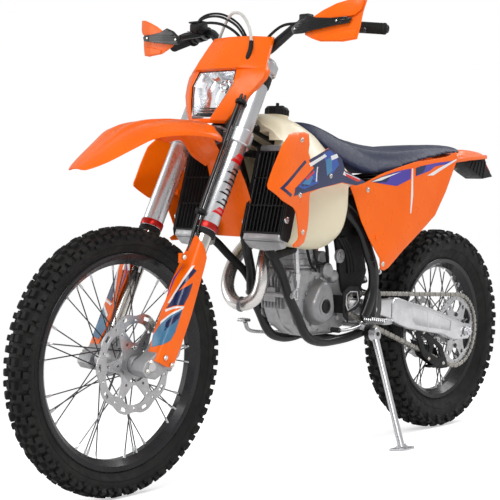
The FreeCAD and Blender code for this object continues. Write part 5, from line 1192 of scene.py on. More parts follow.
def makeForkGuards():
    s = guardSizes
    shell = skinPanel(s["outline"], guardPlace, s["wall"], 5, 0, 0.8)
    boss = discRod(steer(126.5, 24, 26), steer(134, 24, 26), 7)
    tab = [boxMesh(steer(122, 284, 90), (6, 14, 26), bevel=2)]
    finishPiece("forkGuards", bothSides(shell, boss) + tab, "orangePlastic", "steering", ("fork_guards",), 45)
    graphics = {
        "tealPale": [[(50, 96), (60, 60), (79, 38), (105, 33), (166, 37), (111, 97), (80, 109)]],
        "navyGraphic": [[(157, 95), (176, 39), (205, 33), (240, 34), (203, 74)],
                        [(176, 91), (276, 50), (274, 36), (196, 78)], [(96, 70), (140, 38), (160, 38), (120, 76)]],
        "violetGraphic": [[(190, 108), (240, 104), (282, 90), (240, 110)]],
        "whiteGraphic": [[(153, 97), (175, 34), (166, 37), (113, 95), (120, 98), (168, 41), (147, 92)],
                         [(171, 97), (281, 57), (284, 49), (172, 89)]],
    }
    for level, (finish, loops) in enumerate(graphics.items()):
        lift = 0.7 + 0.15 * level
        panels = [skinPanel(loop, guardPlace, lift + 0.1, 5, lift) for loop in loops]
        finishPiece("forkGuard" + finish[0].upper() + finish[1:], withMirror(panels),
                    finish, "steering")
    places = [steer(side * 137.6, a, b) for side in (-1, 1) for a, b in ((34, 34), (26, 4))]
    places += [steer(side * 127, 290, 84) for side in (-1, 1)]
    screwPiece("forkGuardBolts", [boltMesh(p, (1 if p.x > 0 else -1, 0, 0), 5, 3) for p in places], "steering")


makeForkGuards()

# Front fender: crown, two sunk channels, a ridge and a lip on each side
fenderSizes = {
    "thick": 3.2,
    # forward, top, half width, droop of the edge, depth of the channel, lip
    "stations": ((1640, 842, 20, 4, 0, 1), (1630, 848, 36, 8, 0, 2), (1590, 876, 62, 16, 0, 3),
                 (1520, 926, 86, 26, 3, 5), (1470, 957, 102, 30, 8, 7), (1412, 973, 112, 33, 11, 9),
                 (1350, 981, 119, 36, 13, 10), (1290, 983, 121, 40, 14, 9), (1236, 982, 114, 44, 14, 7),
                 (1222, 976, 100, 46, 10, 5), (1208, 960, 62, 26, 4, 3), (1170, 914, 58, 20, 0, 2),
                 (1118, 880, 52, 14, 0, 1)),
    # the tail behind the legs: forward, up, half width, wrap
    "flap": ((1128, 884, 50, 10), (1108, 852, 60, 14), (1086, 790, 68, 20), (1070, 730, 74, 22), (1058, 670, 78, 22)),
}


def makeFrontFender():
    rows = []
    for forward, top, half, droop, channel, lip in fenderSizes["stations"]:
        right = [(0.0, 0), (0.10, 0), (0.15, channel * 0.9), (0.34, channel), (0.42, channel * 0.25 + droop * 0.05),
                 (0.48, droop * 0.12), (0.74, droop * 0.36), (0.80, droop * 0.5 + channel * 0.2),
                 (0.94, droop * 0.82), (1.0, droop), (1.0, droop + lip)]
        line = [at(-share * half, forward, top - drop) for share, drop in reversed(right[1:])]
        rows.append(line + [at(share * half, forward, top - drop) for share, drop in right])
    fine = between(rows, 3)
    sheet = loft(fine, capped=False, closedRing=False)
    shell = thickened(tidied(sheet, 0.001), fenderSizes["thick"], -1.0)
    shell = bevelled(shell, 1.2, 2, 24)
    finishPiece("frontFender", shell, "orangePlastic", "steering", ("front_fender",), 38)

    flap = []
    for forward, up, half, wrap in fenderSizes["flap"]:
        flap.append([at(half * k / 6, forward - wrap * abs(k / 6) ** 3, up) for k in range(-6, 7)])
    sheet = loft(between(flap, 3), capped=False, closedRing=False)
    tail = bevelled(thickened(tidied(sheet, 0.001), fenderSizes["thick"], 0.0), 1.0, 2, 40)
    finishPiece("fenderFlap", [tail], "orangePlastic", "steering", sharpDeg=38)
    stay = boxMesh(at(0, 1150, 948), (96, 66, 12), bevel=3)
    finishPiece("fenderMount", [stay], "blackPlastic", "steering")
    places = [at(x, f, 966 - 6) for x in (-30, 30) for f in (1128, 1172)]
    bolts("fenderBolts", places, (0, 0, -1), 4, "polishedSteel", "steering")


makeFrontFender()

# Headlight mask and lamp
maskSizes = {
    "fold": 0.62, "foldSlope": 0.3,
    "thick": 3.4,
    # up, rear, nose, half width, share of the half width that stays flat before it curves back
    "rows": ((978, 1170, 1202, 60), (986, 1172, 1202, 70), (1014, 1158, 1193, 92), (1043, 1143, 1180, 110),
             (1060, 1135, 1172, 120), (1085, 1118, 1161, 132), (1103, 1105, 1152, 140), (1118, 1098, 1144, 141),
             (1128, 1092, 1140, 138), (1131, 1092, 1150, 137), (1162, 1073, 1132, 128), (1200, 1046, 1106, 116),
             (1224, 1030, 1088, 108)),
    # up, half width of the lamp opening
    "lamp": ((991, 34), (1043, 60), (1085, 76), (1127, 69)),
    "rim": 7.0,
}


def maskForward(x, up):
    rear, nose, half = lerpTable(maskSizes["rows"], up)
    share = min(1.0, abs(x) / half)
    fold, slope = maskSizes["fold"], maskSizes["foldSlope"]
    return nose - (nose - rear) * (slope * share if share < fold
                                   else slope * fold + (1 - slope * fold) * (share - fold) / (1 - fold))


def maskPlace(x, up, behind):
    # A place behind the middle of the mask's front.
    return at(x, maskForward(0, up) - behind, up)


def makeMask():
    lampLow, lampHigh = maskSizes["lamp"][0][0], maskSizes["lamp"][-1][0]
    ups = sorted({r[0] for r in maskSizes["rows"]} | {991, 1028, 1072, 1096, 1127, 1146, 1180})
    verts, faces = [], []
    columns = [0.0, 0.25, 0.5, 0.75, 1.0, 1.0, 1.12, 1.3, 1.5, 1.7, 1.85, 2.0]
    for up in ups:
        half = lerpTable(maskSizes["rows"], up)[2]
        lamp = lerpTable(maskSizes["lamp"], up)[0]
        lamp = min(lamp, half * 0.8)
        for k, share in enumerate(columns):
            x = lamp * share if k < 5 else lamp + (half - lamp) * (share - 1)
            if k == 5:
                x = lamp + min(maskSizes["rim"] * 0.5, (half - lamp) * 0.06)
            verts.append(at(x, maskForward(x, up) + (2.5 if k in (5, 6) and lampLow - 8 <= up <= lampHigh + 13
                                                     else 0), up))
    wide = len(columns)
    for row in range(len(ups) - 1):
        for k in range(wide - 1):
            if lampLow <= ups[row] < lampHigh and k < 4:
                continue
            a = row * wide + k
            faces.append((a, a + 1, a + wide + 1, a + wide))
    # A side flange that runs back from the edge to the fork leg
    base = len(verts)
    for row, up in enumerate(ups):
        edge = verts[row * wide + wide - 1]
        back = 10 if up < 1060 or up > 1145 else 22
        verts.append(edge + Vector((-1.5, back, 0)))
    for row in range(len(ups) - 1):
        faces.append((row * wide + wide - 1, base + row, base + row + 1, (row + 1) * wide + wide - 1))
    right = meshFrom("mask", verts, faces)
    whole = tidied(joined("mask", bothSides(right)), 0.02)
    shell = thickened(whole, maskSizes["thick"], -1.0)
    shell = bevelled(shell, 0.9, 2, 28)
    finishPiece("headlightMask", shell, "orangePlastic", "steering", ("headlight_mask",), 30)

    # The clear lens, bowed like the mask, and the lamp behind it
    def lensSurface(x, up):
        return at(x, maskForward(x, up) - 4.5, up), Vector((0, 1, 0))
    outline = [(-68, 1126), (-75, 1085), (-59, 1043), (-33, 992), (33, 992), (59, 1043), (75, 1085), (68, 1126)]
    lens = skinPanel(outline, lensSurface, 2.4, 12)
    finishPiece("headlampLens", lens, "clearLens", "steering", ("headlamp",), 50)
    ahead = (maskPlace(0, 1040, 40) - maskPlace(0, 1040, 60)).normalized()
    bowl = []
    for k in range(9):
        t = k / 8
        bowl.append([maskPlace(x * (0.26 + 0.68 * t ** 0.6), 1062 + (u - 1062) * (0.3 + 0.64 * t ** 0.6),
                               64 - 56 * t ** 1.6)
                     for x, u in outline])
    shape = thickened(tidied(loft(bowl, capped=False)), 1.6, 1.0)
    finishPiece("headlampReflector", bevelled(shape, 0.5, 1, 30), "chromeBright", "steering", sharpDeg=20)
    back = skinPanel([(x * 0.4, 1062 + (u - 1062) * 0.4) for x, u in outline],
                     lambda x, up: (maskPlace(x, up, 62), Vector((0, 1, 0))), 3, 30)
    bulbRing = lathe([(12, 0), (20, 0), (21, 3), (19, 12), (16, 14), (12, 10)], maskPlace(20, 1082, 52), ahead, 36,
                     closed=True)
    bulb = lathe([(0, 0), (9, 0), (9, 18), (7, 26), (3, 31), (0, 32)], maskPlace(20, 1082, 54), ahead, 28)
    finishPiece("headlampBulb", [back, bulbRing, bulb], "chromeBright", "steering", sharpDeg=30)
    fins = [boxMesh((0, 0, 0), (56 - 6 * k, 22, 2.2), Matrix.Translation(maskPlace(0, 1006 + 7 * k, 26)))
            for k in range(3)]
    finishPiece("headlampTrim", fins, "blackPlastic", "steering")


makeMask()
print("stage: fork, guards, fender and mask")


def cutAway(mesh, cutters):
    # Takes the cutters out of a closed mesh.
    result = mesh
    for cutter in cutters:
        tool = helperObject("cutter", cutter)
        result = bakedMesh(result, [("BOOLEAN", {"object": tool, "operation": "DIFFERENCE", "solver": "EXACT"})])
        bpy.data.objects.remove(tool)
    return result


def sidePrism(outline, left, right):
    # A side outline of (forward, up) points between two widths.
    return tidied(loft([[at(left, f, u) for f, u in outline], [at(right, f, u) for f, u in outline]]))


def heightSurface(leftOf):
    # A side sheet whose distance from the middle is leftOf(forward, up).
    def surface(forward, up):
        slopeF = (leftOf(forward + 1, up) - leftOf(forward - 1, up)) / 2
        slopeU = (leftOf(forward, up + 1) - leftOf(forward, up - 1)) / 2
        outward = Vector((1, slopeF, -slopeU)).normalized()
        return at(leftOf(forward, up), forward, up), -outward
    return surface


def sideGraphics(name, surface, layers, cell=12):
    # Flat coloured shapes laid on a side sheet, one above the other, on both sides of the bike.
    for level, (finish, loops) in enumerate(layers):
        lift = 0.55 + 0.16 * level
        panels = [skinPanel(loop, surface, lift + 0.15, cell, lift) for loop in loops]
        finishPiece(f"{name}{finish[0].upper()}{finish[1:]}{level}", withMirror(panels),
                    finish, "chassis")


# Tank: a moulded shell round the frame, with its cap and a nozzle on the cap
tankSizes = {
    # forward, low, top, half width low, middle, top
    "stations": ((690, 742, 934, 106, 126, 66), (700, 716, 940, 114, 136, 72), (735, 658, 960, 120, 146, 82),
                 (800, 634, 988, 122, 149.5, 90), (870, 638, 1011, 122, 149.5, 92), (930, 650, 1018, 116, 145, 84),
                 (962, 700, 1018, 110, 138, 76), (988, 790, 1014, 96, 122, 60), (1001, 884, 1006, 80, 100, 46)),
    "capRadius": 35.5,
}


def makeTank():
    rings = []
    for forward, low, top, halfLow, halfMid, halfTop in tankSizes["stations"]:
        tall = top - low
        right = [(0, low), (halfLow * 0.75, low), (halfLow, low + tall * 0.03), (halfMid - 3, low + tall * 0.12),
                 (halfMid, low + tall * 0.28), (halfMid, low + tall * 0.5), (halfMid * 0.96, low + tall * 0.66),
                 (halfTop * 1.12, low + tall * 0.84), (halfTop * 0.8, low + tall * 0.95), (halfTop * 0.35, top),
                 (0, top)]
        ring = right + [(-x, u) for x, u in reversed(right[1:-1])]
        rings.append(softRing([at(x, forward, u) for x, u in ring], 3))
    body = tidied(loft(between(rings, 5)))
    tunnel = sidePrism(((640, 600), (1050, 600), (1050, 985), (985, 960), (800, 900), (640, 830)), -80, 80)
    pipe = sidePrism(((640, 600), (1100, 600), (1100, 700), (870, 672), (790, 716), (700, 752), (640, 760)), -170, 20)
    rooms = [sidePrism(((1092, 625), (1022, 942), (976, 942), (1046, 625)), side * 52, side * 190)
             for side in (-1, 1)]
    body = cutAway(body, [tunnel, pipe] + rooms)
    finishPiece("tankShell", body, "creamTank", "chassis", ("fuel_tank",), 42)
    up = (at(0, 873.3, 1046) - at(0, 876, 1015.2)).normalized()
    base = at(0, 876, 1015.2)
    r = tankSizes["capRadius"]
    collar = lathe([(r - 6, -8), (r - 1, -8), (r - 1, 5), (r - 6, 6)], base, up, 40, closed=True)
    finishPiece("tankNeck", collar, "creamTank", "chassis")
    cap = lathe([(0, 2), (r - 3, 2), (r - 1.5, 5), (r - 1.5, 24), (r - 5, 29), (r - 12, 30), (r - 14, 27.5),
                 (0, 27.5)], base, up, 48)
    rib = boxMesh(Vector((r - 1.3, 0, 14)), (3.2, 3.4, 17), bevel=0.8, segments=1)
    rib = movedMesh(rib, aimed((0, 0, 0), up))
    ribs = ringOf(rib, 20, base, up, finish="blackPlastic")
    grip = boxMesh(Vector((0, 0, 30)), (2 * r - 24, 12, 7), aimed(base, up), 2)
    finishPiece("tankCap", [cap, ribs, grip], "blackPlastic", "chassis", ("fuel_cap",), 35)
    nozzle = discRod(base + up * 28, base + up * 42, 5, 16, 1)
    finishPiece("tankCapNozzle", nozzle, "blackPlastic", "chassis")


makeTank()

# Seat: a foam body under a stretched cover, its swell simulated as cloth
seatSizes = {
    # forward, low, top, half width low, half width top
    "stations": ((826, 990, 1006, 40, 28), (812, 980, 1007, 60, 42), (770, 940, 1004, 90, 62),
                 (700, 897, 986, 110, 76), (630, 872, 965, 122, 88), (560, 861, 953, 126, 98),
                 (470, 868, 948, 124, 102), (380, 888, 950, 121, 101), (285, 910, 958, 115, 97),
                 (190, 926, 965, 107, 90), (100, 940, 970, 97, 82), (20, 948, 970, 86, 72), (-20, 950, 968, 74, 62),
                 (-40, 952, 962, 54, 42)),
    "voxel": 0.0052, "pressure": 4.0, "frames": 18, "mostSwell": 0.0035, "shrink": 0.002,
    "seamRadius": 1.1, "seamShare": 0.95,
    "cloth": {"quality": 4, "mass": 0.4, "tension_stiffness": 25, "compression_stiffness": 25,
              "bending_stiffness": 2},
}


def seatSection(forward, low, top, halfLow, halfTop):
    tall = top - low
    right = [(0, low), (halfLow * 0.8, low), (halfLow * 0.985, low + tall * 0.03), (halfLow, low + tall * 0.12),
             (halfLow + (halfTop - halfLow) * 0.34, low + tall * 0.36),
             (halfLow + (halfTop - halfLow) * 0.7, low + tall * 0.6), (halfTop * 1.01, low + tall * 0.80),
             (halfTop * 0.92, low + tall * 0.91), (halfTop * 0.62, top - tall * 0.01 - 1), (halfTop * 0.3, top),
             (0, top)]
    return [at(x, forward, u) for x, u in right + [(-x, u) for x, u in reversed(right[1:-1])]]


def swollen(mesh):
    # Voxel remesh, then Cloth with pressure, with the move capped and the base held.
    s = seatSizes
    mesh.transform(Matrix.Scale(0.001, 4))
    mesh = bakedMesh(mesh, [("REMESH", {"mode": "VOXEL", "voxel_size": s["voxel"], "use_smooth_shade": True}),
                            ("SMOOTH", {"factor": 0.5, "iterations": 4})])
    start = [v.co.copy() for v in mesh.vertices]
    holder = helperObject("seatFoam", mesh)
    group = holder.vertex_groups.new(name="held")
    for vert in mesh.vertices:
        if vert.normal.z < -0.35:
            group.add([vert.index], 1.0, "REPLACE")
    cloth = holder.modifiers.new("cover", "CLOTH")
    for key, value in s["cloth"].items():
        setattr(cloth.settings, key, value)
    cloth.settings.vertex_group_mass = "held"
    cloth.settings.use_pressure = True
    cloth.settings.uniform_pressure_force = s["pressure"]
    cloth.settings.effector_weights.gravity = 0
    cloth.point_cache.frame_start = 1
    cloth.point_cache.frame_end = s["frames"]
    scene = bpy.context.scene
    for step in range(1, s["frames"] + 1):
        scene.frame_set(step)
    graph = bpy.context.evaluated_depsgraph_get()
    mesh = bpy.data.meshes.new_from_object(holder.evaluated_get(graph), depsgraph=graph)
    for vert, first in zip(mesh.vertices, start):
        move = vert.co - first
        if move.length > s["mostSwell"]:
            vert.co = first + move.normalized() * s["mostSwell"]
    bpy.data.objects.remove(holder)
    scene.frame_set(1)
    mesh = bakedMesh(mesh, [("SMOOTH", {"factor": 0.5, "iterations": 6}),
                            ("SUBSURF", {"levels": 1, "render_levels": 1})])
    mesh.transform(Matrix.Scale(1000, 4))
    return mesh


def makeSeat():
    rings = [softRing(seatSection(*station), 2) for station in seatSizes["stations"]]
    fine = between(rings, 4)
    middle = [sum((p for p in ring), Vector()) / len(ring) for ring in fine]
    shrunk = [[p + (m - p).normalized() * seatSizes["shrink"] * 1000 for p in ring] for ring, m in zip(fine, middle)]
    body = swollen(tidied(loft(shrunk)))
    piece = finishPiece("seatCover", body, "navySeat", "chassis", ("seat",), 80)
    # The welt that runs round the top's edge, laid on the swollen cover
    tree = BVHTree.FromPolygons([v.co.copy() for v in body.vertices], [tuple(p.vertices) for p in body.polygons])
    line = []
    for forward, low, top, _, halfTop in seatSizes["stations"][1:-1]:
        line.append(tree.find_nearest(at(halfTop * seatSizes["seamShare"], forward, top - (top - low) * 0.10))[0])
    welt = sweep(flowing(line, 6), seatSizes["seamRadius"], 6)
    finishPiece("seatWelts", bothSides(welt), "seatThread", "chassis")


makeSeat()
print("stage: tank and seat")

# Radiator shrouds: a folded orange blade with plain fields of colour and stripes
shroudSizes = {
    "thick": 4.0, "left": 147.6, "flare": 0.2, "flareFrom": 593,
    "noseFrom": 1090, "noseFall": 0.0016, "topFrom": 900, "topFall": 0.0022, "lowFrom": 740, "lowFall": 0.0012,
    "fold": 5, "foldUp": 806, "foldSlope": 0.1, "foldNose": 1100, "foldWide": 26, "foldFrom": 780, "foldFade": 200,
}
shroudOutline = [(1029, 962), (1002, 957), (1004, 930), (1012, 907), (997, 884), (891, 924), (846, 914), (785, 866),
                 (710, 849), (633, 834), (708, 822), (802, 828), (870, 819), (939, 811), (1002, 797), (1001, 770),
                 (1000, 745), (1003, 700), (1011, 661), (1036, 650), (1065, 648), (1071, 656), (1050, 668),
                 (1047, 677), (1060, 712), (1074, 745), (1088, 756), (1144, 773), (1203, 804), (1205, 814),
                 (1182, 862), (1150, 919), (1112, 950), (1083, 957)]


def shroudLeft(forward, up):
    # The blade flares towards the nose, falls away at its ends and has a soft fold along its middle.
    s = shroudSizes
    x = s["left"] + s["flare"] * (forward - s["flareFrom"])
    x -= (s["noseFall"] * max(0, forward - s["noseFrom"]) ** 2 + s["topFall"] * max(0, up - s["topFrom"]) ** 2
          + s["lowFall"] * max(0, s["lowFrom"] - up) ** 2)
    fold = math.exp(-((up - s["foldUp"] - s["foldSlope"] * (s["foldNose"] - forward)) / s["foldWide"]) ** 2)
    return x + s["fold"] * fold * min(1, max(0, (forward - s["foldFrom"]) / s["foldFade"]))


def makeShrouds():
    surface = heightSurface(shroudLeft)
    panel = skinPanel(shroudOutline, surface, shroudSizes["thick"], 13, 0, 1.2)
    bosses = [discRod(at(205, 1062, 790), at(240, 1062, 790), 8), discRod(at(160, 880, 846), at(203, 880, 846), 8)]
    for side, turn in (("left", None), ("right", mirrorSide)):
        parts = [panel] + bosses
        parts = movedAll(parts, turn) if turn else parts
        finishPiece(f"shroud{side.title()}", parts, "orangePlastic", "chassis", (f"shroud_{side}",), 35)
    sideGraphics("shroud", surface, [
        ("navyGraphic", [[(1010, 886), (891, 923), (846, 913), (807, 896), (785, 864), (682, 844), (640, 834),
                          (708, 823), (802, 830), (939, 812), (1095, 787), (1091, 808), (1022, 842), (979, 865)],
                         [(1033, 885), (1162, 806), (1112, 784), (1106, 791), (1144, 807), (1024, 879)]]),
        ("blueGraphic", [[(1078, 812), (1020, 840), (975, 862), (958, 826), (1040, 806)],
                         [(930, 905), (885, 918), (850, 906), (826, 880), (878, 846)]]),
        ("tealGraphic", [[(1052, 820), (1004, 844), (986, 842), (1012, 818)],
                         [(910, 890), (874, 900), (868, 862), (902, 846)]]),
        ("whiteGraphic", [[(1010, 876), (916, 906), (905, 900), (1000, 868)],
                          [(880, 902), (842, 910), (832, 900), (874, 890)],
                          [(792, 862), (800, 852), (690, 838), (684, 842), (780, 858)],
                          [(962, 868), (956, 870), (968, 828), (974, 828)]]),
        ("redGraphic", [[(786, 857), (672, 838), (702, 834), (776, 848)],
                        [(1030, 836), (982, 858), (978, 853), (1024, 830)]]),
    ])
    meshes = [boltMesh(at(shroudLeft(f, u) + 0.5, f, u), (1, 0, 0), 5, 2.5)
              for f, u in ((1062, 790), (1032, 690), (1050, 938), (880, 846))]
    screwPiece("shroudScrews", withMirror(meshes), "chassis")


makeShrouds()

# Side panels: a crease from the top down to the foot, a two-tone stripe, and a white strip of painted highlight down
# the crease
panelSizes = {
    "creaseTop": (354, 903), "creaseTall": 297, "creaseRun": (19, 154), "ridgeWide": 150, "leanFrom": 565,
    "left": 157.5, "lean": 24.0 / 385, "thick": 3.6, "ridge": 7.0}
leftPanel = [(686, 822), (613, 833), (529, 861), (440, 884), (351, 905), (240, 918), (150, 930), (90, 948), (84, 925),
             (102, 898), (160, 815), (228, 737), (280, 706), (325, 681), (420, 628), (505, 574), (528, 567),
             (546, 571), (552, 584), (551, 604), (590, 655), (633, 716), (668, 790)]
rightPanel = [(686, 822), (613, 833), (529, 861), (440, 884), (351, 905), (240, 918), (150, 930), (90, 948),
              (98, 918), (297, 876), (398, 858), (420, 760), (456, 646), (480, 585), (505, 574), (528, 567),
              (546, 571), (552, 584), (551, 604), (590, 655), (633, 716), (668, 790)]


def panelLeft(forward, up):
    s = panelSizes
    topForward, topUp = s["creaseTop"]
    straight, bent = s["creaseRun"]
    along = (topUp - up) / s["creaseTall"]
    creaseForward = topForward + straight * along + bent * along ** 3 if along > 0 else topForward
    ridge = s["ridge"] * max(0.0, 1 - abs(forward - creaseForward) / s["ridgeWide"])
    return s["left"] - s["lean"] * (up - s["leanFrom"]) + ridge - s["ridge"]


def makeSidePanels():
    surface = heightSurface(panelLeft)
    boss = discRod(at(100, 560, 668), at(148, 560, 668), 8)
    for name, outline, turn in (("left", leftPanel, None), ("right", rightPanel, mirrorSide)):
        panel = skinPanel(outline, surface, panelSizes["thick"], 15, 0, 1.1)
        parts = [panel, boss] if turn is None else movedAll([panel, boss], turn)
        finishPiece(f"sidePanel{name.title()}", parts, "orangePlastic", "chassis", (f"side_panel_{name}",), 30)
    sideGraphics("sidePanel", surface, [
        ("violetGraphic", [[(582, 838), (529, 853), (450, 872), (372, 884), (376, 851), (449, 827), (551, 834)],
                           [(346, 886), (317, 893), (210, 908), (113, 918), (132, 908), (223, 896), (260, 880),
                            (347, 860)]]),
        ("navyGraphic", [[(582, 838), (529, 853), (470, 866), (500, 838), (551, 834)],
                         [(346, 886), (317, 893), (280, 898), (300, 874), (347, 862)]]),
        ("whiteGraphic", [[(193, 893), (90, 926), (92, 920), (237, 866), (276, 864)],
                          [(582, 836), (529, 851), (420, 873), (440, 868), (529, 842)],
                          # The thin white strip down the crease is painted highlight where the ridge catches the
                          # light; the other white shapes are graphics.
                          [(362, 884), (368, 884), (376, 800), (384, 742), (378, 744), (366, 800)]]),
    ])
    meshes = [boltMesh(at(panelLeft(f, u) + 0.4, f, u), (1, 0, 0), 6, 2.5) for f, u in ((540, 588), (600, 812))]
    screwPiece("sidePanelScrews", withMirror(meshes), "chassis")


makeSidePanels()

# Rear fender and tail lamp holder
tailSizes = {
    "thick": 3.4,
    # forward, half width, edge up, top up
    "stations": ((112, 104, 918, 934), (60, 100, 924, 940), (0, 92, 930, 946), (-44, 86, 934, 950),
                 (-66, 83, 937, 960), (-110, 77, 940, 966), (-160, 68, 944, 966), (-205, 58, 947, 964),
                 (-240, 48, 949, 961), (-262, 38, 951, 957), (-267, 26, 952, 956)),
}


def makeTail():
    rows = []
    for forward, half, edge, top in tailSizes["stations"]:
        right = [(0, top), (half * 0.3, top - 0.5), (half * 0.5, top - 3), (half * 0.56, edge + (top - edge) * 0.4),
                 (half * 0.9, edge + 2), (half, edge), (half, edge - 5), (half * 0.99, edge - 11)]
        rows.append([at(-x, forward, u) for x, u in reversed(right[1:])] + [at(x, forward, u) for x, u in right])
    sheet = loft(between(rows, 3), capped=False, closedRing=False)
    shell = bevelled(thickened(tidied(sheet, 0.001), tailSizes["thick"], -1.0), 0.9, 2, 28)
    posts = bothSides(discRod(at(57, 2, 905), at(52, 2, 934), 7))
    finishPiece("rearFender", [shell] + posts, "orangePlastic", "chassis", ("rear_fender",), 35)
    holder = sidePrism([(-96, 923), (-183, 886), (-239, 867), (-309, 877), (-298, 886), (-262, 915), (-252, 943),
                        (-225, 941), (-110, 925.7)], -36, 36)
    holder = bevelled(holder, 2.5, 2, 30)
    ribs = [sidePrism([(-150 - 22 * k, 903 - 8 * k), (-156 - 22 * k, 900 - 8 * k), (-176 - 20 * k, 928),
                       (-170 - 20 * k, 930)], 35, 38.2) for k in range(5)]
    finishPiece("tailLampHolder", [holder] + bothSides(*ribs), "blackPlastic", "chassis", ("tail_lamp",), 30)
    lens = bevelled(sidePrism([(-264, 938), (-258, 918), (-292, 888), (-303, 884), (-300, 896), (-272, 922)], -30,
                              30), 2, 2, 30)
    finishPiece("tailLampLens", lens, "tailRed", "chassis", sharpDeg=40)
    bridges = [boxMesh(at(0, -120 - 46 * k, 925 - 5 * k), (74, 5, 8), bevel=1) for k in range(3)]
    finishPiece("tailBridges", bridges, "blackPlastic", "chassis")


makeTail()
print("stage: shrouds, side panels and tail")


# Frame: smooth bent tubes with cast pivot plates, a head tube with bearing rings, and weld rings at the joints
frameSizes = {
    "tube": 14.0, "spine": 19.0, "plateLeft": 103.0, "plateThick": 11.0,
    "side": ((16, 1003, 745), (42, 944, 630), (58, 905, 563), (70, 886, 500), (72, 845, 440), (72, 800, 378),
             (73, 740, 356), (76, 672, 355), (92, 600, 366), (113, 545, 392), (113, 528, 450), (113, 526, 540),
             (112, 554, 621), (110, 592, 690), (92, 650, 752), (54, 725, 852), (50, 810, 900), (24, 1080, 1003)),
    "upright": ((111, 566, 420), (113, 548, 452), (113, 526, 505), (113, 527, 566), (112, 554, 621), (110, 590, 690),
                (100, 632, 735), (84, 664, 764)),
    "deep": 21.0, "narrow": 0.62,
    "rail": ((70, 648, 784), (69, 560, 826), (70, 470, 842), (66, 280, 866), (56, -20, 902)),
    "stay": ((104, 545, 640), (84, 430, 700), (68, 240, 866)),
}


def weldRing(path, index, radius):
    # A rippled bead round a tube where it joins another.
    start, end = path[index], path[min(index + 1, len(path) - 1)]
    along = (end - start).normalized()
    bead = lathe([(radius - 0.5, -3), (radius + 1.4, -2), (radius + 1.9, 0), (radius + 1.4, 2), (radius - 0.5, 3)],
                 start, along, 28)
    return bead


def railPath(name, steps=6):
    return route(frameSizes[name], steps)


def makeFrame():
    s = frameSizes
    side = route(s["side"], 6)
    welds = [weldRing(side, k, 14) for k in (2, 70, 84, 92)]
    tubes = bothSides(sweep(side, s["tube"], 20)) + bothSides(*welds)
    # The rear uprights are deeper than they are wide.
    upright = route(s["upright"], 6)
    tubes += bothSides(sweep(upright, s["deep"], 24, s["narrow"], up=(1, 0, 0)))
    spine = route(((0, 1085, 975), (0, 1012, 812), (0, 992, 725)), 5)
    tubes.append(sweep(spine, s["spine"], 24))
    low = steer(0, 706, 0)
    tubes.append(lathe([(28, 0), (29, 1), (29, 10), (27, 14), (27, 142), (29, 146), (29, 155), (28, 156)], low,
                       steerAxis, 40))
    tubes.append(discRod(at(-80, 640, 357), at(80, 640, 357), 12))
    tubes.append(discRod(at(-98, 570, 683), at(98, 570, 683), 12))
    finishPiece("frameTubes", tubes, "blackFrame", "chassis", ("frame",), 50)
    outline = [(478, 440), (484, 420), (500, 398), (522, 392), (545, 396), (560, 412), (568, 440), (562, 470),
               (556, 492), (540, 512), (520, 521), (500, 512), (486, 500), (478, 470)]
    hole = circleLoop(522, 488, 9, 16)
    matrix = sideMatrix(s["plateLeft"] + s["plateThick"] / 2)
    gusset = plate([outline, hole], s["plateThick"], matrix, 1.6, 2)
    boss = lathe([(12.6, -2), (22, -2), (23, 0), (22, 3.0), (18, 3.6), (12.6, 3.6)], at(114, 525, 445), (1, 0, 0), 32,
                 closed=True)
    finishPiece("framePlates", bothSides(gusset, boss), "blackFrame", "chassis", sharpDeg=35)
    rings = [lathe([(16, -1), (30.5, -1), (31, 1), (31, 5), (29, 6), (16, 6)], steer(0, a, 0), steerAxis * d, 36,
                   closed=True)
             for a, d in ((706, 1), (862, -1))]
    finishPiece("headRings", rings, "machinedSilver", "chassis")
    rails = bothSides(sweep(railPath("rail"), 10, 16)) + bothSides(sweep(railPath("stay"), 10, 16))
    rails += [discRod(at(-60, -12, 901), at(60, -12, 901), 8), discRod(at(-68, 240, 878), at(68, 240, 878), 8)]
    tabs = [plate([circleLoop(f, u, 13, 14), circleLoop(f, u, 4, 10)], 4, sideMatrix(x), 0.6)
            for x, f, u in ((72, 560, 836), (70, 300, 872), (103, 545, 648), (60, 0, 907))]
    finishPiece("subframeTubes", rails + bothSides(*tabs), "blackFrame", "chassis", ("subframe",), 50)
    nuts = [boltMesh(at(117.5, 525, 445), (1, 0, 0), 10, 6), boltMesh(at(117, 500, 560), (1, 0, 0), 6, 4)]
    nuts += [lathe([(0, 0), (11.9, 0), (11.9, 18), (0, 18)], at(103, 525, 445), (1, 0, 0), 20)]
    finishPiece("pivotNuts", bothSides(*nuts), "machinedSilver", "chassis", ("pivot_bolt",), 30)


def sideMatrix(left):
    # Local (u, v) is (forward, up); the plate's middle stands at this width.
    return Matrix.Translation((left, 0, 0)) @ axesMatrix((0, -1, 0), (0, 0, 1), (-1, 0, 0))


makeFrame()
print("stage: frame")

# Swingarm: a cast silver arm each side with a milled pocket, chain adjusters, axle blocks
armSizes = {
    "left": 102.0, "wide": 30.0,
    "outline": [(430, 478), (410, 476.5), (330, 458), (256, 443), (160, 418), (76, 395), (20, 375), (-10, 367),
                (-24, 358), (-24, 324), (-18, 318), (36, 318), (80, 322), (144, 344), (228, 355), (300, 367),
                (350, 376), (400, 390), (436, 404), (441, 420), (441, 460)],
}


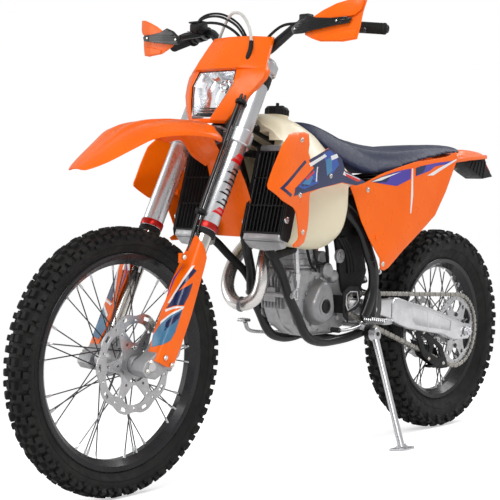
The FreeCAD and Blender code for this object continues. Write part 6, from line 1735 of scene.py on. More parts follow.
def makeSwingarm():
    s = armSizes
    middle = s["left"] + s["wide"] / 2
    arm = plate([s["outline"]], s["wide"], sideMatrix(middle), 5, 3)
    pocket = [(300, 439), (180, 409), (96, 385), (100, 352), (150, 360), (232, 371), (310, 384), (330, 400),
              (330, 440)]
    slot = [(24, 356), (-8, 356), (-8, 334), (24, 334)]
    cutters = [plate([pocket], 14, sideMatrix(s["left"] + s["wide"] + 4), 2, 2),
               plate([slot], 5, sideMatrix(s["left"] + s["wide"] - 1))]
    cutters.append(discRod(at(116, 30, 331), at(134, 30, 331), 4.2))
    arm = cutAway(arm, cutters)
    ribs = [plate([[(f - 3, u - 34), (f + 3, u - 34), (f + 12, u + 24), (f + 6, u + 24)]], 3, sideMatrix(128.2), 0.8)
            for f, u in ((160, 390), (230, 404))]
    elbow = []
    for forward, inner, outer, low, top in ((432, 100, 130, 410, 474), (455, 80, 116, 418, 472),
                                            (476, 62, 97, 425, 469), (510, 58, 84, 424, 468), (530, 57, 78, 424, 466),
                                            (546, 57, 78, 428, 462)):
        ring = [at(x, forward, u) for x, u in ((inner, low + 8), (inner + 6, low), (outer - 6, low), (outer, low + 8),
                                               (outer, top - 8), (outer - 6, top), (inner + 6, top),
                                               (inner, top - 8))]
        elbow.append(softRing(ring, 2))
    bridge = boxMesh(at(0, 462, 447), (132, 44, 40), bevel=8, segments=3)
    finishPiece("swingarm", bothSides(arm) + bothSides(*ribs) + bothSides(loft(elbow)) + [bridge],
                "machinedSilver", "chassis", ("swingarm",), 35)
    blocks = [boxMesh(at(133.4, 6, 344.8), (5, 26, 21), bevel=1.2)]
    marks = [boxMesh(at(132.7, -6 + 6 * k, 361), (1.2, 1, 4)) for k in range(5)]
    adjuster = [discRod(at(117, -22, 344.8), at(117, -38, 344.8), 4),
                boltMesh(at(117, -24, 344.8), (0, 1, 0), 7.5, 6)]
    finishPiece("chainAdjusters", bothSides(*blocks + marks + adjuster), "discSteel", "chassis", sharpDeg=30)
    nut = lathe([(0, 0), (15, 0), (15, 2), (13.5, 3), (13.5, 10), (11, 12), (6, 12), (5, 9), (0, 9)],
                at(135.5, 0, 344.8), (1, 0, 0), 6)
    washer = discRod(at(134, 0, 344.8), at(136, 0, 344.8), 17)
    rod = discRod(at(-101, 0, 344.8), at(101, 0, 344.8), 11.8)
    finishPiece("rearAxle", bothSides(nut, washer) + [rod], "machinedSilver", "chassis", ("rear_axle",), 30)


makeSwingarm()

# Shock: coil spring on a damper, with an adjuster collar
shockSizes = {"low": (0, 452, 469.8), "high": (0, 500, 800), "coil": 29.2, "wire": 5.6, "turns": 7}


def makeShock():
    s = shockSizes
    low, high = at(*s["low"]), at(*s["high"])
    along = (high - low).normalized()
    turn = aimed(low, along)
    spring = []
    count = s["turns"] * 20
    for k in range(count + 1):
        angle = math.tau * k / 20
        spring.append(turn @ Vector((*polar(s["coil"], angle), 57 + (200 * k / count))))
    finishPiece("shockSpring", sweep(spring, s["wire"], 10, up=along), "springWhite", "chassis")
    body = lathe([(0, 150), (18, 150), (20, 153), (20, 236), (21, 240), (34, 256), (36, 258), (36, 266), (30, 269),
                  (30, 274), (24, 277), (20, 280), (20, 318), (17, 326), (13, 333.6), (0, 333.6)], low, along, 36)
    foot = lathe([(0, 0), (13, 0), (17, 6), (18, 14), (18, 30), (14, 34), (9, 36), (9, 48), (34, 48.5), (36, 50),
                  (36, 55), (30, 57), (9, 58), (8, 152), (0, 152)], low, along, 36)
    finishPiece("shockBody", [body, foot], "blackPlastic", "chassis", ("shock",), 35)
    collar = ringOf(boxMesh(Vector((30.4, 0, 0)), (2.5, 5, 4), bevel=0.6), 12, (0, 0, 0), (0, 0, 1),
                    finish="machinedSilver")
    collar.transform(turn @ Matrix.Translation((0, 0, 271.5)))
    finishPiece("shockCollar", collar, "machinedSilver", "chassis")


makeShock()
print("stage: swingarm and shock")

# Chain guide, foot pegs, foot controls, rear brake
def makeFootParts():
    outline = [(300, 380), (262, 350), (214, 272), (160, 243), (112, 222), (60, 222), (62, 236), (100, 300),
               (160, 334), (220, 364)]
    holes = [[(232, 346), (204, 296), (180, 284), (176, 300), (196, 328)],
             [(150, 310), (162, 276), (120, 258), (108, 262), (118, 292)]]
    outer = plate([outline] + holes, 4.5, sideMatrix(99.5), 1, 2)
    inner = plate([[(255, 330), (214, 272), (112, 222), (60, 222), (100, 290)]], 4.5, sideMatrix(76.3), 0.8)
    rail = [boxMesh(at(87.8, 150, 234), (26, 40, 8), bevel=2), boxMesh(at(87.8, 210, 281), (22, 8, 12), bevel=2)]
    finishPiece("chainGuide", [outer, inner] + rail, "blackPlastic", "chassis", ("chain_guide",), 35)
    screws = [boltMesh(at(101.5, f, u), (1, 0, 0), 4.5, 2.5) for f,
              u in ((270, 362), (216, 352), (90, 240), (180, 262))]
    screwPiece("guideScrews", screws, "chassis")

    # A peg: two toothed blades joined by bars, a hinge block and a hanger.
    pegs = []
    for edge in (-20, 20):
        teeth = []
        for k in range(11):
            f = 144 + 7.2 * k
            teeth += [(f, 425), (f + 3.6, 420)]
        blade = [(144, 409.5), (217, 411)] + [(217, 420)] + list(reversed(teeth))
        matrix = Matrix.Translation(at(0, 590 + edge, 0)) @ axesMatrix((1, 0, 0), (0, 0, 1), (0, -1, 0))
        pegs.append(plate([blade], 4, matrix, 0.5))
    for x in (150, 166, 190, 213):
        pegs.append(boxMesh(at(x, 590, 414), (5, 38, 7), bevel=1))
    pegs.append(plate([[(x, 590 + f) for x,
                        f in ((214, -21), (217, -12), (217, 12), (214, 21), (209, 21), (211, 0), (209, -21))]],
                      12, Matrix.Translation((0, 0, 416)) @ Matrix.Scale(-1, 4, (0, 1, 0))))
    pegs.append(boxMesh(at(148, 590, 414), (12, 40, 12), bevel=2.5))
    pegs.append(sweep(route(((104, 567, 381), (128, 582, 407), (148, 590, 414)), 4), 8.8, 12))
    pegs.append(discRod(at(147, 568, 410), at(147, 612, 410), 4.5))
    finishPiece("footPegs", bothSides(*pegs), "discSteel", "chassis", ("footpegs",), 35)
    coil = [at(138 + 1.0 * k / 4, 574 + 6.5 * math.cos(k * 0.8), 408 + 6.5 * math.sin(k * 0.8)) for k in range(40)]
    finishPiece("pegSprings", bothSides(sweep(coil, 1.2, 6)), "spokeSteel", "chassis")

    lever = [sweep(route(((122, 598, 400), (127, 640, 395), (129, 700, 392), (130, 740, 396), (130, 762, 399)), 5),
                   [7.5] * 6 + [6] * 15, 12, 0.75)]
    lever += [discRod(at(56, 598, 400), at(116, 598, 400), 7.5),
              lathe([(0, 0), (12, 0), (13, 1), (13, 13), (11, 15), (0, 15)],
                                                                    at(113, 598, 400), (1, 0, 0), 24)]
    lever += [discRod(at(128, 760, 399), at(164, 760, 399), 5), boltMesh(at(128, 598, 400), (1, 0, 0), 5, 3)]
    toe = lathe([(5, 0), (7.5, 0.5)] + [(8 - 1.2 * (k % 2), 2 + 1.6 * k) for k in range(17)] + [(7.5, 30), (5, 30)],
                at(134, 760, 399), (1, 0, 0), 20)
    pedal = sweep(route(((-96, 591, 368), (-128, 612, 360), (-140, 660, 361), (-142, 800, 373), (-140, 832, 402)), 6),
                  6.8, 12, 0.8)
    tip = [boxMesh(at(-140, 838, 408), (32, 28, 8), bevel=2)]
    tip += [rowOf(boxMesh(at(-153, 838 + f, 412), (3, 4, 4), bevel=0.5), 5, (6.4, 0, 0), "discSteel")
            for f in (-9, 0, 9)]
    finishPiece("footLevers", lever + [pedal] + tip, "discSteel", "chassis", ("foot_controls",), 35)
    finishPiece("shiftToe", toe, "blackRubber", "chassis")

    # Rear caliper on its carrier, with pads either side of the disc and a banjo hose along the arm.
    up = 344.763 + 66
    body = [boxMesh(at(-78.2, 78, up), (7.6, 60, 42), bevel=3, segments=3),
            boxMesh(at(-45, 78, up), (6, 56, 36), bevel=2.5)]
    body += [boxMesh(at(-64, 100, up + 19), (20, 14, 5), bevel=2),
             boxMesh(at(-64, 62, up + 19), (20, 14, 5), bevel=2)]
    body += [lathe([(0, 0), (14, 0), (14, 3), (11, 5), (0, 5)], at(-80, 78, up), (-1, 0, 0), 28),
             boxMesh(at(-90, 66, up), (20, 28, 34), bevel=4, segments=3)]
    body += [boltMesh(at(-81, f, up - 10), (-1, 0, 0), 4.5, 3) for f in (56, 100)]
    finishPiece("rearCaliper", body, "castSilver", "chassis", ("rear_caliper",), 35)
    hose = route(((-86, 100, up + 14), (-102, 140, up + 44), (-120, 220, 470), (-122, 320, 492), (-124, 420, 500),
                    (-126, 480, 470), (-122, 560, 420)), 7)
    finishPiece("rearHose", sweep(hose, 3.4, 8), "blackRubber", "chassis")

    box = bevelled(sidePrism(((262, 702), (390, 662), (393, 844), (262, 859)), -62, 62), 6, 3, 30)
    ribs = [boxMesh(at(s * 61.5, 300 + 24 * k, 770), (4, 5, 120), bevel=1) for k in range(4) for s in (-1, 1)]
    finishPiece("airbox", [box] + ribs, "blackPlastic", "chassis", ("airbox",), 35)


makeFootParts()


# Side stand: a forged leg on its pin, with a foot plate
def makeStand():
    joint = [j for j in frame["joints"] if j["name"] == "side_stand_fold"][0]
    pivot = toRow.inverted() @ Vector(joint["pos_m"])
    axis = (leanTurn.inverted().to_3x3() @ Vector(joint["axis"])).normalized()
    floorUp = leanTurn.inverted().to_3x3() @ Vector((0, 0, 1))
    floorOut = leanTurn.inverted().to_3x3() @ Vector((1, 0, 0))
    lean, splay, ahead = (math.radians(d) for d in (9, 15, 8))
    side, down, forward = math.sin(splay), math.cos(splay) * math.cos(ahead), math.cos(splay) * math.sin(ahead)
    way = at(side * math.cos(lean) + down * math.sin(lean), forward,
             side * math.sin(lean) - down * math.cos(lean)).normalized()
    length = (372 * math.cos(lean) - 145 * math.sin(lean)) / down
    foot = pivot + way * length
    leg = sweep([pivot + way * t * (length - 6) for t in (0.03, 0.08, 0.3, 0.6, 0.9, 1)],
                [10.8, 10.8, 9.6, 9.6, 10.4, 10.8], 20)
    eye = lathe([(6.8, -12), (18, -12), (20, -10), (20, 10), (18, 12), (6.8, 12)], pivot, axis, 32, closed=True)
    turn = axesMatrix(floorOut, (0, 1, 0), floorUp)
    turn = Matrix.Translation(foot) @ turn
    plateLoop = [(-31, -22), (-22, -31), (22, -31), (31, -20), (31, 20), (22, 31), (-22, 31), (-31, 22)]
    sole = plate([plateLoop], 6, turn @ Matrix.Translation((0, 0, 3.2)), 1.2, 2)
    rib = [boxMesh(Vector((0, 0, 10)), (5, 44, 12), turn, 1.5), boxMesh(Vector((0, 0, 9)), (40, 5, 9), turn, 1.5)]
    finishPiece("sideStand", [leg, eye, sole] + rib, "machinedSilver", "side_stand", ("side_stand",), 35)


makeStand()
print("stage: foot parts and stand")


# Engine: two case halves with a flange, ribs and bolts, a liquid-cooled cylinder, covers on both sides
engineSizes = {
    "half": 52.0, "bevel": 9.0,
    "outline": [(872, 574), (869, 478), (834, 409), (769, 372), (641, 372), (579, 398), (563, 443), (563, 520),
                (601, 561), (700, 574)],
    "ignition": (750, 465), "clutch": (705, 470),
}


def grownLoop(outline, by):
    # Moves every point of a loop outwards from its middle.
    middle = Vector((sum(p[0] for p in outline), sum(p[1] for p in outline))) / len(outline)
    result = []
    for p in outline:
        away = Vector(p) - middle
        result.append(tuple(middle + away * (1 + by / away.length)))
    return result


def flangeBolts(loop, left, side, count, radius=3.8, inset=6):
    # Bolts at even distances along a loop, a little inside it.
    loop = grownLoop(loop, -inset)
    pts = [Vector(p) for p in loop] + [Vector(loop[0])]
    total = sum((b - a).length for a, b in zip(pts, pts[1:]))
    result = []
    for k in range(count):
        want = total * (k + 0.5) / count
        for a, b in zip(pts, pts[1:]):
            if want <= (b - a).length:
                f, u = a.lerp(b, want / (b - a).length)
                result.append(boltMesh(at(left * side, f, u), (side, 0, 0), radius, 3.4))
                break
            want -= (b - a).length
    return result


def makeCases():
    s = engineSizes
    body = bevelled(sidePrism(s["outline"], -s["half"], s["half"]), s["bevel"], 3, 25)
    smooth = [tuple(p.xy) for p in softRing([Vector((f, u, 0)) for f, u in s["outline"]], 3)]
    flange = plate([grownLoop(smooth, -1)], 9, sideMatrix(0), 1, 2)
    parts = [body, flange]
    # Outer steps on both sides, ribs at the front and along the sump.
    step = [tuple(p.xy) for p in softRing([Vector((f, u, 0)) for f, u in grownLoop(s["outline"], -16)], 3)]
    for side in (-1, 1):
        parts.append(plate([step], 12, sideMatrix(side * (s["half"] + 2)), 2.5, 2))
        parts += flangeBolts(step, s["half"] + 8, side, 14, 3.6, 5)
    for k in range(7):
        parts.append(boxMesh(at(-36 + 12 * k, 864, 505), (3, 30, 96), bevel=1))
    for k in range(6):
        parts.append(boxMesh(at(-50, 842 - 9 * k, 470 - 14 * k), (16, 40, 4), bevel=1.2))
        parts.append(boxMesh(at(50, 842 - 9 * k, 470 - 14 * k), (12, 36, 4), bevel=1.2))
    parts += [boxMesh(at(0, 690, 376), (60, 140, 14), bevel=4),
              boxMesh(at(0, 876, 500), (44, 30, 44), bevel=5, segments=3)]
    parts += [discRod(at(-69, 886, 500), at(69, 886, 500), 8)]
    parts += [boltMesh(at(x * 84.5, 886, 500), (x, 0, 0), 6.5, 4) for x in (-1, 1)]
    finishPiece("engineCases", parts, "castSilver", "chassis", ("engine_cases",), 35)
    # Filler cap, oil filter covers on the right.
    cap = [lathe([(0, 0), (17, 0), (18, 2), (18, 7), (15, 9), (13, 9), (12, 6), (0, 6)], at(56, 839, 499), (1, 0, 0),
                 28),
           boxMesh(at(64, 839, 499), (5, 4, 24), bevel=1)]
    finishPiece("fillerCap", cap, "machinedSilver", "chassis")
    covers = []
    for f, u in ((600, 470), (622, 432)):
        covers.append(lathe([(0, 0), (18, 0), (18, 5), (15, 9), (0, 9)], at(-54, f, u), (-1, 0, 0), 24))
        covers += [boltMesh(at(-57, f + 15 * c, u + 15 * c), (-1, 0, 0), 3, 3) for c in (-1, 1)]
    finishPiece("filterCovers", covers, "castGrey", "chassis")


def makeCovers():
    f, u = engineSizes["ignition"]
    # The ignition cover stands out in two steps and narrows upwards to a lobe.
    low = [(790, 500), (772, 528), (748, 545), (726, 542), (704, 520), (690, 480), (688, 446), (696, 424), (717, 410),
           (742, 404), (768, 410), (790, 424), (803, 448), (803, 476)]
    parts = []
    levels = [(0, -1), (14, -1), (22, -5), (34, -8), (42, -13), (45, -20)]
    rings = []
    for deep, inset in levels:
        loop = softRing([Vector((p[0], p[1], 0)) for p in grownLoop(low, inset)], 3)
        rings.append([at(54 + deep, p.x, p.y) for p in loop])
    parts.append(tidied(loft(rings)))
    parts.append(lathe([(21, -3), (26, -2), (28, 0), (28, 2.5), (25, 4), (22, 4), (21, 2)], at(98.4, f - 4, u - 1),
                       (1, 0, 0), 36, closed=True))
    parts += flangeBolts(low, 60, 1, 9, 4, -2)
    for k in range(9):
        parts.append(discRod(at(54, *grownLoop(low, 1)[k]), at(66, *grownLoop(low, 1)[k]), 6.5, 12, 1))
    starter = lathe([(0, 0), (20, 0), (20, 14), (19, 19), (15, 23), (8, 25), (0, 25.5)], at(55, 672, 548), (1, 0, 0),
                    32)
    finishPiece("ignitionCover", parts, "castPale", "chassis", ("engine_covers",), 38)
    finishPiece("starterCover", [starter, discRod(at(52, 700, 566), at(76, 700, 566), 24, 28, 6)], "castPale",
                "chassis", sharpDeg=40)
    plug = lathe([(0, 0), (20, 0), (20, 6), (17, 8), (13, 8), (12, 5), (0, 5)], at(97, f - 4, u - 1), (1, 0, 0), 32)
    finishPiece("ignitionPlug", plug, "blackPlastic", "chassis", sharpDeg=30)
    f, u = engineSizes["clutch"]
    clutch = lathe([(0, 0), (82, 0), (82, 7), (78, 9), (76, 9), (76, 26), (73, 33), (66, 40), (60, 42), (58, 40),
                    (52, 40), (50, 43), (30, 44), (0, 44)], at(-54, f, u), (-1, 0, 0), 56)
    spokes = ringOf(boxMesh(Vector((40, 0, 0)), (26, 5, 4), bevel=1.2), 6, (0, 0, 0), (0, 0, 1), finish="castPale")
    spokes.transform(aimed(at(-98, f, u), (-1, 0, 0)))
    ring = ringOf(boltMesh(Vector((78, 0, 0)), (0, 0, 1), 3.6, 3.4), 8, (0, 0, 0), (0, 0, 1), finish="castPale")
    ring.transform(aimed(at(-60, f, u), (-1, 0, 0)))
    finishPiece("clutchCover", [clutch, spokes, ring], "castPale", "chassis", sharpDeg=35)
    pump = [lathe([(0, 0), (30, 0), (30, 10), (26, 18), (14, 22), (13, 34), (0, 34)], at(-54, 826, 452), (-1, 0, 0),
                  32),
            sweep([at(-70, 826, 452), at(-72, 850, 470), at(-72, 862, 492)], 10, 14)]
    finishPiece("waterPump", pump, "castPale", "chassis", sharpDeg=40)
    guard = [(640, 410), (662, 428), (670, 460), (668, 500), (652, 516), (636, 521), (592, 517), (584, 500),
             (580, 470), (590, 456), (606, 446), (640, 440)]
    inner = [(646, 448), (656, 466), (654, 494), (636, 504), (602, 502), (594, 474), (612, 460)]
    shell = [plate([guard, inner], 5, sideMatrix(104.5), 1.2, 2), boxMesh(at(82, 655, 465), (50, 14, 54), bevel=3)]
    finishPiece("sprocketGuard", shell, "blackPlastic", "chassis", sharpDeg=35)
    rim = sweep([at(108, a, b) for a, b in inner] + [at(108, *inner[0])], 2.0, 8)
    finishPiece("sprocketGuardRim", rim, "machinedSilver", "chassis")


def makeCylinder():
    parts = []
    for low, high, half, length in ((574, 695, 46, 100), (574, 583, 53, 109), (686, 695, 53, 109),
                                    (697, 758, 52, 120)):
        parts.append(boxMesh(at(0, 790, (low + high) / 2), (2 * half, length, high - low),
                             bevel=9 if high - low > 20 else 3, segments=3))
    for k in range(5):
        parts.append(boxMesh(at(0, 790, 600 + 17 * k), (98, 106, 4), bevel=1.6))
    parts += [boltMesh(at(x, 790 + f, 696), (0, 0, 1), 5, 5) for x in (-50, 50) for f in (-36, 36)]
    for side in (-1, 1):
        parts.append(lathe([(0, 0), (21, 0), (21, 6), (18, 8), (0, 8)], at(side * 50, 800, 728), (side, 0, 0), 28))
        parts += [boltMesh(at(side * 53, f, u), (side, 0, 0), 4, 3) for f,
                  u in ((748, 712), (832, 712), (748, 746), (832, 746))]
    parts.append(lathe([(20, 0), (27, 0), (28, 2), (28, 8), (20, 8)], at(0, 848, 704), (0, -1, 0), 28, closed=True))
    parts += [boltMesh(at(x, 852, 704), (0, -1, 0), 4.5, 7) for x in (-25, 25)]
    finishPiece("cylinderHead", parts, "castSilver", "chassis", ("cylinder",), 35)
    top = [(735, 758), (845, 758), (840, 782), (826, 791), (756, 791), (740, 780)]
    cover = bevelled(sidePrism(top, -43, 43), 5, 3, 25)
    finishPiece("camCover", [cover] + [boltMesh(at(x, f, 789), (0, 0, 1), 4, 3) for x in (-30, 30)
                                       for f in (765, 815)],
                "castGrey", "chassis", sharpDeg=35)
    boot = [lathe([(27, 0), (30, 2), (30, 14), (27, 16), (26, 22), (30, 26), (30, 38), (26, 40)], at(0, 730, 716),
                  at(0, -50, 22), 32, closed=False),
            lathe([(0, 0), (32, 0), (34, 10), (30, 14), (38, 30), (40, 60), (46, 92), (0, 92)], at(0, 640, 748),
                  at(0, -90, 12), 32)]
    finishPiece("intakeBoot", boot, "blackRubber", "chassis", sharpDeg=40)
    throttle = [discRod(at(0, 694, 732), at(0, 640, 750), 31, 32, 3),
                boxMesh(at(34, 668, 742), (26, 30, 34), bevel=4), boxMesh(at(-36, 668, 742), (22, 26, 44), bevel=4)]
    finishPiece("throttleBody", throttle, "castGrey", "chassis", sharpDeg=35)
    # Starter motor behind the cylinder, with its lead; the small silver gear end towards the pivot.
    starter = [discRod(at(-42, 690, 600), at(44, 690, 600), 24, 28, 3),
               lathe([(0, 0), (10, 0), (10, 24), (7, 26), (0, 26)], at(44, 640, 424), (1, 0, 0), 24)]
    finishPiece("starterMotor", starter, "castSilver", "chassis", sharpDeg=40)
    tube = [sweep(route(((66, 851, 640), (68, 848, 590), (67, 842, 545), (62, 838, 522)), 6), 8.4, 16),
            lathe([(8, 0), (11, 1), (11.5, 12), (11, 24), (8, 25)], at(67.4, 845, 566), at(-4, -4, -24), 24,
                  closed=False)]
    finishPiece("coolantPipe", tube, "machinedSilver", "chassis")
    # Leads, breather and clamps round the head.
    runs = [((40, 840, 735), (70, 830, 690), (64, 800, 640), (58, 770, 590), (60, 745, 566)),
            ((-30, 760, 792), (-62, 720, 770), (-66, 690, 700), (-60, 680, 620)),
            ((48, 742, 690), (72, 720, 650), (66, 700, 610), (60, 690, 590)),
            ((60, 812, 660), (76, 786, 640), (70, 760, 600), (63, 720, 588), (60, 700, 590)),
            ((30, 700, 760), (60, 660, 730), (66, 630, 680), (62, 610, 610), (58, 600, 560))]
    finishPiece("engineLeads", [sweep(route(run, 6), r, 8) for run, r in zip(runs, (4.2, 4.2, 5.5, 3.6, 6.5))],
                "blackRubber", "chassis")
    finishPiece("plugCap", [lathe([(0, 0), (9, 0), (11, 6), (11, 30), (8, 36), (5, 40), (0, 40)], at(50, 795, 706),
                                  (0.55, 0.1, 0.83), 20)],
                "blackRubber", "chassis")
    clamps = [lathe([(7.6, 0), (8.6, 0), (8.6, 7), (7.6, 7)], at(66, 851, 632), (0, 0.08, 1), 24, closed=True)]
    finishPiece("hoseClamps", clamps, "polishedSteel", "chassis")


makeCases()
makeCovers()
makeCylinder()
print("stage: engine")

# Exhaust: a looped header with a clamp and heat tint, and a silencer with end caps and rivets
exhaustSizes = {
    "pipe": 19.6,
    "route": ((0, 853, 704), (0, 872, 704), (0, 896, 668), (6, 915, 625), (13, 935, 580), (18, 945, 535),
              (6, 955, 492), (-25, 972, 472), (-62, 978, 482), (-98, 962, 520), (-116, 925, 575), (-120, 870, 630),
              (-122, 790, 672), (-125, 700, 700), (-126, 600, 734), (-126, 500, 750), (-126.4, 398.5, 770.2),
              (-128, 347, 783)),
}


def makeExhaust():
    path = route(exhaustSizes["route"], 5)
    pipe = sweep(path, exhaustSizes["pipe"], 28)
    finishPiece("headerPipe", pipe, "heatSteel", "chassis", ("header_pipe",), 50)
    rings = []
    for index in (36, 56):
        along = (path[index + 1] - path[index]).normalized()
        rings.append(lathe([(19.2, -5), (21.6, -5), (22.4, -3), (22.4, 3), (21.6, 5), (19.2, 5)], path[index], along,
                           32, closed=True))
    finishPiece("headerClamps", rings, "castGrey", "chassis")
    start, end = at(-128, 345, 783), at(-140, -60, 880)
    along = (end - start).normalized()
    long = (end - start).length
    body = lathe([(0, 0), (23.5, 0), (24, 2), (26, 14), (40, 44), (44.5, 50), (45.4, 56), (45.4, long - 52),
                  (44, long - 50), (0, long - 50)],
                 start, along, 48)
    finishPiece("silencer", body, "machinedSilver", "chassis", ("silencer",), 40)
    bore = [(17.2, long - 41), (17.2, long + 16), (20, long + 18), (24, long + 17), (32, long + 8), (45.6, long - 6),
            (45.8, long - 50), (40, long - 50)]
    cap = lathe(bore + [(30, long - 41)], start, along, 48, closed=True)
    finishPiece("silencerCap", cap, "blackPlastic", "chassis", sharpDeg=35)
    bands = [lathe([(45.2, a), (46, a + 0.6), (46, a + w - 0.6), (45.2, a + w)], start, along, 48, closed=True)
             for a, w in ((58, 12), (long - 62, 11), (200, 20))]
    rivets = ringOf(lathe([(0, 0), (2.4, 0), (1.6, 1.2), (0, 1.5)], Vector((45.6, 0, 0)), (1, 0, 0), 8), 12,
                    (0, 0, 0), (0, 0, 1))
    turn = aimed(start, along)
    bands += [movedMesh(rivets, turn @ Matrix.Translation((0, 0, a))) for a in (64, long - 56.5)]
    strap = boxMesh(Vector((0, 0, 210)), (14, 14, 20), turn @ Matrix.Translation((38, 30, 0)), 2)
    finishPiece("silencerBands", bands + [strap], "polishedSteel", "chassis", sharpDeg=35)
    finishPiece("silencerMount", [sweep([at(-66, 280, 866), at(-84, 262, 862), at(-96, 238, 846)], 6, 12)],
                "blackFrame", "chassis")


makeExhaust()

# Radiators: a finned core between two end tanks on each side, a louvred guard in front and a black side plate
radiatorSizes = {"foot": (62.0, 1092.0, 665.0), "lean": (-70.0, 265.0), "wide": 138.0}


def makeRadiators():
    s = radiatorSizes
    up = Vector((0, -s["lean"][0], s["lean"][1])).normalized()
    back = Vector((0, up.z, -up.y))
    turn = Matrix.Translation(at(*s["foot"])) @ axesMatrix((1, 0, 0), back, up)

    def local(*meshes):
        return bothSides(*movedAll(meshes, turn))

    core = boxMesh(Vector((69, 20, 137)), (124, 14, 232))
    slat = rowOf(boxMesh(Vector((69, 20, 24)), (126, 25, 0.9)), 54, (0, 0, 4.2), "radiatorFins")
    tubes = rowOf(boxMesh(Vector((10, 20, 137)), (2.2, 21, 232)), 12, (10.8, 0, 0), "radiatorFins")
    finishPiece("radiatorCores", local(core, slat, tubes), "radiatorFins", "chassis", ("radiators",), 30)
    tanks = [boxMesh(Vector((69, 19, 12)), (134, 34, 23), bevel=7, segments=3),
             boxMesh(Vector((69, 19, 262)), (134, 34, 23), bevel=7, segments=3),
             boxMesh(Vector((4.5, 19, 137)), (3, 30, 232), bevel=0.6),
             boxMesh(Vector((133.5, 19, 137)), (3, 30, 232), bevel=0.6)]
    lower = [at(66, 1084, 662), at(196, 1084, 662), at(190, 1066, 641), at(120, 1058, 634), at(74, 1066, 641)]
    upper = [at(66, 1052, 666), at(196, 1052, 666), at(190, 1046, 645), at(120, 1044, 638), at(74, 1046, 645)]
    wedge = bevelled(tidied(loft([lower, upper])), 3, 2, 25)
    finishPiece("radiatorTanks", local(*tanks) + bothSides(wedge), "castSilver", "chassis", sharpDeg=35)
    guard = []
    vane = boxMesh(Vector((0, 0, 137)), (3, 13, 226), bevel=1)
    vane.transform(Matrix.Rotation(math.radians(28), 4, "Z"))
    vane.transform(Matrix.Translation((12, 3, 0)))
    guard += local(rowOf(vane, 10, (13, 0, 0), "blackPlastic"))
    for z in (22, 98, 176, 252):
        guard += local(boxMesh(Vector((70, 4, z)), (134, 9, 5), bevel=1.5))
    for x in (3, 136):
        guard += local(boxMesh(Vector((x, 6, 137)), (5, 14, 236), bevel=1.6))
    plateLoop = [(0, 20), (8, 4), (34, 4), (40, 18), (40, 236), (34, 262), (4, 262), (0, 250)]
    matrix = Matrix.Translation((141.5, 0, 0)) @ axesMatrix((0, 1, 0), (0, 0, 1), (1, 0, 0))
    guard += local(plate([plateLoop], 4, matrix, 1))
    guard += local(boxMesh(Vector((-1, 10, 137)), (4, 24, 262), bevel=1.5))
    finishPiece("radiatorGuards", guard, "blackPlastic", "chassis", sharpDeg=35)
    screws = []
    for x, z in ((-3.4, 52), (-3.4, 214), (143.6, 60), (143.6, 200)):
        way = Vector((-1 if x < 0 else 1, 0, 0))
        screws.append(movedMesh(lathe([(0, 0), (9, 0), (9, 3), (6.5, 5), (4, 5), (3.4, 3), (0, 3)], Vector((x, 8, z)),
                                      way, 20), turn))
    finishPiece("radiatorScrews", bothSides(*screws), "machinedSilver", "chassis", sharpDeg=30)
    brackets = [discRod(at(16, 1014, 814), at(66, 1050, 806), 7.8, 16)]
    finishPiece("radiatorBrackets", bothSides(*brackets), "blackFrame", "chassis")
    hoses = [((120, 1046, 676), (100, 1020, 650), (92, 985, 620), (80, 940, 622), (66, 862, 634)),
             ((-120, 1046, 676), (-104, 1010, 650), (-98, 960, 610), (-86, 900, 560), (-72, 866, 500)),
             ((40, 1014, 902), (0, 1012, 906), (-40, 1014, 902)),
             ((80, 1000, 912), (60, 960, 860), (52, 900, 800), (46, 830, 752))]
    meshes = [sweep(route(run, 7), r, 16) for run, r in zip(hoses, (12, 12, 11, 9))]
    finishPiece("radiatorHoses", meshes, "blackRubber", "chassis")
    cap = lathe([(0, 0), (17, 0), (18, 3), (18, 9), (14, 12), (0, 13)], at(-96, 1003, 930), up, 8)
    finishPiece("radiatorCap", cap, "machinedSilver", "chassis", sharpDeg=30)


makeRadiators()
# The air boot between the engine and the rear tubes, and the throttle's pulley on it
bootSizes = {"left": 72.0, "outline": [(652, 761), (600, 737), (556, 682), (522, 620), (503, 557), (526, 495),
                                       (577, 473), (620, 499), (643, 567), (662, 658)], "pulley": (650, 610),
             "radius": 21.0}


def makeAirBoot():
    s = bootSizes

    def boot(forward, up):
        return at(s["left"] - 0.0035 * (up - 610) ** 2 * 0.2, forward, up), Vector((-1, 0, 0))
    shell = skinPanel(s["outline"], boot, 14, 14, 0, 3)
    folds = [sweep(flowing([at(s["left"] + 2, f + d, u) for f, u in ((660, 668), (634, 640), (610, 600), (602, 556))],
                           6), 5, 12) for d in (0, -15, -30)]
    finishPiece("airBoot", [shell] + folds, "blackRubber", "chassis")
    f, u = s["pulley"]
    wheel = lathe([(6, 0), (s["radius"], 0), (s["radius"], 2), (s["radius"] - 3, 4), (s["radius"], 6),
                   (s["radius"], 8), (12, 9), (10, 12), (6, 12)],
                  at(s["left"] - 2, f, u), (1, 0, 0), 36, closed=True)
    nut = boltMesh(at(s["left"] + 8, f, u), (1, 0, 0), 5, 4)
    finishPiece("throttlePulley", [wheel, nut], "castPale", "chassis", sharpDeg=35)


makeAirBoot()
print("stage: exhaust and radiators")


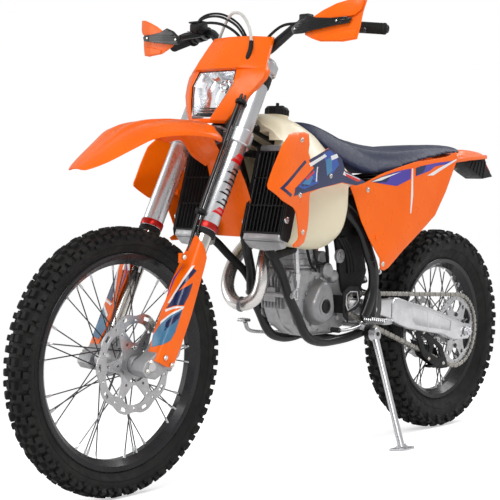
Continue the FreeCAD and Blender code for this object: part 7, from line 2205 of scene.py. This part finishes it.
# Handlebar: a swept tube with two clamps, the grips with ribs, and the controls on both sides
barSizes = {
    "radius": 11.0, "thick": 14.0, "inner": (165, 985, 1262), "end": (402, 903, 1240),
            "middle": ((0, 1012, 1185), (70, 1012, 1185)),
    "clampLeft": 42.0, "clampHalf": 14.0, "grip": 15.6, "gripShares": (0.46, 0.985), "ribs": 24,
    # share of the bar, ahead of it, above it, half width of the blade
    "lever": ((0.30, 44, -2, 8), (0.36, 56, -3, 9), (0.5, 64, -7, 8), (0.7, 63, -10, 7), (0.84, 60, -12, 6.5),
              (0.87, 59, -12, 7)),
}
barAlong = (at(*barSizes["end"]) - at(*barSizes["inner"])).normalized()


def barPoint(share, ahead=0.0, above=0.0):
    # A place off the left half of the bar, at a share of its straight outer run.
    return at(*barSizes["inner"]).lerp(at(*barSizes["end"]), share) + Vector((0, -ahead, above))


def makeHandlebar():
    s = barSizes
    half = [at(*s["middle"][1]), at(*s["inner"]), barPoint(1.0)]
    right = [Vector((-p.x, p.y, p.z)) for p in reversed(half)]
    path = rounded(right + half, 58, 8)
    radii = [s["thick"] if abs(p.x) < 118 else max(s["radius"], s["thick"] - (abs(p.x) - 118) * 0.05) for p in path]
    ends = [lathe([(4, -1), (10.9, -1), (10.9, 1.6), (9.4, 2.4), (7, 2.4), (6.4, 0.6), (4, 0.6)], barPoint(1.0),
                  barAlong, 28, closed=True)]
    finishPiece("handlebar", [sweep(path, radii, 24)] + bothSides(*ends), "blackFrame", "steering",
                ("handlebar",), 50)
    clamps, screws = [], []
    for side in (-1, 1):
        left = side * s["clampLeft"]
        top = at(left, 1012, 1185)
        clamps.append(lathe([(14.2, -s["clampHalf"]), (21, -s["clampHalf"]), (22, -s["clampHalf"] + 1.5),
                             (22, s["clampHalf"] - 1.5), (21, s["clampHalf"]), (14.2, s["clampHalf"])], top,
                            (1, 0, 0), 36, closed=True))
        foot = steer(left, 910, 5)
        clamps.append(lathe([(13, 0), (13, 6), (11, 9), (11, 40), (13, 60)], foot, top - foot, 28))
        clamps.append(boxMesh(top + Vector((0, 0, 2)), (26, 54, 9), bevel=3))
        screws += [boltMesh(top + Vector((0, y, 6)), (0, 0, 1), 3.6, 4) for y in (-21, 21)]
    finishPiece("barClamps", clamps, "castGrey", "steering", sharpDeg=45)
    screwPiece("barClampScrews", screws, "steering")


def makeGrips():
    s = barSizes
    low, high = s["gripShares"]
    start, long = barPoint(low), (barPoint(high) - barPoint(low)).length
    profile = [(s["radius"] + 0.3, -2), (21, -2), (22, 0), (22, 3), (20, 5), (16.2, 7)]
    step = (long - 18) / s["ribs"]
    for k in range(s["ribs"]):
        base = 9 + k * step
        profile += [(s["grip"], base), (s["grip"], base + step * 0.55), (s["grip"] - 1.3, base + step * 0.65),
                    (s["grip"] - 1.3, base + step * 0.92)]
    profile += [(s["grip"] + 0.3, long - 8), (s["grip"] + 0.3, long - 2), (s["grip"] - 1, long),
                (s["radius"] + 0.3, long)]
    grip = lathe(profile, start, barAlong, 32, closed=True)
    finishPiece("grips", bothSides(grip), "blackRubber", "steering", ("grips",), 35)


def makeHandControls():
    s = barSizes

    def ringAt(share, half, outer):
        return lathe([(11.3, -half), (outer - 1, -half), (outer, -half + 1), (outer, half - 1), (outer - 1, half),
                      (11.3, half)],
                     barPoint(share), barAlong, 32, closed=True)
    path = [barPoint(a, b, c) for a, b, c, w in s["lever"]]
    wide = [w for a, b, c, w in s["lever"]]
    fine = flowing(path, 5)
    grades = [wide[min(i // 5, len(wide) - 1)] for i in range(len(fine))]
    lever = sweep(fine, grades, 14, 0.42, up=(0, -1, 0))
    tip = lathe([(0, -7.2), (4, -6.6), (7, -3), (7.4, 0), (7, 3), (4, 6.6), (0, 7.2)], barPoint(0.875, 59, -12),
                (0, 0, 1), 18)
    perch = [ringAt(0.26, 11, 18.5), boxMesh(barPoint(0.26, 24, 0), (26, 34, 20), bevel=5, segments=3),
             boxMesh(barPoint(0.32, 42, -1), (26, 24, 15), bevel=4, segments=3)]
    switch = [ringAt(0.38, 9, 17.5), boxMesh(barPoint(0.38, -14, 4), (20, 20, 26), bevel=4, segments=3),
              lathe([(0, 0), (6, 0), (6, 5), (4.6, 6.4), (0, 6.4)], barPoint(0.38, -23, 9), (0, 1, 0), 20),
              boxMesh(barPoint(0.38, -26, -3), (9, 6, 5), bevel=1.4)]
    adjuster = lathe([(4, 0), (7, 1), (7, 12), (5, 14), (4, 26), (0, 27)], barPoint(0.2, 34, 4), -barAlong, 18)
    left = perch + switch + [adjuster]
    mirrored = movedAll(perch + switch, mirrorSide)
    tank = boxMesh(barPoint(0.17, 26, 15), (48, 32, 26), bevel=5, segments=3)
    lid = boxMesh(barPoint(0.17, 26, 31), (52, 36, 5), bevel=2)
    cylinder = discRod(barPoint(0.08, 30, 4), barPoint(0.3, 30, 4), 10.5, 24, 2)
    lead = discRod(barPoint(0.27, -24, 0), barPoint(0.33, -24, 0), 11, 20, 2)
    rightOnly = movedAll((tank, lid, cylinder, lead), mirrorSide)
    leftOnly = [discRod(barPoint(0.09, 30, 4), barPoint(0.28, 30, 4), 9.5, 24, 2),
                boxMesh(barPoint(0.15, 27, 15), (34, 26, 18), bevel=4, segments=3)]
    finishPiece("handControls", left + mirrored + rightOnly + leftOnly, "blackPlastic", "steering",
                ("hand_controls",), 40)
    finishPiece("handLevers", bothSides(lever, tip), "blackFrame", "steering")
    screws = [boltMesh(barPoint(0.26, 42, z), (0, -1, 0), 3, 3)
              for z in (-7, 8)] + [boltMesh(barPoint(0.33, 44, 7), (0, 0, 1), 4, 3)]
    lid = [movedMesh(boltMesh(barPoint(share, 26, 33), (0, 0, 1), 2.4, 2, False), mirrorSide)
           for share in (0.10, 0.24)]
    screwPiece("handControlScrews", bothSides(*screws) + lid, "steering")


# Handguards: two tiers, a dark ribbed strip between them and a bracket in to the bar
shieldSizes = {
    "thick": 3.6, "step": 9.0,
    "forward": ((150, 1058), (168, 1062), (215, 1068), (280, 1068), (350, 1057), (400, 1036), (424, 1020)),
    "lower": [(244, 1230), (247, 1216), (270, 1205), (296, 1196), (361, 1193), (396, 1199), (404, 1230), (409, 1268),
              (417, 1305), (385, 1278), (340, 1262), (300, 1260), (262, 1250)],
    "upper": [(266, 1252), (290, 1266), (310, 1277), (347, 1292), (385, 1303), (417, 1307), (410, 1276), (396, 1262),
              (372, 1256), (340, 1255), (300, 1253)],
    "strip": [(206, 1234), (214, 1219), (245, 1219), (276, 1224), (332, 1232), (382, 1240), (390, 1254), (332, 1255),
              (290, 1258), (262, 1268), (236, 1258)],
}


def shieldPlace(lift):
    def surface(left, up):
        fall = 0.0008 * (up - 1245) ** 2
        forward = lerpTable(shieldSizes["forward"], left)[0] + 4 - fall + lift
        ahead = lerpTable(shieldSizes["forward"], left + 4)[0] - lerpTable(shieldSizes["forward"], left - 4)[0]
        return at(left, forward, up), Vector((ahead / 8, 1, -0.0016 * (up - 1245))).normalized()
    return surface


def makeHandguards():
    s = shieldSizes
    lower = skinPanel(s["lower"], shieldPlace(-s["step"]), s["thick"], 14, 0, 1.1)
    upper = skinPanel(s["upper"], shieldPlace(0), s["thick"], 14, 0, 1.1)
    fold = skinPanel([(300, 1198), (356, 1196), (392, 1202), (398, 1226), (330, 1216), (292, 1206)],
                     shieldPlace(-s["step"] + 2.4), 3.4, 12, 0, 1.4)
    finishPiece("handguards", bothSides(lower, upper, fold), "orangePlastic", "steering", ("handguards",), 32)
    strip = skinPanel(s["strip"], shieldPlace(2.6), 7, 12, 0, 1.6)
    ribs = []
    for drop in (-7, 0, 7):
        ribs.append(skinPanel([(226 - drop, 1236 - drop), (372 - drop, 1247 - drop), (372 - drop, 1250 - drop),
                               (226 - drop, 1239 - drop)],
                              shieldPlace(4.4), 3, 20, 0, 0.8))
    arm = sweep(flowing([at(214, 1062, 1238), at(206, 1040, 1244), at(196, 1006, 1252), barPoint(0.12)], 5), 8, 14)
    root = lathe([(11.3, -10), (17, -10), (18, -8), (18, 8), (17, 10), (11.3, 10)], barPoint(0.12), barAlong, 30,
                 closed=True)
    dark = [strip, arm, root] + ribs
    finishPiece("handguardStrips", bothSides(*dark), "glossBlack", "steering", sharpDeg=35)
    places = [shieldPlace(4)(l, u)[0] for l, u in ((222, 1232), (352, 1246))]
    screwPiece("handguardScrews", bothSides(*[boltMesh(p, (0, -1, 0), 3.4, 2, False) for p in places]), "steering")


# Hoses and cables of the steered side
cableSizes = {
    "pale": ((-92, 1046, 1196), (-66, 1052, 1238), (-34, 1064, 1272), (6, 1082, 1290), (50, 1094, 1280),
             (82, 1100, 1244), (90, 1098, 1205)),
    "sleeve": ((90, 1098, 1206), (91, 1102, 1186), (88, 1110, 1160), (84, 1112, 1140)),
    "throttle": ((-206, 1002, 1258), (-168, 1040, 1280), (-110, 1062, 1290), (-48, 1070, 1284), (6, 1066, 1256),
                 (34, 1058, 1214), (40, 1040, 1170)),
    "brake": ((-196, 1012, 1262), (-160, 1046, 1272), (-104, 1058, 1274), (-44, 1062, 1262), (4, 1056, 1232),
              (24, 1046, 1190)),
    "clutch": ((186, 1010, 1258), (150, 1034, 1252), (110, 1036, 1232), (74, 1028, 1204), (50, 1012, 1150),
               (40, 990, 1090)),
    "leg": ((92, 900, 38), (98, 872, 52), (101, 800, 64), (99, 700, 67), (101, 600, 66), (100, 500, 64),
            (99, 410, 60), (100, 320, 52)),
    "foot": ((100, 320, 50), (99, 240, 44), (88, 185, 40), (72, 156, 30), (69, 138, 4), (69, 122, -26),
             (66, 104, -38)),
}


def makeCables():
    s = cableSizes
    finishPiece("brakeHoseLoop", [sweep(route(s["pale"], 8), 4.2, 14)], "paleHose", "steering")
    dark = [sweep(route(s["sleeve"], 6), 6.2, 14)]
    for name, radius in (("throttle", 3.4), ("brake", 4.0), ("clutch", 4.0)):
        dark.append(sweep(route(s[name], 8), radius, 12))
    second = [at(l - 4, f - 9, u + (9 if u > 1200 else 0)) for l, f, u in s["throttle"]]
    dark.append(sweep(flowing(second, 8), 3.2, 12))
    finishPiece("cables", dark, "blackRubber", "steering")
    leg = flowing([steer(*p) for p in s["leg"]], 8)
    beside = flowing([steer(l + 9, a, h - 5) for l, a, h in s["leg"]], 8)
    foot = flowing([steer(*p) for p in s["foot"]], 8)
    finishPiece("brakeHose", [sweep(leg, 5.0, 16), sweep(beside, 3.6, 14), sweep(foot, 3.6, 14)], "glossBlack",
                "steering", ("brake_hose",))
    clips = []
    for along in (760, 430):
        centre = steer(105, along, 64)
        clips.append(lathe([(4, -5), (14, -5), (15, -3), (15, 3), (14, 5), (4, 5)], centre, steerAxis, 24,
                           closed=True))
    finishPiece("hoseClips", clips, "blackPlastic", "steering")


# Front brake caliper: two rounded halves, a bridge, pins and the hose's banjo
caliperSizes = {"left": 60.0, "along": 60.0, "ahead": -42.4, "size": (17.0, 48.0, 72.0)}


def makeCaliper():
    s = caliperSizes
    tilt = axesMatrix((1, 0, 0), -(steer(0, 0, 1) - steer(0, 0, 0)), steerAxis)
    place = Matrix.Translation(steer(s["left"], s["along"], s["ahead"])) @ tilt
    halves = []
    for side in (-1, 1):
        halves.append(boxMesh((side * 9.4, 0, 0), (13.5, 46, 68), place, 5, 3))
        halves += [discRod(place @ Vector((side * 14, 2, z)), place @ Vector((side * 17.8, 2, z)), 14, 28, 1.6)
                   for z in (-17, 17)]
    bridge = boxMesh((0, 19.5, 0), (22, 9, 60), place, 3)
    hanger = sweep(flowing([steer(68, 84, -30), steer(78, 90, -12), steer(92, 96, 6), steer(101, 100, 20)], 5), 9.5,
                   16)
    finishPiece("frontCaliper", halves + [bridge, hanger], "castSilver", "steering", ("front_caliper",), 38)
    pins = [boltMesh(place @ Vector((16, y, z)), (1, 0, 0), 4, 3) for y, z in ((-15, -26), (-15, 26), (16, 0))]
    banjo = [discRod(steer(66, 99, -40), steer(66, 108, -40), 7, 20, 1)]
    screwPiece("frontCaliperPins", pins + banjo, "steering")


makeHandlebar()
makeGrips()
makeHandControls()
makeHandguards()
makeCables()
makeCaliper()
print("stage: handlebar, controls, cables and caliper")
